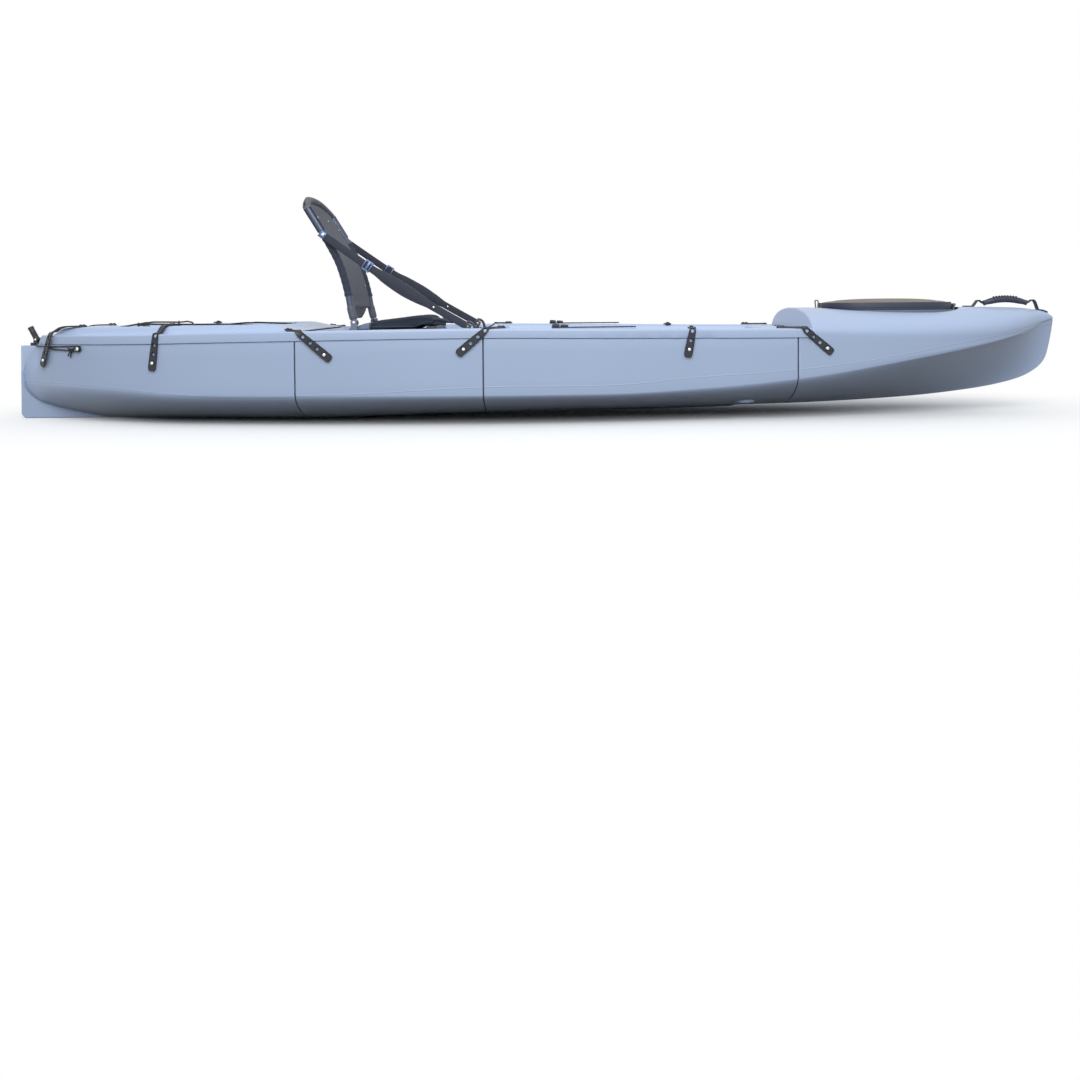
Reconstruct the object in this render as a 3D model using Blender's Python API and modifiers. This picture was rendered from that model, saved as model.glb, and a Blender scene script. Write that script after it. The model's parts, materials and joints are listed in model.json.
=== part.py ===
"""Modular sit-on-top fishing kayak.

Four hull tubs are closed by three deck lids and a bow hatch, and rubber latch straps clamp lids and tubs
together. A folding seat, two carry handles, deck rigging and gear tracks complete it.
Metres, +Z up, bow towards +X, port towards +Y. Z = 0 is the lowest point of the skeg and keel.
"""

from bisect import bisect_right
from math import cos, hypot, pi, radians, sin

import bmesh
import bpy
from mathutils import Matrix, Vector
from mathutils.bvhtree import BVHTree

# Overall size
LENGTH = 3.66
BEAM = 0.853
RIM_HEIGHT = 0.281

# Running clearance between pieces that touch
GAP = 0.0003

# Hull tubs
HULL_WALL = 0.0045
HULL_FLOOR = 0.007
TOPSIDE_FLARE = 0.004
STERN = -LENGTH / 2
BOW = LENGTH / 2
SEAM_AFT = -0.78
SEAM_MID = -0.175
SEAM_FORWARD = 0.848
SEAM_WIDTH = 0.0036
GASKET_RECESS = 0.003
GASKET_WIDTH = 0.014
STERN_CAVITY_START = STERN + 0.13
BOW_CAVITY_END = BOW - 0.15
BOW_CAVITY_RISE = 0.07
BOW_STATIONS = (BOW - 0.19, BOW_CAVITY_END, BOW - 0.12, BOW - 0.08, BOW - 0.045, BOW - 0.02)

# Skeg moulded under the stern
SKEG_THICKNESS = 0.039
SKEG_TOP = RIM_HEIGHT - 0.0245
SKEG_CORNER = 0.020
SKEG_FRONT = STERN + 0.90

# Deck lids
LIP_HEIGHT = 0.031
LIP_PROUD = 0.004
LIP_ROUND = 0.006
GUNWALE_WIDTH = 0.047
DECK_WALL = 0.004
LIP_LEDGE = 0.0075
STERN_LID_START = STERN + 0.073
STERN_LID_END = SEAM_AFT + 0.018
COCKPIT_LID_END = SEAM_FORWARD + 0.047
TRAY_START = STERN + 0.33
TRAY_END = SEAM_AFT - 0.08
TRAY_DEPTH = 0.020
PLATEAU_RISE = 0.027
SEAT_FLOOR = RIM_HEIGHT + 0.0075
FOOTWELL_FLOOR = 0.115
FOOTWELL_START = SEAM_MID + 0.125
FOOTWELL_END = SEAM_FORWARD - 0.128
WELL_SIDE_SLOPE = 0.050

# Scuppers and the moulded recess under the cockpit
SCUPPER_X = SEAM_FORWARD - 0.158
SCUPPER_Y = 0.206
SCUPPER_RADIUS = 0.0235
SCUPPER_WALL = 0.008
SCUPPER_SINK_RADIUS = 0.029
SCUPPER_SINK_DEPTH = 0.004
RECESS_END = SEAM_FORWARD - 0.244
RECESS_START = RECESS_END - 0.382
RECESS_HALF_WIDTH = 0.0695
RECESS_DEPTH = 0.004

# Bow hatch
HATCH_CENTRE = BOW - 0.6025
HATCH_HALF_LENGTH = 0.2275
HATCH_HALF_WIDTH = 0.15
HATCH_SEAT_RISE = 0.075
HATCH_FLANGE = 0.010
HATCH_FLANGE_PROUD = 0.006
HATCH_OPENING_INSET = 0.034
HATCH_LID_HEIGHT = 0.0215
HATCH_CROWN = 0.017
HATCH_PAD_INSET = 0.006
HATCH_HINGE_RADIUS = 0.005
HATCH_HINGE_LENGTH = 0.10
HATCH_HINGE_OUT = 0.007
HATCH_LUG = 0.011
PULL_WIRE = 0.0022
PULL_BORE = 0.0027
PULL_ENTRY = 0.005
PULL_WIDTH = 0.048
PULL_HEIGHT = 0.030

# Latch straps
STRAP_WIDTH = 0.026
STRAP_THICKNESS = 0.005
STRAP_HOLE = 0.0068
STRAP_PITCH = 0.030
STRAP_TIP = 0.026
STRAP_CROSSING = 0.05
STRAP_SHOULDER = 0.004
STRAP_BEND_DROP = 0.003
STUD_RADIUS = 0.0055
STUD_PROUD = 0.003
STUD_ROOT = 0.003

# Seat
SEAT_X = SEAM_AFT + 0.1645
SEAT_PIVOT_RISE = 0.042
BACKREST_HALF_WIDTH = 0.22
BACKREST_TUBE = 0.0115
BACKREST_TOP_ARCH = 0.036
BACKREST_TOP_LEAN = 0.54
BACKREST_PANEL = 0.008
BACKREST_PANEL_SAG = 0.016
BACKREST_PANEL_RISE = 0.052
PIVOT_BARREL = 0.013
PIVOT_BARREL_LENGTH = 0.022
PIVOT_PIN = 0.004
PIVOT_CLEARANCE = 0.0008
SEAT_FRONT = SEAT_X + 0.2835
SEAT_HALF_WIDTH = 0.205
SEAT_BASE = 0.014
SEAT_BASE_BAR = 0.030
SEAT_BLOCK_RISE = 0.014
SEAT_BLOCK_LENGTH = 0.034
SEAT_BLOCK_FRONT = 0.012
CUSHION_DRAW = 0.03
CUSHION_REAR = 0.028
CUSHION_FRONT = 0.037
WEB_WIDTH = 0.025
WEB_THICKNESS = 0.003
WEB_SAG = 0.012
WEB_ANCHOR_RISE = 0.032
BUCKLE_SHARE = 0.33
WEB_TOP_Y = BACKREST_HALF_WIDTH + BACKREST_TUBE + 0.0115
WEB_TOP_RISE = 0.295
WEB_TOP_OVERLAP = 0.012
BRACKET_RADIUS = 0.008
BRACKET_GAP = 0.0014
WEB_ANCHOR_Y = BACKREST_HALF_WIDTH + 0.070
WEB_ANCHOR_X = SEAT_X + 0.3755
BUCKLE_LENGTH = 0.030
BUCKLE_BAR = 0.005
CLIP_LENGTH = 0.020
CLIP_HALF_WIDTH = 0.006

# Handles and deck fittings
GRIP_RADIUS = 0.0105
GRIP_LENGTH = 0.153
GRIP_CENTRE = BOW - 0.1705
GRIP_RISE = 0.0275
GRIP_ARCH = 0.013
GRIP_END_GAP = 0.0008
HANDLE_WEB = 0.0024
HANDLE_PAD = 0.036
TOGGLE_RADIUS = 0.0105
TOGGLE_LENGTH = 0.050
TOGGLE_LEAN = radians(28)
TOGGLE_X = STERN + 0.048
TOGGLE_PIN = 0.003
TOGGLE_CLEARANCE = 0.0005
TOGGLE_BASE_HEIGHT = 0.010
TOGGLE_BASE_LENGTH = 0.036
TOGGLE_BASE_WIDTH = 0.028
CORD_RADIUS = 0.0022
CORD_POST_X = STERN + 0.282
CORD_POST_DROP = 0.014
CORD_POST_RADIUS = 0.006
CORD_POST_HEAD = 0.0095
CORD_POST_LENGTH = 0.011
CORD_HEAD_THICKNESS = 0.003
CORD_STAND_OFF = 0.0014
CORD_SPLIT_X = STERN + 0.15
CORD_STATIONS = (STERN + 0.073, STERN + 0.095, STERN + 0.12, CORD_SPLIT_X, STERN + 0.21)
BUNGEE_RADIUS = 0.003
BUNGEE_CROSSING_GAP = 0.003
BUNGEE_EYE_HEIGHT = 0.010
BUNGEE_EYE_SIZE = 0.014
TRACK_START = SEAM_MID + 0.219
TRACK_LENGTH = 0.27
TRACK_WIDTH = 0.020
TRACK_HEIGHT = 0.004
TRACK_BLOCK_LENGTH = 0.026
TRACK_BLOCK_HEIGHT = 0.014

# Hull lines: each is a list of (share of the length from midship, value)
BREADTH_LINE = (
    (-0.4978, 0.050),
    (-0.4800, 0.085),
    (-0.4740, 0.155),
    (-0.4617, 0.253),
    (-0.4372, 0.387),
    (-0.3962, 0.577),
    (-0.3279, 0.778),
    (-0.2459, 0.891),
    (-0.1503, 0.966),
    (-0.0464, 1.000),
    (0.0410, 0.959),
    (0.1563, 0.839),
    (0.2732, 0.717),
    (0.3497, 0.610),
    (0.3960, 0.520),
    (0.4370, 0.382),
    (0.4645, 0.237),
    (0.4836, 0.098),
    (0.4993, 0.023),
)
KEEL_LINE = (
    (-0.4978, 0.112),
    (-0.4890, 0.080),
    (-0.4760, 0.055),
    (-0.4550, 0.0345),
    (-0.4350, 0.025),
    (-0.3960, 0.0096),
    (-0.3300, 0.006),
    (-0.2131, 0.001),
    (-0.1000, 0.012),
    (0.0000, 0.021),
    (0.1550, 0.030),
    (0.2320, 0.034),
    (0.3500, 0.050),
    (0.4190, 0.075),
    (0.4630, 0.108),
    (0.4800, 0.138),
    (0.4910, RIM_HEIGHT - 0.103),
    (0.4965, RIM_HEIGHT - 0.029),
    (0.4993, RIM_HEIGHT + 0.031),
)
BILGE_LINE = (
    (-0.4978, 0.125),
    (-0.4000, 0.121),
    (-0.3200, 0.105),
    (0.0600, 0.100),
    (0.1550, 0.115),
    (0.2320, 0.138),
    (0.3330, 0.190),
    (0.4480, RIM_HEIGHT - 0.016),
    (0.4993, RIM_HEIGHT + 0.039),
)
SHEER_LINE = (
    (-0.5000, -0.019),
    (-0.3830, -0.015),
    (-0.2700, -0.008),
    (-0.0500, 0.000),
    (0.0800, -0.005),
    (0.2320, -0.010),
    (0.5000, -0.010),
)
STERN_DROP_LINE = ((-0.4978, 0.095), (-0.4918, 0.045), (-0.4803, 0.0), (0.5, 0.0))
KEEL_FLAT_LINE = ((-0.4978, 0.015), (-0.30, 0.060), (0.2320, 0.060), (0.4000, 0.008), (0.4993, 0.003))
FULLNESS_LINE = (
    (-0.5, 1.5),
    (-0.3, 1.7),
    (0.15, 1.7),
    (0.232, 1.5),
    (0.35, 1.1),
    (0.42, 0.92),
    (0.5, 0.85),
)
FOREDECK_SIDE_LINE = ((0.232, 0.014), (0.33, 0.0), (0.42, 0.004), (0.47, 0.03), (0.4993, 0.051))
FOREDECK_CROWN_LINE = (
    (0.232, 0.0965),
    (0.42, 0.0935),
    (0.463, 0.090),
    (0.480, 0.083),
    (0.491, 0.075),
    (0.4993, 0.056),
)
FOREDECK_FULLNESS = 2.2
BILGE_SHARES = (0.0, 0.22, 0.44, 0.64, 0.82, 0.94, 1.0)
ARCH_ANGLES = (20, 38, 55, 72, 90)

# Latch straps: name, the place they are set out from, then from there the root's x, the root's inset from
# the side, the bend's x, the tip's x and the tip's drop below the lip's top
STRAPS = (
    ("stern", STERN, 0.279, 0.060, 0.158, 0.112, 0.108),
    ("aft_side", SEAM_AFT, -0.426, 0.080, -0.466, -0.4825, 0.119),
    ("aft_joint", SEAM_AFT, -0.032, 0.020, 0.014, 0.119, 0.091),
    ("mid_joint", SEAM_MID, 0.071, 0.018, 0.011, -0.081, 0.0815),
    ("cockpit_side", SEAM_FORWARD, -0.349, 0.052, -0.351, -0.368, 0.092),
    ("bow_joint", SEAM_FORWARD, -0.069, 0.018, 0.020, 0.115, 0.083),
)
STRAP_TUBS = {
    "stern": "hull_stern",
    "aft_side": "hull_stern",
    "aft_joint": "hull_mid_aft",
    "mid_joint": "hull_mid_aft",
    "cockpit_side": "hull_mid_forward",
    "bow_joint": "hull_bow",
}

# Seat webbing from top to bottom: share of its length, width and thickness against plain webbing
WEB_STATIONS = (
    (0.0, 1.0, 1.0),
    (0.28, 1.0, 1.0),
    (0.38, 1.0, 1.0),
    (0.46, 1.5, 1.6),
    (0.58, 1.7, 2.0),
    (0.68, 1.45, 1.8),
    (0.77, 1.0, 1.0),
    (1.0, 1.0, 1.0),
)

# Backrest side rail, as (x, rise) from the pivot
BACKREST_RAIL = (
    (0.0, 0.0),
    (-0.012, 0.05),
    (-0.0205, 0.098),
    (-0.0465, 0.191),
    (-0.0925, 0.282),
    (-0.1575, 0.390),
)

# Bungee eyes, as (x, y) on the starboard side
BUNGEE_EYES = (
    (SEAM_AFT - 0.13, 0.215),
    (SEAM_AFT - 0.35, 0.215),
    (STERN + 0.485, 0.205),
    (STERN + 0.39, 0.150),
)

# Colour, roughness and metallic value of each finish
FINISHES = {
    "hull_plastic": ((0.39, 0.48, 0.66), 0.45, 0.0),
    "gasket_rubber": ((0.03, 0.03, 0.035), 0.8, 0.0),
    "strap_rubber": ((0.035, 0.037, 0.045), 0.55, 0.0),
    "hatch_dark": ((0.045, 0.055, 0.10), 0.5, 0.0),
    "hatch_grey": ((0.16, 0.18, 0.20), 0.6, 0.0),
    "hatch_tan": ((0.30, 0.22, 0.17), 0.8, 0.0),
    "black_plastic": ((0.03, 0.035, 0.05), 0.45, 0.0),
    "steel": ((0.75, 0.76, 0.78), 0.25, 1.0),
    "seat_fabric": ((0.030, 0.035, 0.055), 0.85, 0.0),
    "panel_mesh": ((0.12, 0.12, 0.14), 0.8, 0.0),
    "frame_tube": ((0.05, 0.06, 0.085), 0.4, 0.6),
    "webbing": ((0.035, 0.042, 0.065), 0.85, 0.0),
    "cord": ((0.035, 0.025, 0.025), 0.8, 0.0),
}


def clear_scene():
    for obj in list(bpy.data.objects):
        bpy.data.objects.remove(obj, do_unlink=True)


def new_collection(name):
    made = bpy.data.collections.new(name)
    bpy.context.scene.collection.children.link(made)
    return made


def finish(name):
    """The material of a finish, made once."""
    found = bpy.data.materials.get(name)
    if found:
        return found
    colour, roughness, metallic = FINISHES[name]
    made = bpy.data.materials.new(name)
    made.use_nodes = True
    shader = made.node_tree.nodes["Principled BSDF"]
    shader.inputs["Base Color"].default_value = (*colour, 1.0)
    shader.inputs["Roughness"].default_value = roughness
    shader.inputs["Metallic"].default_value = metallic
    return made


clear_scene()
PARTS = new_collection("fishing_kayak")
CUTTERS = new_collection("cutters")


def add(name, data, finish_name=None):
    """Puts an object in the parts, or in the cutters when it has no finish."""
    obj = bpy.data.objects.new(name, data)
    if finish_name:
        PARTS.objects.link(obj)
        data.materials.append(finish(finish_name))
    else:
        CUTTERS.objects.link(obj)
        obj.hide_render = True
        obj.display_type = "WIRE"
    return obj


def mesh_object(name, work, finish_name=None, smooth=None):
    """An object of a bmesh, its faces turned outwards."""
    bmesh.ops.recalc_face_normals(work, faces=work.faces)
    mesh = bpy.data.meshes.new(name)
    work.to_mesh(mesh)
    work.free()
    if smooth:
        mesh.shade_smooth()
        mesh.set_sharp_from_angle(angle=radians(smooth))
    return add(name, mesh, finish_name)


def skin(work, rings):
    """Joins closed rings of equal length into one skin with end caps."""
    rows = [[work.verts.new(point) for point in ring] for ring in rings]
    for row, after in zip(rows, rows[1:]):
        for i, vert in enumerate(row):
            j = (i + 1) % len(row)
            work.faces.new((vert, row[j], after[j], after[i]))
    work.faces.new(rows[0])
    work.faces.new(rows[-1])


def loft(name, rings, finish_name=None, smooth=None):
    work = bmesh.new()
    skin(work, rings)
    return mesh_object(name, work, finish_name, smooth)


def add_box(work, low, high):
    """A box between two corners, added to a bmesh."""
    low, high = Vector(low), Vector(high)
    place = Matrix.Translation((low + high) / 2) @ Matrix.Diagonal((*(high - low), 1))
    bmesh.ops.create_cube(work, size=1.0, matrix=place)


def add_rod(work, start, end, radius, sides=12):
    """A cylinder between two points, added to a bmesh."""
    start, end = Vector(start), Vector(end)
    along = end - start
    place = Matrix.Translation((start + end) / 2) @ along.to_track_quat("Z", "Y").to_matrix().to_4x4()
    bmesh.ops.create_cone(
        work,
        cap_ends=True,
        segments=sides,
        radius1=radius,
        radius2=radius,
        depth=along.length,
        matrix=place,
    )


def outline_object(name, outlines, thickness, finish_name=None):
    """A flat outline, with any holes after it, thickened either way from its plane."""
    curve = bpy.data.curves.new(name, "CURVE")
    curve.dimensions = "2D"
    curve.fill_mode = "BOTH"
    curve.extrude = thickness / 2
    for points in outlines:
        spline = curve.splines.new("POLY")
        spline.points.add(len(points) - 1)
        for slot, (u, v) in zip(spline.points, points):
            slot.co = (u, v, 0, 1)
        spline.use_cyclic_u = True
    return add(name, curve, finish_name)


def made_mesh(obj):
    """Turns a curve object into a mesh object with its caps welded."""
    name, place = obj.name, obj.matrix_world.copy()
    graph = bpy.context.evaluated_depsgraph_get()
    mesh = bpy.data.meshes.new_from_object(obj.evaluated_get(graph))
    work = bmesh.new()
    work.from_mesh(mesh)
    bmesh.ops.remove_doubles(work, verts=work.verts, dist=1e-5)
    work.to_mesh(mesh)
    work.free()
    home = obj.users_collection[0]
    hidden = obj.hide_render
    bpy.data.objects.remove(obj, do_unlink=True)
    mesh.name = name
    made = bpy.data.objects.new(name, mesh)
    made.matrix_world = place
    made.hide_render = hidden
    home.objects.link(made)
    return made


def tube(name, points, radius, finish_name, resolution=2):
    """A round bar along a route of points."""
    curve = bpy.data.curves.new(name, "CURVE")
    curve.dimensions = "3D"
    curve.bevel_depth = radius
    curve.bevel_resolution = resolution
    curve.use_fill_caps = True
    spline = curve.splines.new("POLY")
    spline.points.add(len(points) - 1)
    for slot, point in zip(spline.points, points):
        slot.co = (*point, 1)
    return add(name, curve, finish_name)


def set_origin(obj, place):
    """Moves an object's origin to its joint's axis and leaves its shape where it is."""
    place = Vector(place)
    obj.data.transform(obj.matrix_world)
    obj.data.transform(Matrix.Translation(-place))
    obj.matrix_world = Matrix.Translation(place)
    bpy.context.view_layer.update()
    return obj


def combine(obj, other, operation):
    """A Boolean of obj with another object."""
    change = obj.modifiers.new(other.name, "BOOLEAN")
    change.operation = operation
    change.object = other
    change.solver = "EXACT"


def curve_through(stations):
    """A cubic through (x, value) stations that never overshoots them."""
    xs, values = zip(*stations)
    steps = [after - x for x, after in zip(xs, xs[1:])]
    slopes = [(after - v) / step for v, after, step in zip(values, values[1:], steps)]
    tangents = [slopes[0]]
    for before, after in zip(slopes, slopes[1:]):
        tangents.append(2 * before * after / (before + after) if before * after > 0 else 0.0)
    tangents.append(slopes[-1])

    def value(x):
        x = min(max(x, xs[0]), xs[-1])
        i = min(bisect_right(xs, x), len(xs) - 1) - 1
        t = (x - xs[i]) / steps[i]
        bend = t * t * (3 - 2 * t)
        lead = tangents[i] * t * (1 - t) ** 2 - tangents[i + 1] * t * t * (1 - t)
        return values[i] + (values[i + 1] - values[i]) * bend + steps[i] * lead

    return value


def even(start, end, count):
    return [start + (end - start) * i / (count - 1) for i in range(count)]


breadth_share = curve_through(BREADTH_LINE)
keel_height = curve_through(KEEL_LINE)
bilge_height = curve_through(BILGE_LINE)
sheer = curve_through(SHEER_LINE)
stern_drop = curve_through(STERN_DROP_LINE)
keel_flat = curve_through(KEEL_FLAT_LINE)
fullness = curve_through(FULLNESS_LINE)
foredeck_side = curve_through(FOREDECK_SIDE_LINE)
foredeck_crown = curve_through(FOREDECK_CROWN_LINE)


def half_breadth(x):
    return BEAM / 2 * breadth_share(x / LENGTH)


def rim(x):
    """Height of the joint between a tub and its lid."""
    return RIM_HEIGHT + sheer(x / LENGTH)


def lip_top(x):
    return rim(x) + LIP_HEIGHT


def bottom_half(x, inset=0.0, floor=0.0):
    """Half section from the keel to the top of the bilge, as (y, z)."""
    share = x / LENGTH
    side = half_breadth(x) - TOPSIDE_FLARE - inset
    flat = min(keel_flat(share), side / 2)
    keel = keel_height(share) + floor
    bilge = max(bilge_height(share) + inset / 2, keel + inset / 2)
    power = fullness(share)
    points = [(0.0, keel)]
    for u in BILGE_SHARES:
        z = bilge - (bilge - keel) * (1 - u**power) ** (1 / power)
        points.append((flat + (side - flat) * u, z))
    return points


def bottom_height(x, y):
    """Height of the hull's underside at a distance from the keel."""
    points = bottom_half(x)
    for (y0, z0), (y1, z1) in zip(points, points[1:]):
        if y <= y1:
            return z0 + (z1 - z0) * (y - y0) / max(y1 - y0, 1e-9)
    return points[-1][1]


def whole_ring(x, half):
    """A closed ring at x from a half section that starts on the centreline."""
    starboard = [(x, -y, z) for y, z in reversed(half)]
    return starboard + [(x, y, z) for y, z in half if y > 0]


def tub_ring(x):
    top = rim(x) - stern_drop(x / LENGTH)
    return whole_ring(x, bottom_half(x) + [(half_breadth(x), top)])


def cavity_ring(x):
    side = half_breadth(x) - HULL_WALL
    half = bottom_half(x, HULL_WALL, HULL_FLOOR)
    return whole_ring(x, half + [(side, rim(x)), (side, rim(x) + HULL_FLOOR)])


def arch_half(x, side, low, crown):
    """Half section of the foredeck from its side up to the centreline, as (y, z)."""
    points = []
    for angle in ARCH_ANGLES:
        a = radians(angle)
        y = 0.0 if angle == 90 else side * cos(a) ** (2 / FOREDECK_FULLNESS)
        points.append((y, low + (crown - low) * sin(a) ** (2 / FOREDECK_FULLNESS)))
    return points


def bow_ring(x):
    share = x / LENGTH
    side = half_breadth(x)
    low, crown = rim(x) + foredeck_side(share), rim(x) + foredeck_crown(share)
    return whole_ring(x, bottom_half(x) + [(side, low)] + arch_half(x, side, low, crown))


def hatch_seat():
    """Height of the flat landing that the hatch rim sits on."""
    return rim(HATCH_CENTRE) + HATCH_SEAT_RISE


def bow_cavity_ring(x):
    side = half_breadth(x) - TOPSIDE_FLARE - HULL_WALL
    behind = x < COCKPIT_LID_END + HULL_WALL
    crown = min(rim(x) - HULL_FLOOR if behind else hatch_seat() - HULL_WALL, rim(x) + BOW_CAVITY_RISE)
    low = min(rim(x), crown) - (0.004 if behind else 0.0)
    half = bottom_half(x, HULL_WALL, HULL_FLOOR)
    return whole_ring(x, half + [(side, low)] + arch_half(x, side, low, crown))


def oval(half_length, half_width, count=32, power=2.6):
    """A rounded rectangle between an ellipse and a box."""
    points = []
    for i in range(count):
        a = 2 * pi * (i + 0.5) / count
        c, s = cos(a), sin(a)
        u = half_length * abs(c) ** (2 / power) * (1 if c > 0 else -1)
        v = half_width * abs(s) ** (2 / power) * (1 if s > 0 else -1)
        points.append((u, v))
    return points


def oval_prism(name, half_length, half_width, low, high):
    rings = [
        [(HATCH_CENTRE + u, v, z) for u, v in oval(half_length, half_width)] for z in (low, high)
    ]
    return loft(name, rings)


def seam_stations(start, end, count):
    half = SEAM_WIDTH / 2
    return even(start + half, end - half, count)


def hull_stern():
    start = STERN_DROP_LINE[0][0] * LENGTH
    xs = [start, STERN + 0.03, *CORD_STATIONS, STERN + 0.29, STERN + 0.39]
    xs += even(STERN + 0.53, SEAM_AFT - SEAM_WIDTH / 2, 4)
    tub = loft("hull_stern", [tub_ring(x) for x in xs], "hull_plastic", 40)
    back = STERN
    round_points = [
        (back + SKEG_CORNER * (1 - cos(a)), SKEG_CORNER * (1 - sin(a)))
        for a in (0, pi / 6, pi / 3, pi / 2)
    ]
    front = keel_height(SKEG_FRONT / LENGTH) + HULL_FLOOR / 2
    side = round_points + [
        (back + 0.33, 0.0),
        (SKEG_FRONT, keel_height(SKEG_FRONT / LENGTH) - 0.002),
        (SKEG_FRONT + 0.03, front),
        (back + 0.53, keel_height((back + 0.53) / LENGTH) + HULL_FLOOR / 2),
        (back + 0.23, keel_height((back + 0.23) / LENGTH) + HULL_FLOOR / 2),
        (STERN_CAVITY_START - 0.05, 0.10),
        (STERN_CAVITY_START - 0.05, SKEG_TOP - 0.01),
        (STERN_LID_START, SKEG_TOP),
        (back + 0.004, SKEG_TOP),
        (back, SKEG_TOP - 0.004),
    ]
    skeg = outline_object("skeg_blank", [side], SKEG_THICKNESS)
    skeg.rotation_euler = (radians(90), 0, 0)
    bpy.context.view_layer.update()
    combine(tub, made_mesh(skeg), "UNION")
    inner = even(STERN_CAVITY_START, SEAM_AFT - SEAM_WIDTH / 2 - HULL_WALL, 9)
    combine(tub, loft("stern_cavity", [cavity_ring(x) for x in inner]), "DIFFERENCE")
    return tub


def plain_tub(name, start, end, count):
    """A tub open at the top, with a wall at each end."""
    xs = seam_stations(start, end, count)
    tub = loft(name, [tub_ring(x) for x in xs], "hull_plastic", 40)
    inner = even(xs[0] + HULL_WALL, xs[-1] - HULL_WALL, count)
    combine(tub, loft(name + "_cavity", [cavity_ring(x) for x in inner]), "DIFFERENCE")
    return tub


def scupper_places():
    return [(SCUPPER_X, side * SCUPPER_Y) for side in (-1, 1)]


def ring_over_bottom(x, y, radius, height):
    """A ring round an upright axis that stays at one height above the sloping underside."""
    ring = []
    for i in range(20):
        a = 2 * pi * i / 20
        u, v = x + radius * cos(a), y + radius * sin(a)
        ring.append((u, v, bottom_height(u, abs(v)) + height))
    return ring


def hull_mid_forward():
    tub = plain_tub("hull_mid_forward", SEAM_MID, SEAM_FORWARD, 8)
    tubes, holes, sinks = bmesh.new(), bmesh.new(), bmesh.new()
    top = FOOTWELL_FLOOR - DECK_WALL - GAP
    for x, y in scupper_places():
        foot = bottom_height(x, abs(y))
        outer = SCUPPER_RADIUS + SCUPPER_WALL
        base = ring_over_bottom(x, y, outer, HULL_FLOOR / 2)
        skin(tubes, [base, [(u, v, top) for u, v, _ in base]])
        add_rod(holes, (x, y, foot - 0.02), (x, y, top + 0.02), SCUPPER_RADIUS, 20)
        roof = ring_over_bottom(x, y, SCUPPER_SINK_RADIUS, SCUPPER_SINK_DEPTH)
        skin(sinks, [[(u, v, foot - 0.03) for u, v, _ in roof], roof])
    combine(tub, mesh_object("scupper_tubes", tubes), "UNION")
    combine(tub, mesh_object("scupper_sinks", sinks), "DIFFERENCE")
    combine(tub, mesh_object("scupper_holes", holes), "DIFFERENCE")
    middle, half = (RECESS_START + RECESS_END) / 2, (RECESS_END - RECESS_START) / 2
    aft, fore = (keel_height(x / LENGTH) + RECESS_DEPTH for x in (RECESS_START, RECESS_END))
    ring = [(middle + u, v) for u, v in oval(half, RECESS_HALF_WIDTH, 24, 4.5)]
    roof = [(x, y, aft + (fore - aft) * (x - RECESS_START) / (2 * half)) for x, y in ring]
    combine(tub, loft("keel_recess", [[(x, y, -0.01) for x, y in ring], roof]), "DIFFERENCE")
    return tub


def hull_bow():
    start = SEAM_FORWARD + SEAM_WIDTH / 2
    xs = even(start, BOW_STATIONS[0], 10) + list(BOW_STATIONS[1:])
    tub = loft("hull_bow", [bow_ring(x) for x in xs + [BREADTH_LINE[-1][0] * LENGTH]], "hull_plastic", 40)
    wall = COCKPIT_LID_END + HULL_WALL
    inner = [start + HULL_WALL, wall - 0.001, wall + 0.006]
    inner += [x for x in xs if wall + 0.03 < x <= BOW_CAVITY_END]
    combine(tub, loft("bow_cavity", [bow_cavity_ring(x) for x in inner]), "DIFFERENCE")
    notch = bmesh.new()
    step = min(rim(start), rim(COCKPIT_LID_END)) - GAP
    add_box(notch, (start - 0.05, -BEAM, step), (COCKPIT_LID_END + GAP, BEAM, step + 0.3))
    combine(tub, mesh_object("lid_notch", notch), "DIFFERENCE")
    seat = hatch_seat()
    pocket = HATCH_FLANGE_PROUD + HATCH_HINGE_OUT + HATCH_HINGE_RADIUS + 0.003
    landing = oval_prism(
        "hatch_landing", HATCH_HALF_LENGTH + pocket, HATCH_HALF_WIDTH + pocket, seat, seat + 0.2
    )
    combine(tub, landing, "DIFFERENCE")
    inset = HATCH_OPENING_INSET
    mouth = oval_prism(
        "hatch_mouth", HATCH_HALF_LENGTH - inset, HATCH_HALF_WIDTH - inset, seat - 0.06, seat + 0.02
    )
    combine(tub, mouth, "DIFFERENCE")
    return tub


def seam_gasket(name, x):
    """A rubber ring between the end walls of two tubs."""
    half = SEAM_WIDTH / 2 - GAP
    outer, inner = [], []
    for place in (x - half, x + half):
        top = rim(x) - GASKET_RECESS
        edge = half_breadth(x) - GASKET_RECESS
        ring = bottom_half(x, GASKET_RECESS, GASKET_RECESS) + [(edge, top)]
        outer.append(whole_ring(place, ring))
    for place in (x - half - 0.01, x + half + 0.01):
        depth = GASKET_RECESS + GASKET_WIDTH
        edge = half_breadth(x) - depth
        ring = bottom_half(x, depth, depth) + [(edge, rim(x) - depth)]
        inner.append(whole_ring(place, ring))
    gasket = loft(name, outer, "gasket_rubber")
    combine(gasket, loft(name + "_opening", inner), "DIFFERENCE")


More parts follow.
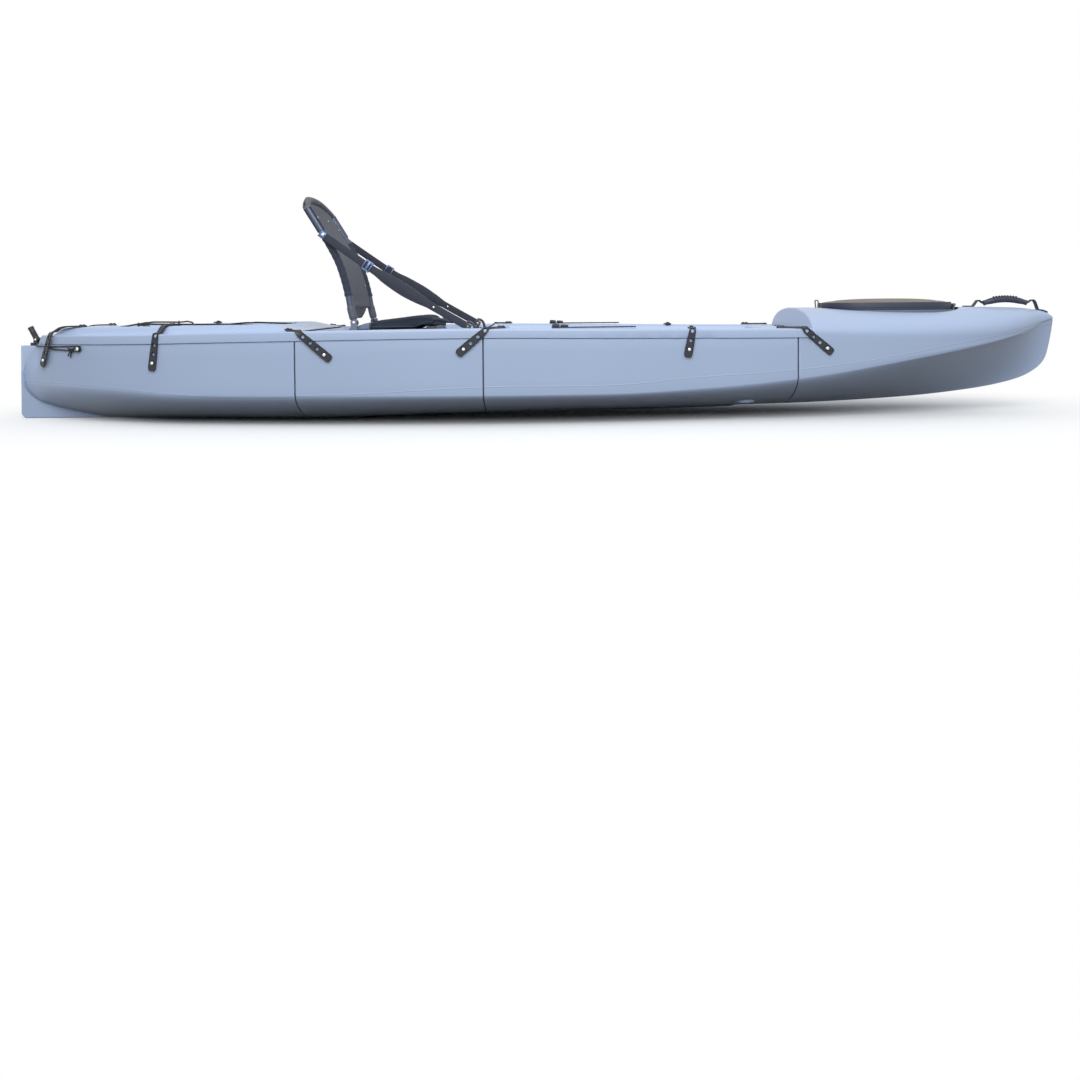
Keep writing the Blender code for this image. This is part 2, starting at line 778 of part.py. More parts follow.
def lid_ring(x, profile, floor_y, floor_z):
    """A lid's section, one wall thick.

    The profile runs from the lip's edge in to the floor's edge as (inset, z, way), where way is 1 if the
    wall's inner side lies further in there, and -1 if it lies further out.
    """
    side = half_breadth(x)
    shrink = min(1.0, side / 0.16)
    foot = rim(x) + GAP
    ledge = HULL_WALL + LIP_LEDGE
    half = [(floor_y + DECK_WALL * shrink, floor_z - DECK_WALL)]
    for inset, z, way in reversed(profile[1:]):
        depth = max(inset + way * DECK_WALL, ledge + 0.002)
        half.append((side - depth * shrink, max(z - DECK_WALL, foot + 0.001)))
    half += [(side - ledge * shrink, foot), (side + LIP_PROUD * shrink, foot)]
    half += [(side - inset * shrink, z) for inset, z, _ in profile]
    half += [(floor_y, floor_z)]
    return [(x, y, z) for y, z in half] + [(x, -y, z) for y, z in reversed(half)]


def plateau_shape():
    """Heights above the rim of the stern lid's step and raised top."""
    start, end = STERN_LID_START, STERN_LID_END
    step = curve_through(
        ((start, 0.006), (start + 0.024, LIP_HEIGHT), (end - 0.03, LIP_HEIGHT), (end, LIP_HEIGHT))
    )
    top = LIP_HEIGHT + PLATEAU_RISE
    plateau = curve_through(
        (
            (start, 0.007),
            (start + 0.024, LIP_HEIGHT + 0.001),
            (start + 0.062, LIP_HEIGHT + 0.002),
            (start + 0.118, top - 0.002),
            (start + 0.16, top),
            (SEAM_AFT - 0.10, top - 0.004),
            (SEAM_AFT - 0.012, LIP_HEIGHT + 0.006),
            (end, LIP_HEIGHT + 0.003),
        )
    )
    return step, plateau


def deck_stern():
    step, plateau = plateau_shape()
    dip = curve_through(
        (
            (STERN_LID_START, 0.0),
            (TRAY_START, 0.0),
            (TRAY_START + 0.03, TRAY_DEPTH),
            (TRAY_END - 0.03, TRAY_DEPTH),
            (TRAY_END, 0.0),
            (STERN_LID_END, 0.0),
        )
    )
    start = STERN_LID_START
    xs = [start, start + 0.012, start + 0.024, start + 0.062, start + 0.09, start + 0.118, start + 0.16]
    xs += [TRAY_START, TRAY_START + 0.03, STERN + 0.43, STERN + 0.53, SEAM_AFT - 0.37, SEAM_AFT - 0.22]
    xs += [TRAY_END - 0.03, TRAY_END, SEAM_AFT - 0.04, SEAM_AFT - 0.012, STERN_LID_END]
    rings = []
    for x in xs:
        low, high = rim(x) + step(x), rim(x) + plateau(x)
        edge = -LIP_PROUD
        profile = [
            (edge, low - min(0.004, step(x) / 2), 1),
            (edge + 0.004, low, 1),
            (0.026, low, 1),
            (0.038, high, 1),
            (0.078, high, -1),
        ]
        narrow = min(1.0, half_breadth(x) / 0.16)
        rings.append(lid_ring(x, profile, half_breadth(x) - 0.094 * narrow, high - dip(x)))
    return loft("deck_stern", rings, "hull_plastic", 40)


def deck_seat():
    start, end = STERN_LID_END + 2 * GAP, SEAM_MID - 0.0025
    ramp, edge = 0.03, 0.003
    rise = curve_through(((start, 1.0), (start + ramp, 0.0), (end - ramp, 0.0), (end, 1.0)))
    xs = [start, start + 0.012, start + ramp] + even(start + 0.1, end - 0.1, 4)
    xs += [end - ramp, end - 0.012, end]
    return gunwale_lid(
        "deck_seat", xs, lambda x: SEAT_FLOOR + (lip_top(x) - edge - SEAT_FLOOR) * rise(x), 0.02
    )


def gunwale_lid(name, xs, floor_height, slope):
    """A lid with flat gunwales round a well."""
    rings = []
    for x in xs:
        top = lip_top(x)
        floor = floor_height(x)
        lean = slope * min(1.0, (top - floor) / 0.02) if slope < 0.03 else slope * (top - floor) / 0.18
        profile = [
            (-LIP_PROUD, top - LIP_ROUND, 1),
            (-LIP_PROUD + LIP_ROUND, top, 1),
            (GUNWALE_WIDTH, top, -1),
        ]
        rings.append(lid_ring(x, profile, half_breadth(x) - GUNWALE_WIDTH - 0.004 - lean, floor))
    return loft(name, rings, "hull_plastic", 40)


def footwell_height():
    start, end = SEAM_MID + 0.0025, COCKPIT_LID_END
    shallow = 0.004
    deep = lip_top(0.3) - FOOTWELL_FLOOR
    dip = curve_through(
        (
            (start, shallow),
            (start + 0.045, shallow),
            (FOOTWELL_START, deep),
            (FOOTWELL_END, deep),
            (SEAM_FORWARD - 0.05, shallow),
            (end, shallow),
        )
    )
    return lambda x: lip_top(x) - dip(x) if dip(x) < deep - 1e-6 else FOOTWELL_FLOOR


def deck_cockpit():
    start = SEAM_MID + 0.0025
    xs = [start, start + 0.045, start + 0.07, FOOTWELL_START - 0.03, FOOTWELL_START]
    xs += even(FOOTWELL_START + 0.13, FOOTWELL_END - 0.1, 5)
    xs += [FOOTWELL_END, FOOTWELL_END + 0.025, FOOTWELL_END + 0.05, SEAM_FORWARD - 0.05]
    xs += [SEAM_FORWARD + 0.002, COCKPIT_LID_END]
    lid = gunwale_lid("deck_cockpit", xs, footwell_height(), WELL_SIDE_SLOPE)
    holes = bmesh.new()
    for x, y in scupper_places():
        add_rod(holes, (x, y, FOOTWELL_FLOOR - 0.03), (x, y, FOOTWELL_FLOOR + 0.03), SCUPPER_RADIUS, 20)
    combine(lid, mesh_object("well_drains", holes), "DIFFERENCE")
    return lid


def surface_of(objects):
    """A search tree of the objects' evaluated meshes."""
    bpy.context.view_layer.update()
    graph = bpy.context.evaluated_depsgraph_get()
    points, faces = [], []
    for obj in objects:
        shape = obj.evaluated_get(graph)
        mesh = shape.to_mesh()
        mesh.calc_loop_triangles()
        first = len(points)
        points += [shape.matrix_world @ v.co for v in mesh.vertices]
        faces += [[first + i for i in t.vertices] for t in mesh.loop_triangles]
        shape.to_mesh_clear()
    return BVHTree.FromPolygons(points, faces)


def height_on(surface, x, y):
    """Height of a surface seen from above, or None beside it."""
    hit = surface.ray_cast(Vector((x, y, 1.5)), Vector((0, 0, -1)))[0]
    return hit.z if hit else None


def highest_under(surface, centre, across, reach):
    """Highest point of a surface under a short line across a path."""
    found = []
    for share in (-1.0, -0.5, 0.0, 0.5, 1.0):
        point = centre + across * (share * reach)
        z = height_on(surface, point.x, point.y)
        if z is not None:
            found.append(z)
    return max(found)


def ribbon_rings(centres, across, width, thickness):
    """Rectangular rings along centres, flat between an across and an up direction."""
    rings = []
    for centre, (side, up) in zip(centres, across):
        half = side * (width / 2)
        lift = up * (thickness / 2)
        rings.append([centre - half - lift, centre + half - lift, centre + half + lift, centre - half + lift])
    return rings


def strap_arm(name, surface, start, end):
    """The fixed part of a latch strap, from its root pad to the lip's edge, lying on the deck."""
    start, end = Vector(start), Vector(end)
    along = (end - start).normalized()
    across = Vector((-along.y, along.x, 0))
    count = max(4, round((end - start).length / 0.009))
    flat = [start.lerp(end, i / count) for i in range(count + 1)]
    raw = [highest_under(surface, point, across, STRAP_WIDTH / 2) for point in flat]
    centres = []
    for i, point in enumerate(flat):
        z = max(raw[max(0, i - 1) : i + 2]) + GAP + STRAP_THICKNESS / 2
        centres.append(Vector((point.x, point.y, z)))
    kept = [centres[0]]
    for before, centre, after in zip(centres, centres[1:], centres[2:]):
        if abs(2 * centre.z - before.z - after.z) > 1e-5:
            kept.append(centre)
    kept.append(centres[-1])
    up = Vector((0, 0, 1))
    rings = ribbon_rings(kept, [(across, up)] * len(kept), STRAP_WIDTH, STRAP_THICKNESS)
    return loft(name, rings, "strap_rubber")


def strap_outline(length):
    """A strap tail's outline from the hinge line at v = 0 down to its round tip, and its holes."""
    half = STRAP_WIDTH / 2
    tip = [(half * cos(a), -(length - half) - half * sin(a)) for a in [pi * i / 6 for i in range(7)]]
    outline = [(half, 0.0)] + tip + [(-half, 0.0)]
    holes = []
    v = length - STRAP_TIP
    while v > STRAP_HOLE + 0.012:
        holes.append([
            (STRAP_HOLE * cos(2 * pi * i / 8), -v + STRAP_HOLE * sin(2 * pi * i / 8)) for i in range(8)
        ])
        v -= STRAP_PITCH
    return [outline] + holes


def side_slope(x):
    """How fast the half-breadth grows with x."""
    return (half_breadth(x + 0.01) - half_breadth(x - 0.01)) / 0.02


def latch_strap(name, side, surface, root_x, root_inset, bend_x, tip_x, tip_drop):
    """One strap: its arm on the deck, its tail on the hull side, and the stud through the tail."""
    label = f"strap_{name}_{'port' if side > 0 else 'starboard'}"
    root = (root_x, side * (half_breadth(root_x) - root_inset), 0)
    edge = half_breadth(bend_x) + LIP_PROUD
    crossing = abs(root_x - bend_x) < STRAP_CROSSING
    shoulder = edge - STRAP_SHOULDER - (0.0 if crossing else STRAP_WIDTH / 2)
    strap_arm(label + "_root", surface, root, (bend_x, side * shoulder, 0))
    hinge = Vector((bend_x, side * edge, lip_top(bend_x) - STRAP_BEND_DROP))
    tip_z = lip_top(bend_x) - tip_drop
    tip = Vector((tip_x, side * half_breadth(tip_x), tip_z))
    down = (tip - hinge).normalized()
    middle = (bend_x + tip_x) / 2
    plan = Vector((1, side * side_slope(middle), 0)).normalized()
    out = plan.cross(down).normalized()
    if out.y * side < 0:
        out.negate()
    across = out.cross(down).normalized()
    length = (tip - hinge).length
    stand = 0.0
    reach = 0.06
    for share in even(0.0, 1.0, 9):
        for offset in (-1.0, -0.5, 0.0, 0.5, 1.0):
            point = hinge + down * (length * share) + across * (offset * STRAP_WIDTH / 2)
            hit, _, _, far = surface.ray_cast(point + out * reach, -out, 2 * reach)
            if hit:
                stand = max(stand, reach - far)
    room = 2 * CORD_RADIUS + CORD_STAND_OFF + 4 * GAP if name == "stern" else 2 * GAP
    hinge = hinge + out * (stand + room)
    tail = outline_object(label, strap_outline(length), STRAP_THICKNESS, "strap_rubber")
    normal = across.cross(-down)
    turn = Matrix((across, -down, normal)).transposed()
    tail.matrix_world = Matrix.Translation(hinge) @ turn.to_4x4()
    tail = made_mesh(tail)
    facing = 1 if normal.dot(out) > 0 else -1
    tail.data.transform(Matrix.Translation((0, 0, facing * STRAP_THICKNESS / 2)))
    stud_at = hinge + down * (length - STRAP_TIP)
    foot = surface.ray_cast(stud_at + out * reach, -out, 2 * reach)[0]
    stud = (foot - out * STUD_ROOT, stud_at + out * (STRAP_THICKNESS + STUD_PROUD))
    return stud, (label, hinge, down.cross(out).normalized())


def latch_straps(surface, tubs):
    """All the straps, with each tub's studs joined to it; returns the straps' hinges."""
    studs = {name: bmesh.new() for name in tubs}
    hinges = []
    for name, place, root, inset, bend, tip, drop in STRAPS:
        for side in (-1, 1):
            stud, hinge = latch_strap(
                name, side, surface, place + root, inset, place + bend, place + tip, drop
            )
            add_rod(studs[STRAP_TUBS[name]], stud[0], stud[1], STUD_RADIUS, 8)
            hinges.append(hinge)
    for name, work in studs.items():
        combine(tubs[name], mesh_object(name + "_studs", work), "UNION")
    return hinges


def hatch():
    seat = hatch_seat() + GAP
    length, width = HATCH_HALF_LENGTH, HATCH_HALF_WIDTH
    proud, inset = HATCH_FLANGE_PROUD, HATCH_OPENING_INSET
    outline = oval(length + proud, width + proud)
    hole = oval(length - inset, width - inset)
    ring = outline_object("hatch_rim", [outline, hole], HATCH_FLANGE, "hatch_grey")
    ring.location = (HATCH_CENTRE, 0, seat + HATCH_FLANGE / 2)
    bpy.context.view_layer.update()
    ring = made_mesh(ring)
    lid_low = seat + HATCH_FLANGE + GAP
    front = HATCH_CENTRE + length
    hinge = (front + HATCH_HINGE_OUT, lid_low + 0.016)
    barrel = bmesh.new()
    half = HATCH_HINGE_LENGTH / 2
    add_rod(barrel, (hinge[0], -half, hinge[1]), (hinge[0], half, hinge[1]), HATCH_HINGE_RADIUS, 12)
    combine(ring, mesh_object("hatch_hinge_barrel", barrel), "UNION")
    foot, web = bmesh.new(), bmesh.new()
    thick, end_y = HATCH_HINGE_RADIUS * 0.6, half - 0.004
    low, high = seat + 0.001, seat + HATCH_FLANGE - 0.001
    add_box(foot, (front - 0.003, -end_y, low), (hinge[0] + thick, end_y, high))
    web_low = (hinge[0] - thick, -end_y + 0.002, seat + 0.003)
    add_box(web, web_low, (hinge[0] + thick - 0.001, end_y - 0.002, hinge[1]))
    combine(ring, mesh_object("hatch_hinge_foot", foot), "UNION")
    combine(ring, mesh_object("hatch_hinge_web", web), "UNION")

    lid_top = lid_low + HATCH_LID_HEIGHT
    rings = [
        [(HATCH_CENTRE + u * s, v * s, z) for u, v in oval(length, width)]
        for z, s in ((lid_low, 1.0), (lid_top - 0.003, 1.0), (lid_top, 0.985))
    ]
    lid = loft("hatch_lid", rings, "hatch_dark", 50)
    lugs = bmesh.new()
    back = HATCH_CENTRE - length
    lug_half = PULL_WIDTH / 2 - PULL_WIRE - 0.001
    add_box(lugs, (back - HATCH_LUG, -lug_half, lid_low + 0.001), (back + 0.02, lug_half, lid_low + 0.010))
    combine(lid, mesh_object("hatch_pull_lug", lugs), "UNION")
    pivot = (back - HATCH_LUG + 0.0045, lid_low + 0.0055)
    bores = bmesh.new()
    for side in (-1, 1):
        outside, inside = side * (lug_half + 0.01), side * (lug_half - PULL_ENTRY - 0.0015)
        add_rod(bores, (pivot[0], outside, pivot[1]), (pivot[0], inside, pivot[1]), PULL_BORE, 12)
    combine(lid, mesh_object("hatch_pull_bores", bores), "DIFFERENCE")
    set_origin(lid, (hinge[0], 0, hinge[1]))

    pad_low = lid_top + GAP
    crown = [(1.0, 0.0), (0.985, 0.15), (0.9, 0.42), (0.72, 0.72), (0.42, 0.93), (0.12, 1.0)]
    size = (length * 0.985 - HATCH_PAD_INSET, width * 0.985 - HATCH_PAD_INSET)
    rings = [
        [(HATCH_CENTRE + u * s, v * s, pad_low + HATCH_CROWN * h + 0.001 * (h > 0)) for u, v in oval(*size)]
        for s, h in crown
    ]
    loft("hatch_pad", rings, "hatch_tan", 60)

    half = PULL_WIDTH / 2
    lean = -0.004
    wire = [(pivot[0], -lug_half + PULL_ENTRY, pivot[1])]
    for y, share in ((-half, 0.0), (-half, 0.5), (-half * 0.9, 0.82), (-half * 0.55, 0.98)):
        wire.append((pivot[0] + lean * share, y, pivot[1] + PULL_HEIGHT * share))
    wire += [(x, -y, z) for x, y, z in reversed(wire)]
    set_origin(tube("hatch_pull", wire, PULL_WIRE, "black_plastic", 1), (pivot[0], 0, pivot[1]))
    return hinge, pivot


def bow_handle(surface):
    """The grip on its two webbing ears."""
    half = GRIP_LENGTH / 2
    deck = height_on(surface, GRIP_CENTRE, 0)
    axis_z = deck + GRIP_RISE - GRIP_ARCH
    points = []
    for share in even(-1.0, 1.0, 11):
        z = axis_z + GRIP_ARCH * (1 - share * share)
        points.append((GRIP_CENTRE + half * share, 0, z))
    grip = tube("bow_handle_grip", points, GRIP_RADIUS, "black_plastic", 2)
    set_origin(grip, (GRIP_CENTRE, 0, axis_z))
    for name, way in (("aft", -1), ("forward", 1)):
        end = GRIP_CENTRE + way * (half + GRIP_END_GAP)
        hump = end + way * 0.017
        foot = end + way * 0.034
        pad = foot + way * HANDLE_PAD
        centres = [Vector((end, 0, axis_z)), Vector((end + way * 0.004, 0, axis_z + 0.001))]
        centres += [Vector((hump, 0, axis_z + 0.010)), Vector((foot - way * 0.004, 0, axis_z + 0.004))]
        across = Vector((0, 1, 0))
        for x in (foot + way * 0.004, (foot + pad) / 2, pad):
            low = highest_under(surface, Vector((x, 0, 0)), across, WEB_WIDTH / 2)
            near = highest_under(surface, Vector((x - way * 0.01, 0, 0)), across, WEB_WIDTH / 2)
            centres.append(Vector((x, 0, max(low, near * 0.35 + low * 0.65) + GAP + HANDLE_WEB / 2 + 0.0004)))
        frames = []
        for before, after in zip([centres[0]] + centres[:-1], centres[1:] + [centres[-1]]):
            run = (after - before).normalized()
            up = run.cross(across) if way < 0 else across.cross(run)
            frames.append((across, -up if up.z < 0 else up))
        frames[0] = (across, Vector((0, 0, 1)))
        rings = ribbon_rings(centres, frames, WEB_WIDTH, HANDLE_WEB)
        loft(f"bow_handle_ear_{name}", rings, "webbing")
    return axis_z


def stern_toggle(surface):
    """The rubber toggle pinned between two ears on the skeg's top, and its two cords."""
    top = SKEG_TOP + GAP
    base_top = top + TOGGLE_BASE_HEIGHT
    pivot = Vector((TOGGLE_X, 0, base_top + TOGGLE_RADIUS + GAP))
    half_x, half_y = TOGGLE_BASE_LENGTH / 2, TOGGLE_BASE_WIDTH / 2
    base, ears, pins, bore = bmesh.new(), bmesh.new(), bmesh.new(), bmesh.new()
    add_box(base, (TOGGLE_X - half_x, -half_y, top), (TOGGLE_X + half_x - 0.006, half_y, base_top))
    inner = TOGGLE_RADIUS + TOGGLE_CLEARANCE
    for side in (-1, 1):
        y0, y1 = sorted((side * inner, side * half_y))
        reach = TOGGLE_PIN + 0.004
        add_box(ears, (TOGGLE_X - reach, y0, base_top - 0.002), (TOGGLE_X + reach, y1, pivot.z + reach))
        stub = side * (inner + 0.001), side * TOGGLE_RADIUS * 0.4
        add_rod(pins, (pivot.x, stub[0], pivot.z), (pivot.x, stub[1], pivot.z), TOGGLE_PIN, 10)
    base = mesh_object("stern_toggle_base", base, "black_plastic")
    combine(base, mesh_object("stern_toggle_ears", ears), "UNION")
    combine(base, mesh_object("stern_toggle_pins", pins), "UNION")

    profile = [(0.0, TOGGLE_LENGTH), (TOGGLE_RADIUS - 0.003, TOGGLE_LENGTH)]
    profile += [(TOGGLE_RADIUS, TOGGLE_LENGTH - 0.003)]
    profile += [(TOGGLE_RADIUS * cos(a), -TOGGLE_RADIUS * sin(a)) for a in (0, pi / 8, pi / 4, 3 * pi / 8)]
    profile += [(0.0, -TOGGLE_RADIUS)]
    work = bmesh.new()
    verts = [work.verts.new((r, 0, z)) for r, z in profile]
    for before, after in zip(verts, verts[1:]):
        work.edges.new((before, after))
    mesh = bpy.data.meshes.new("stern_toggle_grip")
    work.to_mesh(mesh)
    work.free()
    grip = add("stern_toggle_grip", mesh, "strap_rubber")
    grip.location = pivot
    grip.rotation_euler = (0, -TOGGLE_LEAN, 0)
    turn = grip.modifiers.new("turned", "SCREW")
    turn.steps = turn.render_steps = 16
    turn.use_merge_vertices = True
    turn.merge_threshold = 0.0001
    bpy.context.view_layer.update()
    add_rod(bore, (pivot.x, -0.03, pivot.z), (pivot.x, 0.03, pivot.z), TOGGLE_PIN + PIVOT_CLEARANCE, 12)
    combine(grip, mesh_object("stern_toggle_bore", bore), "DIFFERENCE")
    for label, side in (("starboard", -1), ("port", 1)):
        stern_cord(label, side, surface)
    return pivot


def stern_cord(label, side, surface):
    """A cord from the toggle's base along the hull side, round a post and part of the way back."""

    def side_hit(x, z):
        hit, normal, _, _ = surface.ray_cast(Vector((x, side, z)), Vector((0, -side, 0)))
        return hit, normal

    def beside(x, z):
        steepest = max(side_slope(x + step) for step in (-0.012, 0.0, 0.012))
        clear = (CORD_RADIUS + CORD_STAND_OFF) * hypot(1, steepest)
        return side_hit(x, z)[0] + Vector((0, side * clear, 0))

    post_z = rim(CORD_POST_X) - CORD_POST_DROP
    foot, out = side_hit(CORD_POST_X, post_z)
    head = CORD_POST_LENGTH - CORD_HEAD_THICKNESS
    post, cap = bmesh.new(), bmesh.new()
    add_rod(post, foot + out * GAP, foot + out * CORD_POST_LENGTH, CORD_POST_RADIUS, 12)
    add_rod(cap, foot + out * head, foot + out * (CORD_POST_LENGTH + 0.001), CORD_POST_HEAD, 12)
    post = mesh_object(f"cord_post_{label}", post, "steel", 40)
    combine(post, mesh_object(f"cord_post_head_{label}", cap), "UNION")

    ring = CORD_POST_RADIUS + CORD_RADIUS + 2 * GAP
    high, low = post_z + ring, post_z - ring
    lead = SKEG_TOP - 0.001
    start = TOGGLE_BASE_WIDTH / 2 + GAP
    base_x = TOGGLE_X - 0.003
    route = [
        Vector((base_x, side * start, SKEG_TOP + 0.005)),
        Vector((base_x, side * (start + 0.004), SKEG_TOP + 0.005)),
        Vector((base_x + 0.010, side * (start + 0.009), SKEG_TOP + 0.004)),
        Vector((base_x + 0.020, side * (start + 0.025), lead + 0.001)),
    ]
    for x in CORD_STATIONS:
        share = max(0.0, (x - CORD_SPLIT_X) / (CORD_POST_X - CORD_SPLIT_X))
        route.append(beside(x, lead + (high - lead) * share))
    forward = Vector((0, 0, 1)).cross(out)
    if forward.x < 0:
        forward.negate()
    centre = foot + out * (head - CORD_RADIUS - GAP)
    for angle in (90, 45, 0, -45, -90):
        a = radians(angle)
        route.append(centre + forward * (ring * cos(a)) + Vector((0, 0, ring * sin(a))))
    for x in reversed(CORD_STATIONS[-2:]):
        share = (x - CORD_SPLIT_X) / (CORD_POST_X - CORD_SPLIT_X)
        route.append(beside(x, lead - 0.007 + (low - lead + 0.007) * share))
    tube(f"stern_cord_{label}", route, CORD_RADIUS, "cord", 2)


def seat():
    """The seat's base, cushion and folding backrest."""
    floor = SEAT_FLOOR + GAP
    pivot = Vector((SEAT_X, 0, floor + SEAT_PIVOT_RISE))
    seat_base(floor, pivot)
    seat_cushion(floor + SEAT_BASE + GAP)
    backrest(pivot)
    return floor, pivot


def seat_base(floor, pivot):
    top = floor + SEAT_BASE
    bars = bmesh.new()
    width, bar = SEAT_HALF_WIDTH, SEAT_BASE_BAR
    rear, front = SEAT_X - 0.012, SEAT_FRONT - 0.01
    add_box(bars, (rear, -width, floor), (front, width, top))
    base = mesh_object("seat_base", bars, "black_plastic")
    hole = bmesh.new()
    add_box(hole, (rear + bar, -width + bar, floor - 0.01), (front - bar, width - bar, top + 0.01))
    combine(base, mesh_object("seat_base_window", hole), "DIFFERENCE")
    block = bmesh.new()
    block_front, side = SEAT_FRONT - SEAT_BLOCK_FRONT, width - 0.02
    block_rear, block_top = block_front - SEAT_BLOCK_LENGTH, top + SEAT_BLOCK_RISE
    add_box(block, (block_rear, -side, top - 0.004), (block_front, side, block_top))
    combine(base, mesh_object("seat_front_block", block), "UNION")
    feet, lugs, pins = bmesh.new(), bmesh.new(), bmesh.new()
    inner = BACKREST_HALF_WIDTH + PIVOT_BARREL_LENGTH / 2 + 2 * GAP
    for side in (-1, 1):
        y0, y1 = sorted((side * inner, side * (inner + 0.007)))
        add_box(lugs, (pivot.x - 0.014, y0, floor), (pivot.x + 0.014, y1, pivot.z + 0.010))
        y0, y1 = sorted((side * (width - 0.012), side * (inner + 0.002)))
        add_box(feet, (pivot.x - 0.011, y0, floor + 0.0005), (pivot.x + 0.012, y1, floor + 0.0085))
        stub = BACKREST_HALF_WIDTH - PIVOT_BARREL_LENGTH / 2 + 0.002
        start, end = (pivot.x, side * (inner + 0.003), pivot.z), (pivot.x, side * stub, pivot.z)
        add_rod(pins, start, end, PIVOT_PIN, 12)
    for name, work in (("seat_feet", feet), ("seat_lugs", lugs), ("seat_pins", pins)):
        combine(base, mesh_object(name, work), "UNION")


def sliced_block(stations_x, stations_y):
    """A block from -1 to 1 each way, cut into a cage at the given places."""
    work = bmesh.new()
    bmesh.ops.create_cube(work, size=2.0)
    for axis, stations in ((Vector((1, 0, 0)), stations_x), (Vector((0, 1, 0)), stations_y)):
        for place in stations:
            everything = work.verts[:] + work.edges[:] + work.faces[:]
            bmesh.ops.bisect_plane(work, geom=everything, plane_co=axis * place, plane_no=axis)
    return work


def seat_cushion(floor):
    """A crowned pad whose sides draw in, raised at its front by the base's block."""
    rear, front = SEAT_X + 0.016, SEAT_FRONT
    middle, half = (rear + front) / 2, (front - rear) / 2
    block = (front - SEAT_BLOCK_FRONT - SEAT_BLOCK_LENGTH - middle) / half
    work = sliced_block(
        (-0.88, -0.5, -0.1, block - 0.34, block - 0.18, block - 0.02, 0.88), (-0.88, -0.5, 0.0, 0.5, 0.88)
    )
    for vert in work.verts:
        u, v, w = vert.co
        share = (u + 1) / 2
        lift = SEAT_BLOCK_RISE * min(1.0, max(0.0, (u - block + 0.34) / 0.16))
        crown = (1 - abs(u) ** 3 / 2) * (1 - abs(v) ** 3 / 2)
        depth = CUSHION_REAR + (CUSHION_FRONT - CUSHION_REAR) * share
        vert.co = (
            middle + half * u * (1 - CUSHION_DRAW * (1 - v * v)),
            SEAT_HALF_WIDTH * v * (1 - CUSHION_DRAW * (1 - u * u)),
            floor + lift + (depth * crown if w > 0 else 0.0),
        )
    cushion = mesh_object("seat_cushion", work, "seat_fabric", 80)
    soft = cushion.modifiers.new("soft", "SUBSURF")
    soft.levels = soft.render_levels = 1


def rail_point(rise):
    """x of the backrest's side rail at a height over the pivot."""
    line = curve_through([(z, x) for x, z in BACKREST_RAIL])
    return line(rise)


def backrest(pivot):
    half = BACKREST_HALF_WIDTH
    top = BACKREST_RAIL[-1][1]
    rises = [PIVOT_BARREL * 0.8, 0.05, 0.098, 0.145, 0.191, 0.237, 0.282, 0.325, 0.362]
    side = [Vector((rail_point(r), -half, r)) for r in rises]
    arch = []
    for share in (0.96, 0.86, 0.70, 0.45, 0.15):
        rise = top + BACKREST_TOP_ARCH * (1 - share**2.4)
        arch.append(Vector((rail_point(top) - BACKREST_TOP_LEAN * (rise - top), -half * share, rise)))
    route = side + arch
    route += [Vector((p.x, -p.y, p.z)) for p in reversed(route)]
    frame = made_mesh(tube("backrest_frame", [pivot + p for p in route], BACKREST_TUBE, "frame_tube", 2))
    barrels, bores, bosses = bmesh.new(), bmesh.new(), bmesh.new()
    for way in (-1, 1):
        y0, y1 = way * half - PIVOT_BARREL_LENGTH / 2, way * half + PIVOT_BARREL_LENGTH / 2
        add_rod(barrels, pivot + Vector((0, y0, 0)), pivot + Vector((0, y1, 0)), PIVOT_BARREL, 14)
        bore = PIVOT_PIN + PIVOT_CLEARANCE
        add_rod(bores, pivot + Vector((0, y0 - 0.01, 0)), pivot + Vector((0, y1 + 0.01, 0)), bore, 14)
        rise = WEB_TOP_RISE
        boss_end = WEB_TOP_Y - WEB_THICKNESS / 2 - BRACKET_GAP
        rail, end = (Vector((rail_point(rise), way * y, rise)) for y in (half, boss_end))
        add_rod(bosses, pivot + rail, pivot + end, BRACKET_RADIUS, 14)
    combine(frame, mesh_object("backrest_brackets", bosses), "UNION")
    combine(frame, mesh_object("backrest_barrels", barrels), "UNION")
    combine(frame, mesh_object("backrest_bores", bores), "DIFFERENCE")
    set_origin(frame, pivot)
    backrest_panel(pivot)


def backrest_panel(pivot):
    """The curved back sheet stretched between the rails."""
    inner = BACKREST_HALF_WIDTH - BACKREST_TUBE - 0.0008
    rises = [BACKREST_PANEL_RISE, 0.098, 0.15, 0.20, 0.25, 0.30, 0.35, 0.392]
    columns = even(-1.0, 1.0, 9)
    rows = []
    for rise in rises:
        row = []
        for share in columns:
            reach = inner * share
            lift = 0.0
            if rise == rises[-1]:
                reach *= 0.965
                lift = (BACKREST_TOP_ARCH - 0.006) * (1 - abs(share) ** 2.4) - 0.022
            if rise == rises[-2]:
                lift = (BACKREST_TOP_ARCH * 0.4) * (1 - abs(share) ** 2.4) - 0.006
            sag = BACKREST_PANEL_SAG * (1 - share * share)
            x = rail_point(min(rise + lift, BACKREST_RAIL[-1][1]))
            over = max(0.0, rise + lift - BACKREST_RAIL[-1][1])
            row.append(pivot + Vector((x - sag - BACKREST_TOP_LEAN * over, reach, rise + lift)))
        rows.append(row)
    rings = []
    for row in rows:
        front = [p + Vector((BACKREST_PANEL / 2, 0, 0)) for p in row]
        back = [p - Vector((BACKREST_PANEL / 2, 0, 0)) for p in reversed(row)]
        rings.append(front + back)
    return loft("backrest_panel", rings, "panel_mesh", 50)


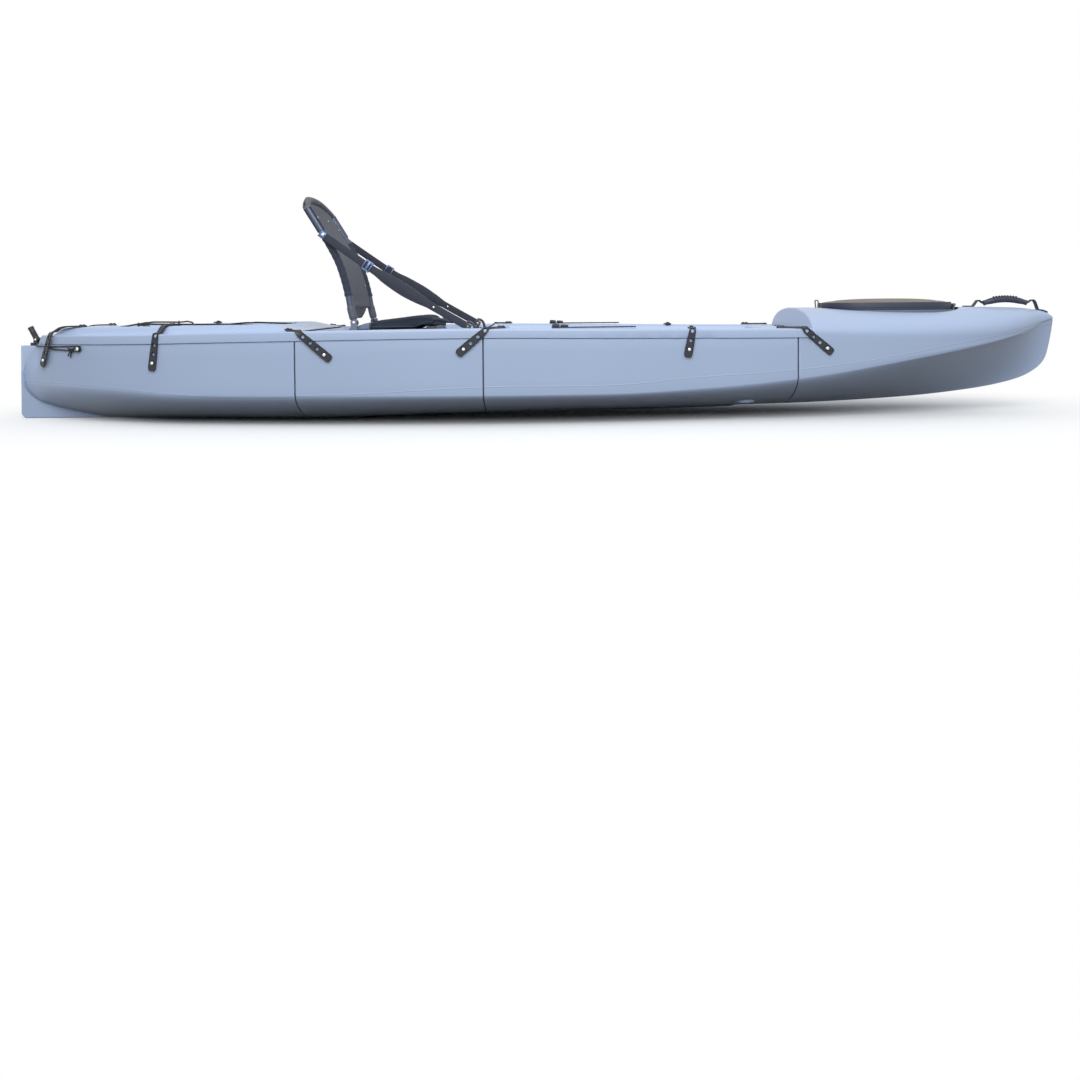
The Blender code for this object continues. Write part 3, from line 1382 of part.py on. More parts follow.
def seat_strap(label, side, pivot, floor):
    """Webbing from the backrest's rail to the deck anchor, with its slider and clip."""
    anchor = Vector((WEB_ANCHOR_X, side * WEB_ANCHOR_Y, floor + WEB_ANCHOR_RISE))
    top = pivot + Vector((rail_point(WEB_TOP_RISE), side * WEB_TOP_Y, WEB_TOP_RISE))
    top -= (anchor - top).normalized() * WEB_TOP_OVERLAP
    run = anchor - top

    def slope_at(share):
        return (run + Vector((0, 0, -WEB_SAG * pi * cos(pi * share)))).normalized()

    out = Vector((0, side, 0))
    out = (out - run.normalized() * out.dot(run.normalized())).normalized()
    rings = []
    for share, wide, thick in WEB_STATIONS:
        centre = top + run * share + Vector((0, 0, -WEB_SAG * sin(pi * share)))
        up = out.cross(slope_at(share)).normalized()
        half = up * (WEB_WIDTH / 2 * wide)
        lift = out * (WEB_THICKNESS / 2 * thick)
        rings.append([centre - half - lift, centre + half - lift, centre + half + lift, centre - half + lift])
    loft(f"seat_strap_{label}", rings, "webbing")
    buckle_at = top + run * BUCKLE_SHARE + Vector((0, 0, -WEB_SAG * sin(pi * BUCKLE_SHARE)))
    slope = slope_at(BUCKLE_SHARE)
    high = out.cross(slope)
    if high.z < 0:
        high.negate()
    turn = Matrix((slope, high, slope.cross(high))).transposed().to_4x4()
    place = Matrix.Translation(buckle_at) @ turn
    half_w, half_t = WEB_WIDTH / 2 + 0.0006, WEB_THICKNESS / 2 + 0.0006
    frame, slot = bmesh.new(), bmesh.new()
    bar, long = BUCKLE_BAR, BUCKLE_LENGTH / 2
    add_box(frame, (-long, -half_w - bar, -half_t - 0.002), (long, half_w + bar, half_t + 0.002))
    add_box(slot, (-long - 0.01, -half_w, -half_t), (long + 0.01, half_w, half_t))
    frame.transform(place)
    slot.transform(place)
    buckle = mesh_object(f"seat_buckle_{label}", frame, "black_plastic")
    combine(buckle, mesh_object(f"seat_buckle_slot_{label}", slot), "DIFFERENCE")
    seat_anchor(label, anchor, slope_at(1.0), out, floor)


def seat_anchor(label, anchor, along, out, floor):
    """The clip at the strap's lower end, standing on its plate on the deck."""
    up = out.cross(along).normalized()
    side = along.cross(up)
    turn = Matrix((along, up, side)).transposed().to_4x4()
    clip, stem, plate = bmesh.new(), bmesh.new(), bmesh.new()
    length = CLIP_LENGTH
    add_box(clip, (GAP, -WEB_WIDTH * 0.4, -CLIP_HALF_WIDTH), (length, WEB_WIDTH * 0.4, CLIP_HALF_WIDTH))
    clip.transform(Matrix.Translation(anchor) @ turn)
    centre = anchor + along * (length / 2)
    x, y, half = centre.x, centre.y, CLIP_HALF_WIDTH - 0.001
    add_box(stem, (x - 0.006, y - half, floor + 0.001), (x + 0.006, y + half, centre.z))
    add_box(plate, (x - 0.022, y - 0.013, floor), (x + 0.022, y + 0.013, floor + 0.005))
    anchor_obj = mesh_object(f"seat_anchor_{label}", plate, "black_plastic")
    combine(anchor_obj, mesh_object(f"seat_anchor_stem_{label}", stem), "UNION")
    combine(anchor_obj, mesh_object(f"seat_anchor_clip_{label}", clip), "UNION")


def gear_track(label, side, surface):
    """A track on the gunwale with two clamping blocks at its aft end."""
    block = TRACK_BLOCK_LENGTH
    high, low = TRACK_BLOCK_HEIGHT, TRACK_HEIGHT
    end = TRACK_LENGTH
    outline = [
        (0.0, 0.0),
        (0.003, high),
        (block - 0.004, high),
        (block - 0.002, low + 0.002),
        (block + 0.001, low + 0.002),
        (block + 0.003, high - 0.002),
        (2 * block - 0.003, high - 0.002),
        (2 * block + 0.003, low),
        (end, low),
        (end, 0.0),
    ]
    track = outline_object(f"gear_track_{label}", [outline], TRACK_WIDTH, "black_plastic")
    y = side * (half_breadth(TRACK_START + end / 2) - GUNWALE_WIDTH / 2)
    heights = []
    for share in even(0.0, 1.0, 7):
        for edge in (-1, 1):
            x = TRACK_START + end * share
            heights.append(height_on(surface, x, y + edge * TRACK_WIDTH / 2))
    slope = side_slope(TRACK_START + end / 2)
    yaw = -slope if side < 0 else slope
    track.rotation_euler = (radians(90), 0, yaw)
    track.location = (TRACK_START, y - yaw * end / 2, max(heights) + GAP)


def bungee(surface):
    """One elastic cord laced across the stern lid, over its moulded hooks."""
    lift = BUNGEE_EYE_HEIGHT + BUNGEE_RADIUS + GAP
    places = []
    for i, (x, y) in enumerate(BUNGEE_EYES):
        deck = height_on(surface, x, y)
        places.append(Vector((x, y, deck + lift)))

    def eye(i, side):
        p = places[i]
        return Vector((p.x, side * p.y, p.z))

    forth = [eye(0, -1), eye(1, 1), eye(2, -1), eye(3, 1)]
    back = [eye(3, -1), eye(2, 1), eye(1, -1), eye(0, 1)]
    route = []
    for leg, stops in ((0, forth), (1, back)):
        for i, stop in enumerate(stops):
            if i:
                before = stops[i - 1]
                rise = leg * (2 * BUNGEE_RADIUS + BUNGEE_CROSSING_GAP)
                for share in (0.4, 0.5, 0.6):
                    point = before.lerp(stop, share)
                    route.append(point + Vector((0, 0, rise)))
            route.append(stop)
    tube("bungee_cord", route, BUNGEE_RADIUS, "cord", 2)


def bungee_eyes(lid, surface):
    """Low hooks moulded on the stern lid under the cord."""
    eyes = bmesh.new()
    half = BUNGEE_EYE_SIZE / 2
    for x, y in BUNGEE_EYES:
        for side in (-1, 1):
            deck = height_on(surface, x, side * y)
            add_box(
                eyes,
                (x - half, side * y - half, deck - 0.003),
                (x + half, side * y + half, deck + BUNGEE_EYE_HEIGHT),
            )
    combine(lid, mesh_object("bungee_hooks", eyes), "UNION")


def build():
    tubs = {
        "hull_stern": hull_stern(),
        "hull_mid_aft": plain_tub("hull_mid_aft", SEAM_AFT, SEAM_MID, 6),
        "hull_mid_forward": hull_mid_forward(),
        "hull_bow": hull_bow(),
    }
    for name, x in (("aft", SEAM_AFT), ("mid", SEAM_MID), ("forward", SEAM_FORWARD)):
        seam_gasket(f"seam_gasket_{name}", x)
    lids = [deck_stern(), deck_seat(), deck_cockpit()]
    surface = surface_of(list(tubs.values()) + lids)
    handle_axis = bow_handle(surface)
    toggle_pivot = stern_toggle(surface)
    bungee(surface)
    bungee_eyes(lids[0], surface)
    hinges = latch_straps(surface, tubs)
    hatch_hinge, pull_pivot = hatch()
    floor, pivot = seat()
    for label, side in (("starboard", -1), ("port", 1)):
        seat_strap(label, side, pivot, floor)
        gear_track(label, side, surface)
    print("backrest pivot", [round(v, 5) for v in pivot])
    print("toggle pivot", [round(v, 5) for v in toggle_pivot], "handle axis height", round(handle_axis, 5))
    print("hatch hinge", [round(v, 5) for v in hatch_hinge], "pull pivot", [round(v, 5) for v in pull_pivot])
    for label, place, axis in hinges:
        print(label, [round(v, 5) for v in place], [round(v, 5) for v in axis])


build()
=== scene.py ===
# Looks of a take-apart sit-on-top fishing kayak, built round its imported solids.
# Metres, +Z up, bow towards +X, port towards +Y, and Z = 0 under the skeg.
import json
from bisect import bisect_right
from functools import lru_cache
from math import atan2, cos, hypot, pi, radians, sin
from types import SimpleNamespace

import bmesh
import bpy
from mathutils import Matrix, Vector
from mathutils.bvhtree import BVHTree


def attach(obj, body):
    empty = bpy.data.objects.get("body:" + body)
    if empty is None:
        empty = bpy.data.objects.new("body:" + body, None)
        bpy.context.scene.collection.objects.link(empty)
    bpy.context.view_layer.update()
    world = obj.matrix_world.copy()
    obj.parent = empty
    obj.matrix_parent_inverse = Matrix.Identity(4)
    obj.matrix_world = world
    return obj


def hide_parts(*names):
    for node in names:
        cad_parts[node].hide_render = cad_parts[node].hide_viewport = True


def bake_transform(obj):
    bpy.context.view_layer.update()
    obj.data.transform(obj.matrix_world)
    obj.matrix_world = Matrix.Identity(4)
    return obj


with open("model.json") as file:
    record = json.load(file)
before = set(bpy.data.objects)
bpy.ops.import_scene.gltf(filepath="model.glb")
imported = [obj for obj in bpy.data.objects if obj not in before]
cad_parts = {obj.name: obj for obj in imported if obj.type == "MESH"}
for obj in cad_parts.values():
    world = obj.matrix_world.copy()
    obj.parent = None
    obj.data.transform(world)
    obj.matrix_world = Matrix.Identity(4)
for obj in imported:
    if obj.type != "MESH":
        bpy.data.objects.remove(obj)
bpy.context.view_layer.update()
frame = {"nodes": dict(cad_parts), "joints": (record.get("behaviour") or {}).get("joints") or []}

# Camera, floor and light
# The photograph is a side view from starboard at chest height, in flat daylight on white. Most light comes from
# a wide lamp in front, under a soft sky, and a floor that throws little back keeps the underside dark.
EYE = (0.007, -3.9, 0.391)
LENS = 36.57
HORIZON_SHIFT = -0.2194
ROLL = radians(-0.51)
WHITE = (1, 1, 1, 1)
SKY_COLOUR, SKY_LIGHT = (0.91, 0.96, 1.0, 1), 0.67
FLOOR_SIZE, FLOOR_HEIGHT = 60, -0.0005
FLOOR_SEEN, FLOOR_BOUNCE = 0.93, 0.05
SHADOW_LENGTH, SHADOW_WIDTH, FADE_START, FADE_END = 3.0, 1.5, 0.42, 0.85
LAMPS = (("overhead", 8, (0.4, -1.6, 4.2)), ("frontal", 335, (0.0, -5.6, 3.9)))
LAMP_SIZE, LAMP_AIM = 5.0, Vector((0, 0, 0.2))


def placed(name, data):
    """A new object in the scene, at the world's origin."""
    made = bpy.data.objects.new(name, data)
    bpy.context.scene.collection.objects.link(made)
    return made


camera = placed("camera", bpy.data.cameras.new("camera"))
camera.data.lens = LENS
camera.data.sensor_width = 36
camera.data.shift_y = HORIZON_SHIFT
camera.matrix_world = Matrix.Translation(EYE) @ Matrix.Rotation(radians(90), 4, "X") @ Matrix.Rotation(ROLL, 4, "Z")
bpy.context.scene.camera = camera
bpy.context.scene.view_settings.view_transform = "Standard"


def new_nodes(tree):
    """Two short helpers that add a node and link two sockets in a tree."""

    def add(kind, **settings):
        node = tree.nodes.new(kind)
        for key, value in settings.items():
            if key in node.bl_rna.properties:
                setattr(node, key, value)
            else:
                node.inputs[key.replace("_", " ")].default_value = value
        return node

    def link(source, target):
        tree.links.new(source, target)

    return add, link


def seen_directly(add, link):
    """1 for rays that show a surface in the picture or in gloss and glass, 0 for light bounced off it."""
    path = add("ShaderNodeLightPath")
    first = add("ShaderNodeMath", operation="MAXIMUM")
    link(path.outputs["Is Camera Ray"], first.inputs[0])
    link(path.outputs["Is Glossy Ray"], first.inputs[1])
    both = add("ShaderNodeMath", operation="MAXIMUM")
    link(first.outputs[0], both.inputs[0])
    link(path.outputs["Is Transmission Ray"], both.inputs[1])
    return both.outputs[0]


world = bpy.data.worlds.new("daylight")
world.use_nodes = True
bpy.context.scene.world = world
add, link = new_nodes(world.node_tree)
world.node_tree.nodes.clear()
sky = add("ShaderNodeBackground", Color=SKY_COLOUR, Strength=SKY_LIGHT)
paper = add("ShaderNodeBackground", Color=WHITE, Strength=1.0)
either = add("ShaderNodeMixShader")
link(seen_directly(add, link), either.inputs[0])
link(sky.outputs[0], either.inputs[1])
link(paper.outputs[0], either.inputs[2])
link(either.outputs[0], add("ShaderNodeOutputWorld").inputs[0])

floor_mesh = bmesh.new()
bmesh.ops.create_grid(floor_mesh, x_segments=1, y_segments=1, size=FLOOR_SIZE)
floor = placed("floor", bpy.data.meshes.new("floor"))
floor_mesh.to_mesh(floor.data)
floor.location.z = FLOOR_HEIGHT
pale = bpy.data.materials.new("pale_floor")
pale.use_nodes = True
add, link = new_nodes(pale.node_tree)
shade = pale.node_tree.nodes["Principled BSDF"]
shade.inputs["Roughness"].default_value = 1.0
shade.inputs["Specular IOR Level"].default_value = 0.0
tone = add("ShaderNodeMix", data_type="RGBA")
tone.inputs[6].default_value = (FLOOR_BOUNCE,) * 3 + (1,)
tone.inputs[7].default_value = (FLOOR_SEEN,) * 3 + (1,)
seen = seen_directly(add, link)
link(seen, tone.inputs[0])
link(tone.outputs[2], shade.inputs["Base Color"])
near = add("ShaderNodeMapping", Scale=(1 / SHADOW_LENGTH, 1 / SHADOW_WIDTH, 1))
link(add("ShaderNodeTexCoord").outputs["Object"], near.inputs[0])
distance = add("ShaderNodeVectorMath", operation="LENGTH")
link(near.outputs[0], distance.inputs[0])
fade = add("ShaderNodeMapRange", interpolation_type="SMOOTHSTEP", From_Min=FADE_START, From_Max=FADE_END)
link(distance.outputs["Value"], fade.inputs[0])
white = add("ShaderNodeEmission", Color=WHITE, Strength=1.0)
far = add("ShaderNodeMath", operation="MULTIPLY")
link(fade.outputs[0], far.inputs[0])
link(seen, far.inputs[1])
blank = add("ShaderNodeMixShader")
link(far.outputs[0], blank.inputs[0])
link(shade.outputs[0], blank.inputs[1])
link(white.outputs[0], blank.inputs[2])
link(blank.outputs[0], pale.node_tree.nodes["Material Output"].inputs[0])
floor.data.materials.append(pale)

for label, energy, place in LAMPS:
    lamp = placed(label, bpy.data.lights.new(label, "AREA"))
    lamp.data.size = LAMP_SIZE
    lamp.data.energy = energy
    lamp.location = place
    lamp.rotation_euler = (LAMP_AIM - lamp.location).to_track_quat("-Z", "Y").to_euler()

# Hull tubs
# Four rotomoulded polyethylene tubs stand end to end. Their sides and bottoms are one fair skin, cut at three
# seams. The stern tub has a skeg, the forward one has a keel recess and scuppers, the bow has its own foredeck.
LENGTH = 3.66
BEAM = 0.853
RIM_HEIGHT = 0.281
GAP = 0.0003
HULL_WALL = 0.0045
HULL_FLOOR = 0.007
STERN, BOW = -LENGTH / 2, LENGTH / 2
SEAM_AFT, SEAM_MID, SEAM_FORWARD = -0.78, -0.175, 0.848
SEAM_WIDTH = 0.0036
SEAM_ROUND = 0.0022
FLARE = 0.004
SKEG_HALF = 0.0195
SKEG_TOP = RIM_HEIGHT - 0.0245
SKEG_CORNER = 0.020
SKEG_FRONT = STERN + 0.90
LID_END = SEAM_FORWARD + 0.047
BREADTH = (
    (-0.4978, 0.050), (-0.4800, 0.085), (-0.4740, 0.155), (-0.4617, 0.253), (-0.4372, 0.387), (-0.3962, 0.577),
    (-0.3279, 0.778), (-0.2459, 0.891), (-0.1503, 0.966), (-0.0464, 1.000), (0.0410, 0.959), (0.1563, 0.839),
    (0.2732, 0.717), (0.3497, 0.610), (0.3960, 0.520), (0.4370, 0.382), (0.4645, 0.237), (0.4836, 0.098),
    (0.4993, 0.023),
)
KEEL = (
    (-0.4978, 0.112), (-0.4890, 0.080), (-0.4760, 0.055), (-0.4550, 0.0345), (-0.4350, 0.025), (-0.3960, 0.0096),
    (-0.3300, 0.006), (-0.2131, 0.001), (-0.1000, 0.012), (0.0000, 0.021), (0.1550, 0.030), (0.2320, 0.034),
    (0.3500, 0.050), (0.4190, 0.075), (0.4630, 0.108), (0.4800, 0.138), (0.4910, 0.178), (0.4965, 0.252),
    (0.4993, 0.312),
)
BILGE = (
    (-0.4978, 0.125), (-0.4000, 0.121), (-0.3200, 0.105), (0.0600, 0.100), (0.1550, 0.115), (0.2320, 0.138),
    (0.3330, 0.190), (0.4480, 0.265), (0.4993, 0.320),
)
SHEER = (
    (-0.5000, -0.019), (-0.3830, -0.015), (-0.2700, -0.008), (-0.0500, 0.000), (0.0800, -0.005), (0.2320, -0.010),
    (0.5000, -0.010),
)
STERN_DROP = ((-0.4978, 0.095), (-0.4918, 0.045), (-0.4803, 0.0), (0.5, 0.0))
KEEL_FLAT = ((-0.4978, 0.015), (-0.30, 0.060), (0.2320, 0.060), (0.4000, 0.008), (0.4993, 0.003))
STERN_ROUND = ((-0.4978, 0.0198), (-0.4891, 0.042), (-0.4800, 0.060), (-0.4740, 0.076), (-0.4617, 0.108))
FULLNESS = ((-0.5, 1.5), (-0.3, 1.7), (0.15, 1.7), (0.232, 1.5), (0.35, 1.1), (0.42, 0.92), (0.5, 0.85))
DECK_SIDE = ((0.232, 0.014), (0.33, 0.0), (0.42, 0.004), (0.47, 0.03), (0.4993, 0.051))
DECK_CROWN = (
    (0.232, 0.0965), (0.42, 0.0935), (0.463, 0.090), (0.480, 0.083), (0.491, 0.075), (0.4993, 0.056),
)
DECK_FULLNESS = 2.2
SIDE_SHARES = (0.25, 0.5, 0.75, 0.97)
CUT_SHARP = 62


def curve_through(stations):
    """A cubic through (x, value) stations that never overshoots them."""
    xs, values = zip(*stations)
    steps = [after - x for x, after in zip(xs, xs[1:])]
    slopes = [(after - v) / step for v, after, step in zip(values, values[1:], steps)]
    tangents = [slopes[0]]
    for before, after in zip(slopes, slopes[1:]):
        tangents.append(2 * before * after / (before + after) if before * after > 0 else 0.0)
    tangents.append(slopes[-1])

    def value(x):
        x = min(max(x, xs[0]), xs[-1])
        i = min(bisect_right(xs, x), len(xs) - 1) - 1
        t = (x - xs[i]) / steps[i]
        lead = tangents[i] * t * (1 - t) ** 2 - tangents[i + 1] * t * t * (1 - t)
        return values[i] + (values[i + 1] - values[i]) * t * t * (3 - 2 * t) + steps[i] * lead

    return value


def faired(stations, reach=0.016):
    """A line through stations of (share of the length, value), smoothed as a batten smooths it."""
    line = curve_through(stations)

    def value(x):
        share = x / LENGTH
        near = min(reach, 0.35 * max(0.0, min(share - stations[0][0], stations[-1][0] - share)))
        total = weights = 0.0
        for i in range(-4, 5):
            weight = 1 - abs(i) / 5
            total += weight * line(share + near * i / 4)
            weights += weight
        return total / weights

    return lru_cache(maxsize=None)(value)


breadth, keel, bilge, sheer = faired(BREADTH), faired(KEEL), faired(BILGE), faired(SHEER)
stern_drop, keel_flat, fullness = faired(STERN_DROP, 0.002), faired(KEEL_FLAT), faired(FULLNESS)
deck_side, deck_crown, stern_round = faired(DECK_SIDE), faired(DECK_CROWN), faired(STERN_ROUND, 0.004)


def half_breadth(x):
    return BEAM / 2 * breadth(x)


def rim(x):
    return RIM_HEIGHT + sheer(x)


def smooth(low, high, value):
    """0 below low, 1 above high, and a soft step between."""
    t = min(1.0, max(0.0, (value - low) / (high - low)))
    return t * t * (3 - 2 * t)


def even(start, end, step):
    """Places from start to end, about a step apart."""
    count = max(1, round(abs(end - start) / step))
    return [start + (end - start) * i / count for i in range(count + 1)]


def rounded(corners, steps=3):
    """A polyline of (y, z, radius) corners with each corner turned to an arc."""
    points = [corners[0][:2]]
    for before, corner, after in zip(corners, corners[1:], corners[2:]):
        here = Vector(corner[:2])
        back, ahead = Vector(before[:2]) - here, Vector(after[:2]) - here
        size = min(corner[2], back.length * 0.45, ahead.length * 0.45)
        a, b = here + back.normalized() * size, here + ahead.normalized() * size
        for i in range(steps + 1):
            t = i / steps
            points.append(tuple(a * (1 - t) ** 2 + here * 2 * t * (1 - t) + b * t * t))
    return points + [corners[-1][:2]]


def offset(points, depth, closed=False):
    """(y, z) points moved to the left of their run by a depth, as an open line or a closed loop."""
    first, last = (points[-1:], points[:1]) if closed else (points[:1], points[-1:])
    moved = []
    for before, point, after in zip(first + points, points, points[1:] + last):
        run = Vector((after[0] - before[0], after[1] - before[1]))
        run = run.normalized() if run.length > 1e-9 else Vector((1, 0))
        moved.append((point[0] - run.y * depth, point[1] + run.x * depth))
    return moved


def shrunk(points, depth):
    """A closed loop of (y, z) points moved inwards by a depth."""
    if depth == 0:
        return points
    area = sum(a[0] * b[1] - b[0] * a[1] for a, b in zip(points, points[1:] + points[:1]))
    return offset(points, depth if area > 0 else -depth, closed=True)


def both_sides(half):
    """A loop of (y, z) from a half section that starts and ends on the centreline."""
    return [(-y, z) for y, z in reversed(half)] + half[1:-1]


def shaded(mesh, sharp):
    """Smooth shading that breaks at edges sharper than an angle in degrees."""
    mesh.shade_smooth()
    mesh.set_sharp_from_angle(angle=radians(sharp))


def new_object(name, work, sharp=35, turn=True):
    """An object from a bmesh, which is used up; its faces are turned outwards unless they already lie right."""
    bmesh.ops.remove_doubles(work, verts=work.verts, dist=1e-6)
    if turn:
        bmesh.ops.recalc_face_normals(work, faces=work.faces)
    mesh = bpy.data.meshes.new(name)
    work.to_mesh(mesh)
    work.free()
    shaded(mesh, sharp)
    return placed(name, mesh)


def fitted(piece, finish, body=None, node=None):
    """Gives a piece its finish and the body it rides on, and hides the solid it stands for."""
    piece.data.materials.clear()
    piece.data.materials.append(finish)
    if body:
        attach(piece, body)
    if node:
        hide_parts(node)
    return piece


def joined(work, rows, closed=True):
    """Faces between neighbouring rows of vertices; a closed row's end joins its start."""
    for row, after in zip(rows, rows[1:]):
        for i in range(len(row) if closed else len(row) - 1):
            j = (i + 1) % len(row)
            work.faces.new((row[i], row[j], after[j], after[i]))


def skin(work, rings):
    """Joins closed rings of equal length and caps both ends."""
    rows = [[work.verts.new(point) for point in ring] for ring in rings]
    joined(work, rows)
    work.faces.new(rows[0])
    work.faces.new(rows[-1])


def lofted(name, rings, sharp=35):
    work = bmesh.new()
    skin(work, rings)
    return new_object(name, work, sharp)


def baked(obj):
    """Applies an object's live modifiers and returns the plain mesh."""
    graph = bpy.context.evaluated_depsgraph_get()
    mesh = bpy.data.meshes.new_from_object(obj.evaluated_get(graph))
    obj.modifiers.clear()
    obj.data = mesh
    return mesh


def boolean(obj, other, operation):
    """Joins or cuts with another object, which is then removed."""
    change = obj.modifiers.new("change", "BOOLEAN")
    change.operation = operation
    change.object = other
    change.solver = "EXACT"
    mesh = baked(obj)
    bpy.data.objects.remove(other, do_unlink=True)
    shaded(mesh, CUT_SHARP)


def bottom_bulge(x, y):
    """How far the bottom swells down round the skeg and round the keel recess."""
    swell = 0.010 * smooth(STERN + 0.15, STERN + 0.32, x) * (1 - smooth(SKEG_FRONT - 0.12, SKEG_FRONT + 0.02, x))
    width = 0.055 + 0.055 * smooth(STERN + 0.2, STERN + 0.75, x)
    pad_half = 0.145 - 0.055 * smooth(0.25, 0.68, x)
    pad = 0.006 * smooth(0.06, 0.20, x) * (1 - smooth(0.665, 0.69, x)) * (1 - smooth(pad_half - 0.02, pad_half, y))
    return min(swell * (1 - smooth(width * 0.55, width, y)) + pad, 0.9 * keel(x))


def bottom_half(x, inset=0.0, floor=0.0, bulge=True):
    """Half section from the keel to the top of the bilge, as (y, z)."""
    side = half_breadth(x) - FLARE - inset
    flat = min(keel_flat(x), side / 2)
    low = keel(x) + floor
    high = max(bilge(x) + inset / 2, low + 0.002)
    power = fullness(x)
    points = [(flat * i / 6, low) for i in range(6)]
    for i in range(37):
        a = pi / 2 * i / 36
        u, w = sin(a) ** (2 / power), max(cos(a), 0.0) ** (2 / power)
        points.append((flat + (side - flat) * u, high - (high - low) * w))
    if bulge:
        points = [(y, z - bottom_bulge(x, y)) for y, z in points]
    return points


def skeg_bottom(x):
    """Height of the skeg's lower edge."""
    back = x - STERN
    if back < SKEG_CORNER:
        return SKEG_CORNER * (1 - (1 - (1 - back / SKEG_CORNER) ** 2) ** 0.5)
    front = keel(SKEG_FRONT) - 0.001
    return front * smooth(STERN + 0.30, SKEG_FRONT + 0.25, x) * 2 if back > 0.3 else 0.0


def with_skeg(x, half):
    """Puts the skeg's edge and sides into a half section of the bottom."""
    low = min(skeg_bottom(x), half[0][1] - 0.0001)
    wider = max(y for y, z in half) > SKEG_HALF + 0.0015
    meet = next(z for y, z in half if y >= SKEG_HALF) if wider else half[-1][1]
    edge = min(0.004, (meet - low) / 3)
    fillet = min(0.006, (meet - low) / 3) if wider else 0.0
    points = [(0.0, low)] + rounded(
        [(0.004, low, 0), (SKEG_HALF, low, edge), (SKEG_HALF, meet, fillet), (SKEG_HALF + 2 * fillet, meet, 0)]
    )[:-1]
    rest = [(max(y, SKEG_HALF + 0.00002 * i), z) for i, (y, z) in enumerate(half) if i >= 7]
    return points + rest


def soft_end(at, way):
    """Places and depths that round a tub's end off at a seam, from the seam inwards."""
    return [(at, SEAM_ROUND), (at + way * 0.0006, 0.0008), (at + way * SEAM_ROUND, 0.0)]


def open_row(x, half):
    """A row of points from the starboard rim under the keel to the port rim."""
    return [(x, -y, z) for y, z in reversed(half)] + [(x, y, z) for y, z in half[1:]]


def up_side(half, side, top, shares):
    """A half section carried up its side, by shares of the way to the top."""
    y, z = half[-1]
    return half + [(y + (side - y) * t, z + (top - z) * t) for t in shares]


def open_tub(name, outer, inner, first):
    """A tub open at the top, from open rows of its outside and its inside; inner rows start at outer row first."""
    work = bmesh.new()
    rows, inside = [[[work.verts.new(point) for point in row] for row in grid] for grid in (outer, inner)]
    last = first + len(inner) - 1
    for grid in (rows, inside):
        joined(work, grid, closed=False)
    for grid in (rows, inside):
        work.faces.new(grid[0])
        work.faces.new(grid[-1])
    for edge in (0, -1):
        for i, (row, after) in enumerate(zip(inside, inside[1:]), first):
            work.faces.new((rows[i][edge], rows[i + 1][edge], after[edge], row[edge]))
    aft = [row[0] for row in rows[: first + 1]] + [inside[0][0], inside[0][-1]]
    work.faces.new(aft + [row[-1] for row in reversed(rows[: first + 1])])
    fore = [row[0] for row in rows[last:]] + [row[-1] for row in reversed(rows[last:])]
    work.faces.new(fore + [inside[-1][-1], inside[-1][0]])
    return new_object(name, work)


def outside(x, depth):
    """Half section of a tub's outside, with its rim's edge rounded."""
    side, top = half_breadth(x) - depth, rim(x)
    half = up_side(bottom_half(x, depth, depth), side, top, SIDE_SHARES)
    return half + [(side - 0.0008, top - 0.0008), (side - 0.003, top)]


def cavity_rows(xs):
    """Open rows of a tub's inside, one wall within its outside."""
    rows = []
    for x in xs:
        half = bottom_half(x, HULL_WALL, HULL_FLOOR, bulge=False)
        rows.append(open_row(x, up_side(half, half_breadth(x) - HULL_WALL, rim(x), SIDE_SHARES + (1.0,))))
    return rows


def plain_tub(name, start, end, step=0.014):
    start, end = start + SEAM_WIDTH / 2, end - SEAM_WIDTH / 2
    places = soft_end(start, 1) + [(x, 0.0) for x in even(start + 0.006, end - 0.006, step)] + soft_end(end, -1)[::-1]
    first = 4
    xs = [x for x, _ in places[first:-first]]
    xs[0], xs[-1] = start + HULL_WALL + 0.002, end - HULL_WALL - 0.002
    return open_tub(name, [open_row(x, outside(x, depth)) for x, depth in places], cavity_rows(xs), first)


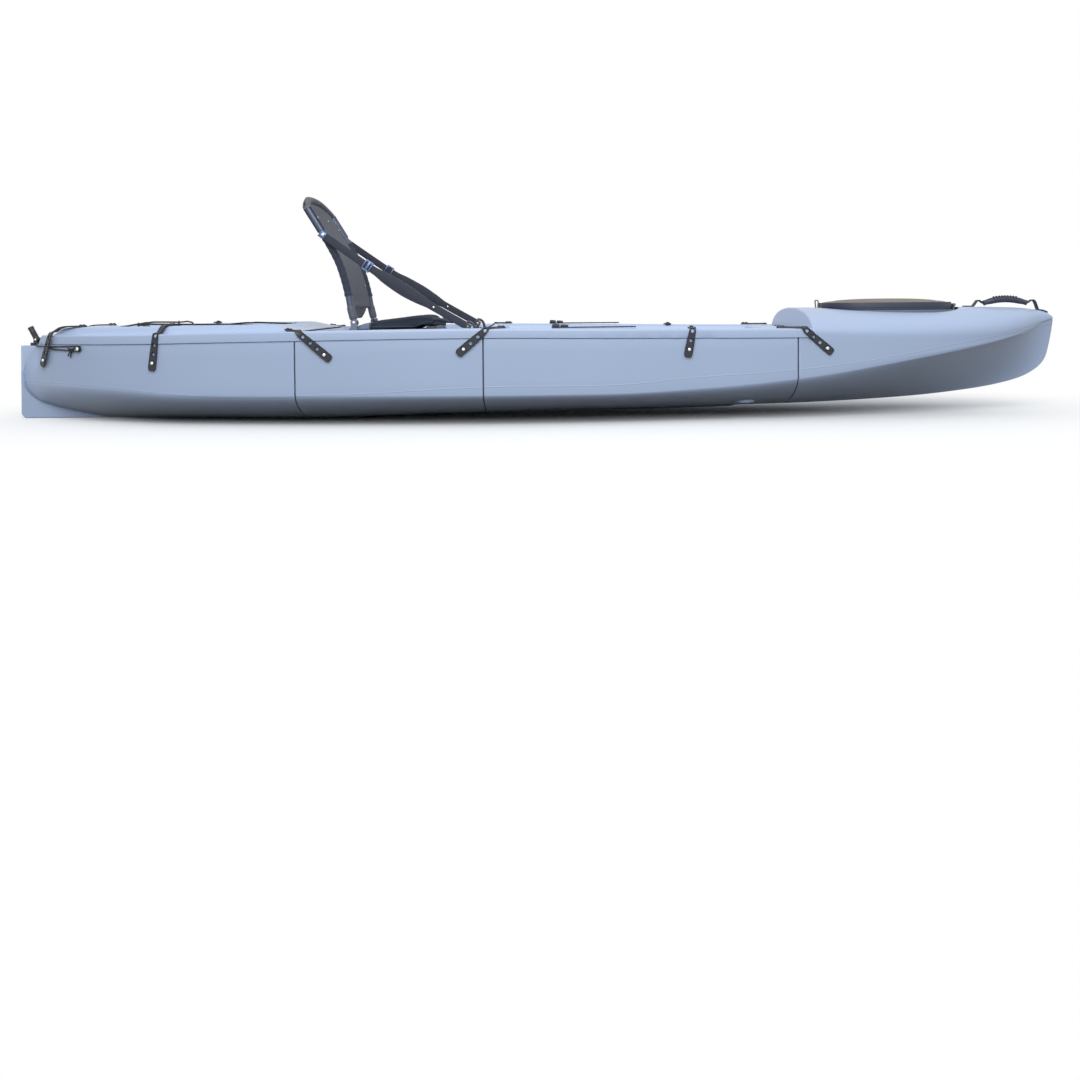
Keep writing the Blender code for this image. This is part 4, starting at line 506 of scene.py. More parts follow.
def stern_tub():
    """The stern tub with its skeg, solid as far as the aft wall of its hold."""
    hold = STERN + 0.13
    start, end = BREADTH[0][0] * LENGTH, SEAM_AFT - SEAM_WIDTH / 2
    xs = [STERN + back for back in (0.0002, 0.0008, 0.002, 0.004, 0.0065, 0.0078)]
    xs += even(start, STERN + 0.16, 0.004) + even(STERN + 0.168, end - 0.006, 0.012)
    places = [(x, 0.0) for x in xs] + soft_end(end, -1)[::-1]
    rows = []
    for x, depth in places:
        body = max(x, start)
        half = outside(body, depth)
        top = rim(body) - stern_drop(body)
        if body < STERN_ROUND[-1][0] * LENGTH:
            swell = max(0.0, stern_round(body) / half_breadth(body) - 1)
            half = [(y * (1 + swell * (1 - smooth(0.15, 0.24, z))), z) for y, z in half]
        half = [(y, min(z, top)) for y, z in half]
        if x < start:
            half = [(min(y, SKEG_HALF), z) for y, z in half]
        if x < SKEG_FRONT + 0.02:
            half = with_skeg(x, half)
        else:
            half = [(SKEG_HALF * i / 9, half[0][1]) for i in range(10)] + half[7:]
        rows.append((x, half, top))
    outer = []
    for x, half, top in rows:
        plate = min(SKEG_TOP, top + 0.2)
        if x < STERN + 0.073:
            soft = 0.003 if x > STERN + 0.003 else 0.001 + (x - STERN) * 0.6
            y_end = half[-1][0]
            half = half[:-1] + [(max(y_end, SKEG_HALF), top), (SKEG_HALF, min(top + 0.003, plate - 0.004))]
            half += [(SKEG_HALF, plate - soft), (SKEG_HALF - soft * 0.3, plate - soft * 0.3)]
            half.append((SKEG_HALF - soft, plate))
        else:
            half = half + [half[-1]] * 4
        outer.append(open_row(x, half))
    first = min(i for i, (x, _, _) in enumerate(rows) if x > hold)
    inner = cavity_rows([x for x, _, _ in rows[first:-4]] + [end - HULL_WALL - 0.002])
    return open_tub("tub_stern", outer, inner, first)


HATCH_CENTRE = BOW - 0.6025
HATCH_LENGTH, HATCH_WIDTH = 0.2275, 0.15
HATCH_SEAT = rim(HATCH_CENTRE) + 0.075
HATCH_POCKET = 0.021
HATCH_MOUTH = 0.034


def oval(half_length, half_width, count=96, power=2.6):
    """A rounded rectangle between an ellipse and a box, as (u, v)."""
    points = []
    for i in range(count):
        a = 2 * pi * (i + 0.5) / count
        u = half_length * abs(cos(a)) ** (2 / power) * (1 if cos(a) > 0 else -1)
        v = half_width * abs(sin(a)) ** (2 / power) * (1 if sin(a) > 0 else -1)
        points.append((u, v))
    return points


def arch(side, low, crown, count=26):
    """The foredeck's half section from its side up to the centreline."""
    points = []
    for i in range(1, count + 1):
        a = pi / 2 * i / count
        y = side * max(cos(a), 0.0) ** (2 / DECK_FULLNESS) if i < count else 0.0
        points.append((y, low + (crown - low) * sin(a) ** (2 / DECK_FULLNESS)))
    return points


def bow_loop(x, wall=0.0, crown=None, top=None):
    """A closed loop of the bow's outside, or of its hold one wall in; a low top flattens it."""
    side = half_breadth(x) - wall
    half = bottom_half(x, wall, HULL_FLOOR if wall else 0.0, bulge=False)
    low = rim(x) + (0 if wall else deck_side(x))
    crown = crown or rim(x) + deck_crown(x)
    low = min(low, crown - 0.002)
    half = up_side(half, side, low, (0.2, 0.4, 0.6, 0.8, 1.0)) + arch(side, low, crown)
    if top is not None:
        half = [(y, min(z, top)) for y, z in half]
    return both_sides(half)


def ring_at(x, loop):
    return [(x, y, z) for y, z in loop]


def bow_tub():
    start, tip = SEAM_FORWARD + SEAM_WIDTH / 2, BREADTH[-1][0] * LENGTH
    step, face = min(rim(start), rim(LID_END)) - GAP, LID_END + GAP
    rings = []
    for x, depth in soft_end(start, 1):
        rings.append(ring_at(x, shrunk(bow_loop(x, top=step), depth)))
    rings += [ring_at(x, bow_loop(x, top=step)) for x in even(start + 0.008, face - 0.0001, 0.01)]
    for back, depth in ((0.0, 0.005), (0.0014, 0.0015), (0.005, 0.0)):
        whole = bow_loop(face + back)
        soft = shrunk(whole, depth)
        mixed = [b if b[1] > step + 0.006 else a for a, b in zip(whole, soft)]
        rings.append(ring_at(face + back, mixed))
    xs = even(face + 0.012, BOW - 0.12, 0.012) + even(BOW - 0.112, tip - 0.006, 0.004)
    rings += [ring_at(x, bow_loop(x)) for x in xs]
    for back, depth in ((0.002, 0.001), (0.0, 0.004)):
        rings.append(ring_at(tip - back, shrunk(bow_loop(tip - back), depth)))
    work = bmesh.new()
    skin(work, rings)
    bmesh.ops.remove_doubles(work, verts=work.verts, dist=1e-6)
    bmesh.ops.recalc_face_normals(work, faces=work.faces)
    inside = bmesh.new()
    wall = LID_END + HULL_WALL
    hold = []
    for x in [start + HULL_WALL] + even(start + 0.015, wall - 0.002, 0.012):
        hold.append(ring_at(x, bow_loop(x, HULL_WALL, rim(x) - HULL_FLOOR)))
    for x in even(wall + 0.006, BOW - 0.15, 0.02):
        hold.append(ring_at(x, bow_loop(x, HULL_WALL, min(HATCH_SEAT - HULL_WALL, rim(x) + 0.07))))
    skin(inside, hold)
    bmesh.ops.recalc_face_normals(inside, faces=inside.faces)
    bmesh.ops.reverse_faces(inside, faces=inside.faces)
    spare = bpy.data.meshes.new("hold")
    inside.to_mesh(spare)
    work.from_mesh(spare)
    tub = new_object("tub_bow", work, turn=False)
    cutter = []
    mouth, land = -HATCH_MOUTH, HATCH_POCKET
    levels = ((-0.06, mouth), (-0.004, mouth), (-0.001, mouth + 0.001), (0.0, mouth + 0.004), (0.0, land - 0.005))
    levels += ((0.0015, land - 0.0015), (0.005, land), (0.2, land + 0.03))
    for rise, out in levels:
        points = oval(HATCH_LENGTH + out, HATCH_WIDTH + out)
        cutter.append([(HATCH_CENTRE + u, v, HATCH_SEAT + rise) for u, v in points])
    boolean(tub, lofted("hatch_cutter", cutter), "DIFFERENCE")
    return tub


SCUPPER_X, SCUPPER_Y = SEAM_FORWARD - 0.158, 0.206
SCUPPER_RADIUS, SCUPPER_WALL = 0.0235, 0.008
WELL_FLOOR = 0.115
DECK_WALL = 0.004
RECESS_FRONT, RECESS_LENGTH, RECESS_HALF_WIDTH = SEAM_FORWARD - 0.244, 0.382, 0.0695
TEARDROP = ((-0.03, 0.034, 0.048), (0.0015, 0.031, 0.036), (0.005, 0.0285, 0.012), (0.0062, 0.0262, 0.002))


def scupper_bar(work, side, low, high, foot, top):
    """An upright bar where a scupper is, between two heights, with its radius at each."""
    bmesh.ops.create_cone(
        work, cap_ends=True, segments=48, radius1=foot, radius2=top, depth=high - low,
        matrix=Matrix.Translation((SCUPPER_X, side * SCUPPER_Y, (low + high) / 2)),
    )


def forward_tub():
    """The tub under the cockpit, with its keel recess and its two drain tubes."""
    tub = plain_tub("tub_mid_forward", SEAM_MID, SEAM_FORWARD, 0.012)
    tubes, cuts = bmesh.new(), bmesh.new()
    top = WELL_FLOOR - DECK_WALL - GAP
    for side in (-1, 1):
        foot = min(z for y, z in bottom_half(SCUPPER_X) if abs(y - SCUPPER_Y) < 0.02)
        outer = SCUPPER_RADIUS + SCUPPER_WALL
        scupper_bar(tubes, side, foot + 0.004, top, outer + 0.003, outer)
        rings = []
        drop = [(foot + rise, wide, tail) for rise, wide, tail in TEARDROP]
        for z, wide, tail in drop + [(foot + 0.009, SCUPPER_RADIUS, 0.0), (top + 0.02, SCUPPER_RADIUS, 0.0)]:
            ring = []
            for i in range(48):
                a = 2 * pi * i / 48
                u, v = wide * cos(a), wide * sin(a)
                if u < 0:
                    stretch = (-u / wide) ** 2
                    u -= tail * stretch
                    v *= 1 - 0.55 * stretch * tail / 0.048
                ring.append((SCUPPER_X + u, side * SCUPPER_Y + v, z))
            rings.append(ring)
        skin(cuts, rings)
    middle = RECESS_FRONT - RECESS_LENGTH / 2
    base = keel(middle)
    rings = []
    groove = ((-0.006, 0.002), (-0.0045, 0.0), (-0.0015, -0.0012), (-0.0005, -0.003), (-0.0005, -0.0105))
    groove += ((-0.0012, -0.0125), (-0.0012, -0.016))
    for z, out in [(-0.03, 0.0)] + [(base + rise, out) for rise, out in groove]:
        shape = oval(RECESS_LENGTH / 2 + out, RECESS_HALF_WIDTH + out, 96, 4.5)
        rings.append([(middle + u, v, z) for u, v in shape])
    skin(cuts, rings)
    boolean(tub, new_object("tubes", tubes), "UNION")
    boolean(tub, new_object("cuts", cuts), "DIFFERENCE")
    return tub


def skin_group(recipe, **values):
    """A shader node group of one surface effect; its recipe gives Tone, Rough and Height over the surface."""
    tree = bpy.data.node_groups.new(recipe.__name__, "ShaderNodeTree")
    for label, value in values.items():
        tree.interface.new_socket(label, in_out="INPUT", socket_type="NodeSocketFloat").default_value = value
    for label in ("Tone", "Rough", "Height"):
        tree.interface.new_socket(label, in_out="OUTPUT", socket_type="NodeSocketFloat")
    add, link = new_nodes(tree)

    def feed(value, socket):
        if isinstance(value, (int, float)):
            socket.default_value = value
        else:
            link(value, socket)

    def math(operation, *terms):
        node = add("ShaderNodeMath", operation=operation)
        for socket, value in zip(node.inputs, terms):
            feed(value, socket)
        return node.outputs[0]

    def texture(kind, scale, stretch=None, **settings):
        """A texture over the object's own space; scale is a number or a socket."""
        place = add("ShaderNodeTexCoord").outputs["Object"]
        if stretch:
            turn = add("ShaderNodeMapping", Scale=stretch)
            link(place, turn.inputs[0])
            place = turn.outputs[0]
        node = add(kind, **settings)
        link(place, node.inputs["Vector"])
        feed(scale, node.inputs["Scale"])
        return node.outputs

    def noise(scale, detail=2.0, stretch=None):
        return texture("ShaderNodeTexNoise", scale, stretch, Detail=detail)["Fac"]

    def axes(space, names):
        """The object's or the UV map's coordinates along some axes."""
        parts = add("ShaderNodeSeparateXYZ")
        link(add("ShaderNodeTexCoord").outputs[space], parts.inputs[0])
        return [parts.outputs[name] for name in names]

    kit = SimpleNamespace(math=math, texture=texture, noise=noise, axes=axes)
    results = recipe(kit, add("NodeGroupInput").outputs)
    ends = add("NodeGroupOutput").inputs
    for label, socket in zip(("Tone", "Rough", "Height"), results):
        link(socket, ends[label])
    return tree


def moulded_skin(kit, values):
    """The fine orange peel of moulded plastic, with slow mottling and long handling scuffs."""
    math, noise = kit.math, kit.noise
    slow, fine = noise(2.2, 3.0), noise(values["Grain"], 3.0)
    scratch = math("GREATER_THAN", noise(9.0, 6.0, (0.35, 6.0, 9.0)), 0.67)
    soft = math("MULTIPLY", scratch, values["Scuffs"])
    tone = math("ADD", math("MULTIPLY", slow, 0.8), math("MULTIPLY", fine, 0.2))
    rough = math("ADD", math("MULTIPLY", fine, 0.6), soft)
    return tone, rough, math("SUBTRACT", fine, math("MULTIPLY", soft, 0.3))


def rubber_skin(kit, values):
    """Smooth moulded rubber: a very fine grain, dust in patches and rubbed high spots."""
    math, noise = kit.math, kit.noise
    dust = math("MULTIPLY", noise(38.0, 5.0), values["Dust"])
    fine = noise(values["Grain"], 2.0)
    tone = math("ADD", dust, math("MULTIPLY", fine, 0.3))
    return tone, math("ADD", math("MULTIPLY", dust, 1.4), 0.1), fine


def material(name, colour, roughness, effect, vary=0.12, rough=0.08, bump=0.15, depth=0.0004, line=None, **fixed):
    """A finish: one effect group's tone, roughness and height round a plain colour and roughness."""
    made = bpy.data.materials.new(name)
    made.use_nodes = True
    add, link = new_nodes(made.node_tree)
    shade = made.node_tree.nodes["Principled BSDF"]
    grown = add("ShaderNodeGroup", node_tree=effect)
    for label, value in fixed.items():
        label = label.replace("_", " ")
        (grown if label in grown.inputs else shade).inputs[label].default_value = value
    mix = add("ShaderNodeMix", data_type="RGBA")
    mix.inputs[6].default_value = [c * (1 - vary) for c in colour] + [1]
    mix.inputs[7].default_value = [min(1.0, c * (1 + vary)) for c in colour] + [1]
    link(grown.outputs["Tone"], mix.inputs[0])
    link(mix.outputs[2], shade.inputs["Base Color"])
    spread = add("ShaderNodeMapRange", To_Min=max(0.03, roughness - rough), To_Max=min(1.0, roughness + rough))
    link(grown.outputs["Rough"], spread.inputs[0])
    link(spread.outputs[0], shade.inputs["Roughness"])
    relief = add("ShaderNodeBump", Strength=bump, Distance=depth)
    link(grown.outputs["Height"], relief.inputs["Height"])
    if line:
        link(line(add, link), relief.inputs["Normal"])
    link(relief.outputs[0], shade.inputs["Normal"])
    return made


PARTING = (
    (-1.83, 0.132), (-1.50, 0.127), (-1.03, 0.097), (-0.60, 0.106), (-0.16, 0.126), (0.28, 0.128), (0.47, 0.144),
    (0.79, 0.162), (1.01, 0.182), (1.20, 0.209), (1.40, 0.243), (1.62, 0.276), (1.83, 0.304),
)


def parting_line(add, link):
    """The mould's faint raised parting line along the side."""
    parts = add("ShaderNodeSeparateXYZ")
    link(add("ShaderNodeTexCoord").outputs["Object"], parts.inputs[0])
    share = add("ShaderNodeMapRange", From_Min=STERN, From_Max=BOW)
    link(parts.outputs["X"], share.inputs[0])
    course = add("ShaderNodeFloatCurve")
    curve = course.mapping.curves[0]
    points = [((x - STERN) / LENGTH, z) for x, z in PARTING]
    curve.points[0].location, curve.points[1].location = points[0], points[-1]
    for point in points[1:-1]:
        curve.points.new(*point)
    course.mapping.update()
    link(share.outputs[0], course.inputs["Value"])
    off = add("ShaderNodeMath", operation="SUBTRACT")
    link(parts.outputs["Z"], off.inputs[0])
    link(course.outputs[0], off.inputs[1])
    far = add("ShaderNodeMath", operation="ABSOLUTE")
    link(off.outputs[0], far.inputs[0])
    ridge = add("ShaderNodeMapRange", interpolation_type="SMOOTHSTEP", From_Max=0.0022, To_Min=1.0, To_Max=0.0)
    link(far.outputs[0], ridge.inputs[0])
    relief = add("ShaderNodeBump", Strength=0.7, Distance=0.0007)
    link(ridge.outputs[0], relief.inputs["Height"])
    return relief.outputs[0]


moulded = skin_group(moulded_skin, Grain=420.0, Scuffs=0.3)
rubber = skin_group(rubber_skin, Grain=900.0, Dust=0.4)
HULL_BLUE = (0.38, 0.47, 0.65)
hull_skin = material(
    "hull_polyethylene", HULL_BLUE, 0.42, moulded, vary=0.05, bump=0.10, depth=0.0005, line=parting_line
)
hulls = {
    "stern": stern_tub(),
    "mid_aft": plain_tub("tub_mid_aft", SEAM_AFT, SEAM_MID),
    "mid_forward": forward_tub(),
    "bow": bow_tub(),
}
for label, tub in hulls.items():
    fitted(tub, hull_skin, "hull", "hull_" + label)

# Deck lids
# Three moulded lids close the tubs. Each has a lip that laps the tub's rim, broad gunwales, and a tray or a
# well between them; the cockpit lid's footwell has foot steps, floor ribs and the drains' upper ends.
LIP_HEIGHT, LIP_PROUD, LIP_LEDGE = 0.031, 0.004, 0.0075
GUNWALE, LID_CLEAR = 0.047, 0.0025
STERN_LID_START, STERN_LID_END = STERN + 0.073, SEAM_AFT + 0.018
TRAY_START, TRAY_END, TRAY_DEPTH = STERN + 0.33, SEAM_AFT - 0.08, 0.020
PLATEAU_RISE = 0.027
SEAT_FLOOR = RIM_HEIGHT + 0.0075
WELL_START, WELL_END = SEAM_MID + 0.125, SEAM_FORWARD - 0.128


def lip_top(x):
    return rim(x) + LIP_HEIGHT


def divided(points, first, last, count):
    """A polyline with one of its straight stretches cut into equal pieces."""
    a, b = points[first], points[last]
    extra = [(a[0] + (b[0] - a[0]) * i / count, a[1] + (b[1] - a[1]) * i / count) for i in range(1, count)]
    return points[: first + 1] + extra + points[last:]


def lid_loop(x, corners, relief=None):
    """A lid's closed loop at x: its top from the lip inwards and its underside one wall below."""
    side = half_breadth(x)
    shrink = min(1.0, side / 0.16)
    foot = rim(x) + GAP
    ledge = side - (HULL_WALL + LIP_LEDGE) * shrink
    edge = side + LIP_PROUD * shrink
    top = rounded([(edge - 0.0015, foot, 0), (edge, foot, 0.0012)] + corners, 4)
    top = divided(top, len(top) - 7, len(top) - 6, 12)
    top = divided(top, len(top) - 2, len(top) - 1, 44)
    if relief:
        top = [relief(x, y, z) for y, z in top]
    under = offset(top[10:], DECK_WALL)
    under = [(min(y, ledge), z if y < ledge - 0.004 else max(z, foot + 0.001)) for y, z in under]
    under[-1] = (0.0, under[-1][1])
    half = [(0.0, under[-1][1])] + list(reversed(under[:-1])) + [(ledge, foot)] + top
    half[-1] = (0.0, half[-1][1])
    return both_sides(half)


def lid(name, xs, corners_at, relief=None):
    rings = []
    for x in xs:
        depth = 0.0
        for end in (xs[0], xs[-1]):
            back = abs(x - end)
            if back < 0.0016:
                depth = 0.0015 - (0.0015**2 - (0.0015 - min(back, 0.0015)) ** 2) ** 0.5
        rings.append(ring_at(x, shrunk(lid_loop(x, corners_at(x), relief), depth)))
    return lofted(name, rings, 40)


def lid_places(start, end, step, busy=()):
    """Stations along a lid, closer at its ends and in the busy stretches."""
    xs = {start, start + 0.0005, start + 0.0016, end - 0.0016, end - 0.0005, end}
    xs |= set(even(start + 0.006, end - 0.006, step))
    for a, b, fine in busy:
        xs |= set(even(a, b, fine))
    kept = []
    for x in sorted(xs):
        if not kept or x - kept[-1] > 0.0004:
            kept.append(x)
    return kept


def stern_corners():
    start, end = STERN_LID_START, STERN_LID_END
    top = LIP_HEIGHT + PLATEAU_RISE
    step = curve_through(((start, 0.006), (start + 0.024, LIP_HEIGHT), (end - 0.03, LIP_HEIGHT), (end, LIP_HEIGHT)))
    plateau = curve_through((
        (start, 0.007), (start + 0.024, LIP_HEIGHT + 0.001), (start + 0.062, LIP_HEIGHT + 0.002),
        (start + 0.118, top - 0.002), (start + 0.16, top), (SEAM_AFT - 0.10, top - 0.004),
        (SEAM_AFT - 0.012, LIP_HEIGHT + 0.006), (end, LIP_HEIGHT + 0.003),
    ))
    dip = curve_through((
        (start, 0.0), (TRAY_START, 0.0), (TRAY_START + 0.03, TRAY_DEPTH), (TRAY_END - 0.03, TRAY_DEPTH),
        (TRAY_END, 0.0), (end, 0.0),
    ))

    def corners(x):
        side = half_breadth(x)
        s = min(1.0, side / 0.16)
        low, high = rim(x) + step(x), rim(x) + plateau(x)
        return [
            (side + LIP_PROUD * s, low, 0.005), (side - 0.026 * s, low, 0.008), (side - 0.038 * s, high, 0.010),
            (side - 0.078 * s, high, 0.007), (side - 0.094 * s, high - dip(x), 0.007), (0.0, high - dip(x), 0),
        ]

    return corners


def gunwale_corners(floor_at, slope, turn):
    """Corners of a lid with flat gunwales round a well whose floor's height is given along x."""

    def corners(x):
        side, top, floor = half_breadth(x), lip_top(x), floor_at(x)
        lean = slope * min(1.0, (top - floor) / 0.02) if slope < 0.03 else slope * (top - floor) / 0.18
        inner = side - GUNWALE
        foot = inner - 0.004 - lean
        return [
            (side + LIP_PROUD, top, 0.008), (inner, top, 0.010), (foot, floor, turn), (0.0, floor, 0),
        ]

    return corners


def seat_floor_at(x):
    start, end, ramp, edge = STERN_LID_END + 2 * GAP, SEAM_MID - LID_CLEAR, 0.03, 0.003
    rise = 1 - smooth(start, start + ramp, x) * (1 - smooth(end - ramp, end, x))
    return SEAT_FLOOR + (lip_top(x) - edge - SEAT_FLOOR) * rise


WELL_DEPTH = lip_top(0.3) - WELL_FLOOR
well_dip = curve_through((
    (SEAM_MID + LID_CLEAR, 0.004), (SEAM_MID + 0.0475, 0.004), (WELL_START, WELL_DEPTH), (WELL_END, WELL_DEPTH),
    (SEAM_FORWARD - 0.05, 0.004), (LID_END, 0.004),
))


def well_floor_at(x):
    dip = well_dip(x)
    return WELL_FLOOR if dip > WELL_DEPTH - 1e-6 else lip_top(x) - dip


def well_relief(x, y, z):
    """Foot steps down the well's sides and ribs along its floor."""
    wall = smooth(0.15, 0.19, z) * (1 - smooth(0.25, 0.28, z))
    steps = 0.5 - 0.5 * cos(2 * pi * (x - 0.16) / 0.07) if 0.16 < x < 0.58 else 0.0
    y -= 0.011 * wall * steps**0.6 * (1 if y > 0.1 else 0)
    if z < WELL_FLOOR + 0.0005 and -0.02 < x < 0.60 and y < 0.17:
        rib = max(0.0, cos(2 * pi * y / 0.048))
        z += 0.0035 * rib**0.7 * smooth(0.0, 0.05, x) * (1 - smooth(0.52, 0.57, x)) * (1 - smooth(0.155, 0.17, y))
    return y, z


def tray_relief(x, y, z):
    """Low ribs along the gear tray's floor."""
    if y < 0.5 * half_breadth(x) and TRAY_START + 0.03 < x < TRAY_END - 0.03:
        ends = smooth(TRAY_START + 0.04, TRAY_START + 0.08, x) * (1 - smooth(TRAY_END - 0.08, TRAY_END - 0.04, x))
        z += 0.003 * max(0.0, cos(2 * pi * y / 0.06)) ** 0.7 * ends * (1 - smooth(0.12, 0.14, y))
    return y, z


lids = {
    "stern": lid("lid_stern", lid_places(STERN_LID_START, STERN_LID_END, 0.012, (
        (STERN_LID_START, TRAY_START + 0.04, 0.005), (TRAY_END - 0.04, STERN_LID_END, 0.005))),
        stern_corners(), tray_relief),
    "seat": lid("lid_seat", lid_places(STERN_LID_END + 2 * GAP, SEAM_MID - LID_CLEAR, 0.014, (
        (STERN_LID_END, STERN_LID_END + 0.035, 0.004), (SEAM_MID - 0.035, SEAM_MID - 0.003, 0.004))),
        gunwale_corners(seat_floor_at, 0.02, 0.012)),
    "cockpit": lid("lid_cockpit", lid_places(SEAM_MID + LID_CLEAR, LID_END, 0.012, (
        (SEAM_MID + 0.04, 0.62, 0.005), (WELL_END - 0.01, SEAM_FORWARD - 0.04, 0.004))),
        gunwale_corners(well_floor_at, 0.05, 0.030), well_relief),
}
drains = bmesh.new()
for side in (-1, 1):
    scupper_bar(drains, side, WELL_FLOOR - 0.03, WELL_FLOOR + 0.03, SCUPPER_RADIUS, SCUPPER_RADIUS)
boolean(lids["cockpit"], new_object("drains", drains), "DIFFERENCE")
# The lids' blue is the hull's blue made 6% lighter: painted light, for the brighter light their upward faces catch.
lid_painted_light_skin = material("lid_polyethylene", [c * 1.06 for c in HULL_BLUE], 0.40, moulded, vary=0.05, bump=0.12)
for label, piece in lids.items():
    fitted(piece, lid_painted_light_skin, "hull", "deck_" + label)

# Gaskets
# A soft black gasket sits between each pair of tubs and shows as a thin dark line round every seam. It is
# glued to one tub and squeezed by the straps, so it keeps its solid and gets a dull, dusty rubber.
gasket_skin = material("gasket_rubber", (0.022, 0.022, 0.026), 0.75, rubber, vary=0.3, rough=0.12)
for place in ("aft", "mid", "forward"):
    fitted(frame["nodes"]["seam_gasket_" + place], gasket_skin)

# Latch straps
# Six moulded rubber straps a side pull the tubs together. Each is screwed to the deck at its root, bends over
# the lip and is stretched down over a bright stud; its holes and edges have raised rims, and the tip is wider.
STRAP_THICKNESS, STRAP_HOLE, STRAP_PITCH, STRAP_TIP = 0.005, 0.0062, 0.030, 0.026
STRAPS = (
    ("stern", STERN, 0.279, 0.060, 0.158, 0.112, 0.108, 4),
    ("aft_side", SEAM_AFT, -0.426, 0.080, -0.466, -0.4825, 0.119, 4),
    ("aft_joint", SEAM_AFT, -0.032, 0.020, 0.014, 0.119, 0.091, 4),
    ("mid_joint", SEAM_MID, 0.071, 0.018, 0.011, -0.081, 0.0815, 4),
    ("cockpit_side", SEAM_FORWARD, -0.349, 0.052, -0.351, -0.368, 0.092, 3),
    ("bow_joint", SEAM_FORWARD, -0.069, 0.018, 0.020, 0.115, 0.083, 4),
)
SIDES = (("starboard", -1), ("port", 1))
UP, PORT = Vector((0, 0, 1)), Vector((0, 1, 0))
joints = {joint["name"]: joint for joint in frame["joints"]}


def surface_of(*pieces):
    """A search tree of the pieces' faces."""
    points, faces = [], []
    for piece in pieces:
        first = len(points)
        points += [v.co.copy() for v in piece.data.vertices]
        faces += [[first + i for i in face.vertices] for face in piece.data.polygons]
    return BVHTree.FromPolygons(points, faces)


def height_on(surface, x, y):
    hit = surface.ray_cast(Vector((x, y, 1.5)), -UP)[0]
    return hit.z if hit else None


def slope_of(x):
    """How much the hull widens a side for each metre forward."""
    return (half_breadth(x + 0.01) - half_breadth(x - 0.01)) / 0.02


def run_at(points, i):
    """The way a path runs at one of its points."""
    return (points[min(i + 1, len(points) - 1)] - points[max(i - 1, 0)]).normalized()


def lengths_along(points):
    """How far along a path each of its points lies."""
    far = [0.0]
    for a, b in zip(points, points[1:]):
        far.append(far[-1] + (b - a).length)
    return far


def frames_along(points, normals):
    """(point, across, normal) along a path, with the normals made square to it and smoothed."""
    frames = []
    for i, point in enumerate(points):
        near = normals[max(0, i - 3) : i + 4]
        run, normal = run_at(points, i), sum(near, Vector()) / len(near)
        across = normal.cross(run).normalized()
        frames.append((point, across, run.cross(across).normalized()))
    return frames


def strap_path(place, root, inset, bend, tip, drop, side, hinge, deck):
    """The strap's underside: its points, their normals, the tail's length, and the ways down and out of it."""
    root_x, bend_x, tip_x = place + root, place + bend, place + tip
    start = Vector((root_x, side * (half_breadth(root_x) - inset), 0))
    edge = half_breadth(bend_x) + LIP_PROUD
    corner = Vector((bend_x, side * edge, lip_top(bend_x) - 0.003))
    end = Vector((tip_x, side * half_breadth(tip_x), lip_top(bend_x) - drop))
    down, length = (end - corner).normalized(), (end - corner).length
    out = Vector((1, side * slope_of((bend_x + tip_x) / 2), 0)).cross(down).normalized()
    out *= 1 if out.y * side > 0 else -1
    turn = Vector((bend_x - down.x * 0.004, side * (edge - 0.007), 0))
    along = (turn - start).normalized()
    across = Vector((-along.y, along.x, 0))
    flat = [start.lerp(turn, i / 24) for i in range(25)]
    low = []
    for point in flat:
        found = [height_on(deck, *(point + across * reach).xy) for reach in (-0.012, -0.006, 0.0, 0.006, 0.012)]
        low.append(max(z for z in found if z is not None))

    def near(values, i):
        return values[max(0, i - 2) : i + 3]

    high = [max(near(low, i)) for i in range(25)]
    soft = [sum(near(high, i)) / len(near(high, i)) for i in range(25)]
    arm = [Vector((p.x, p.y, z + 0.0005)) for p, z in zip(flat, soft)]
    foot = hinge + down * 0.009
    reach = (foot - arm[-1]).length * 1.25
    lead, fall = (along + Vector((0, side, 0)) * 0.9).normalized() * reach, down * reach
    arc = []
    for t in [i / 12 for i in range(1, 12)]:
        leaving = arm[-1] * (2 * t**3 - 3 * t**2 + 1) + lead * (t**3 - 2 * t**2 + t)
        arc.append(leaving + foot * (3 * t**2 - 2 * t**3) + fall * (t**3 - t**2))
    tail = [hinge + down * far for far in even(0.009, length, 0.003)]
    normals = [UP] * len(arm) + [UP.lerp(out, i / 12).normalized() for i in range(1, 12)] + [out] * len(tail)
    return arm + arc + tail, normals, length, down, out


def strap_half(v, total, tail):
    """Half the strap's width at a length along it: a round root, a narrow bend, a wide round tip."""
    wide = 0.0116 - 0.0012 * smooth(0.024, 0.034, v) + 0.0030 * smooth(total - tail - 0.01, total - 0.03, v)
    if v < 0.006:
        return wide * (1 - (1 - v / 0.006) ** 2 * 0.75) ** 0.5
    if v > total - 0.011:
        return wide * (1 - (1 - (total - v) / 0.011) ** 2.4 * 0.8) ** 0.5
    return wide


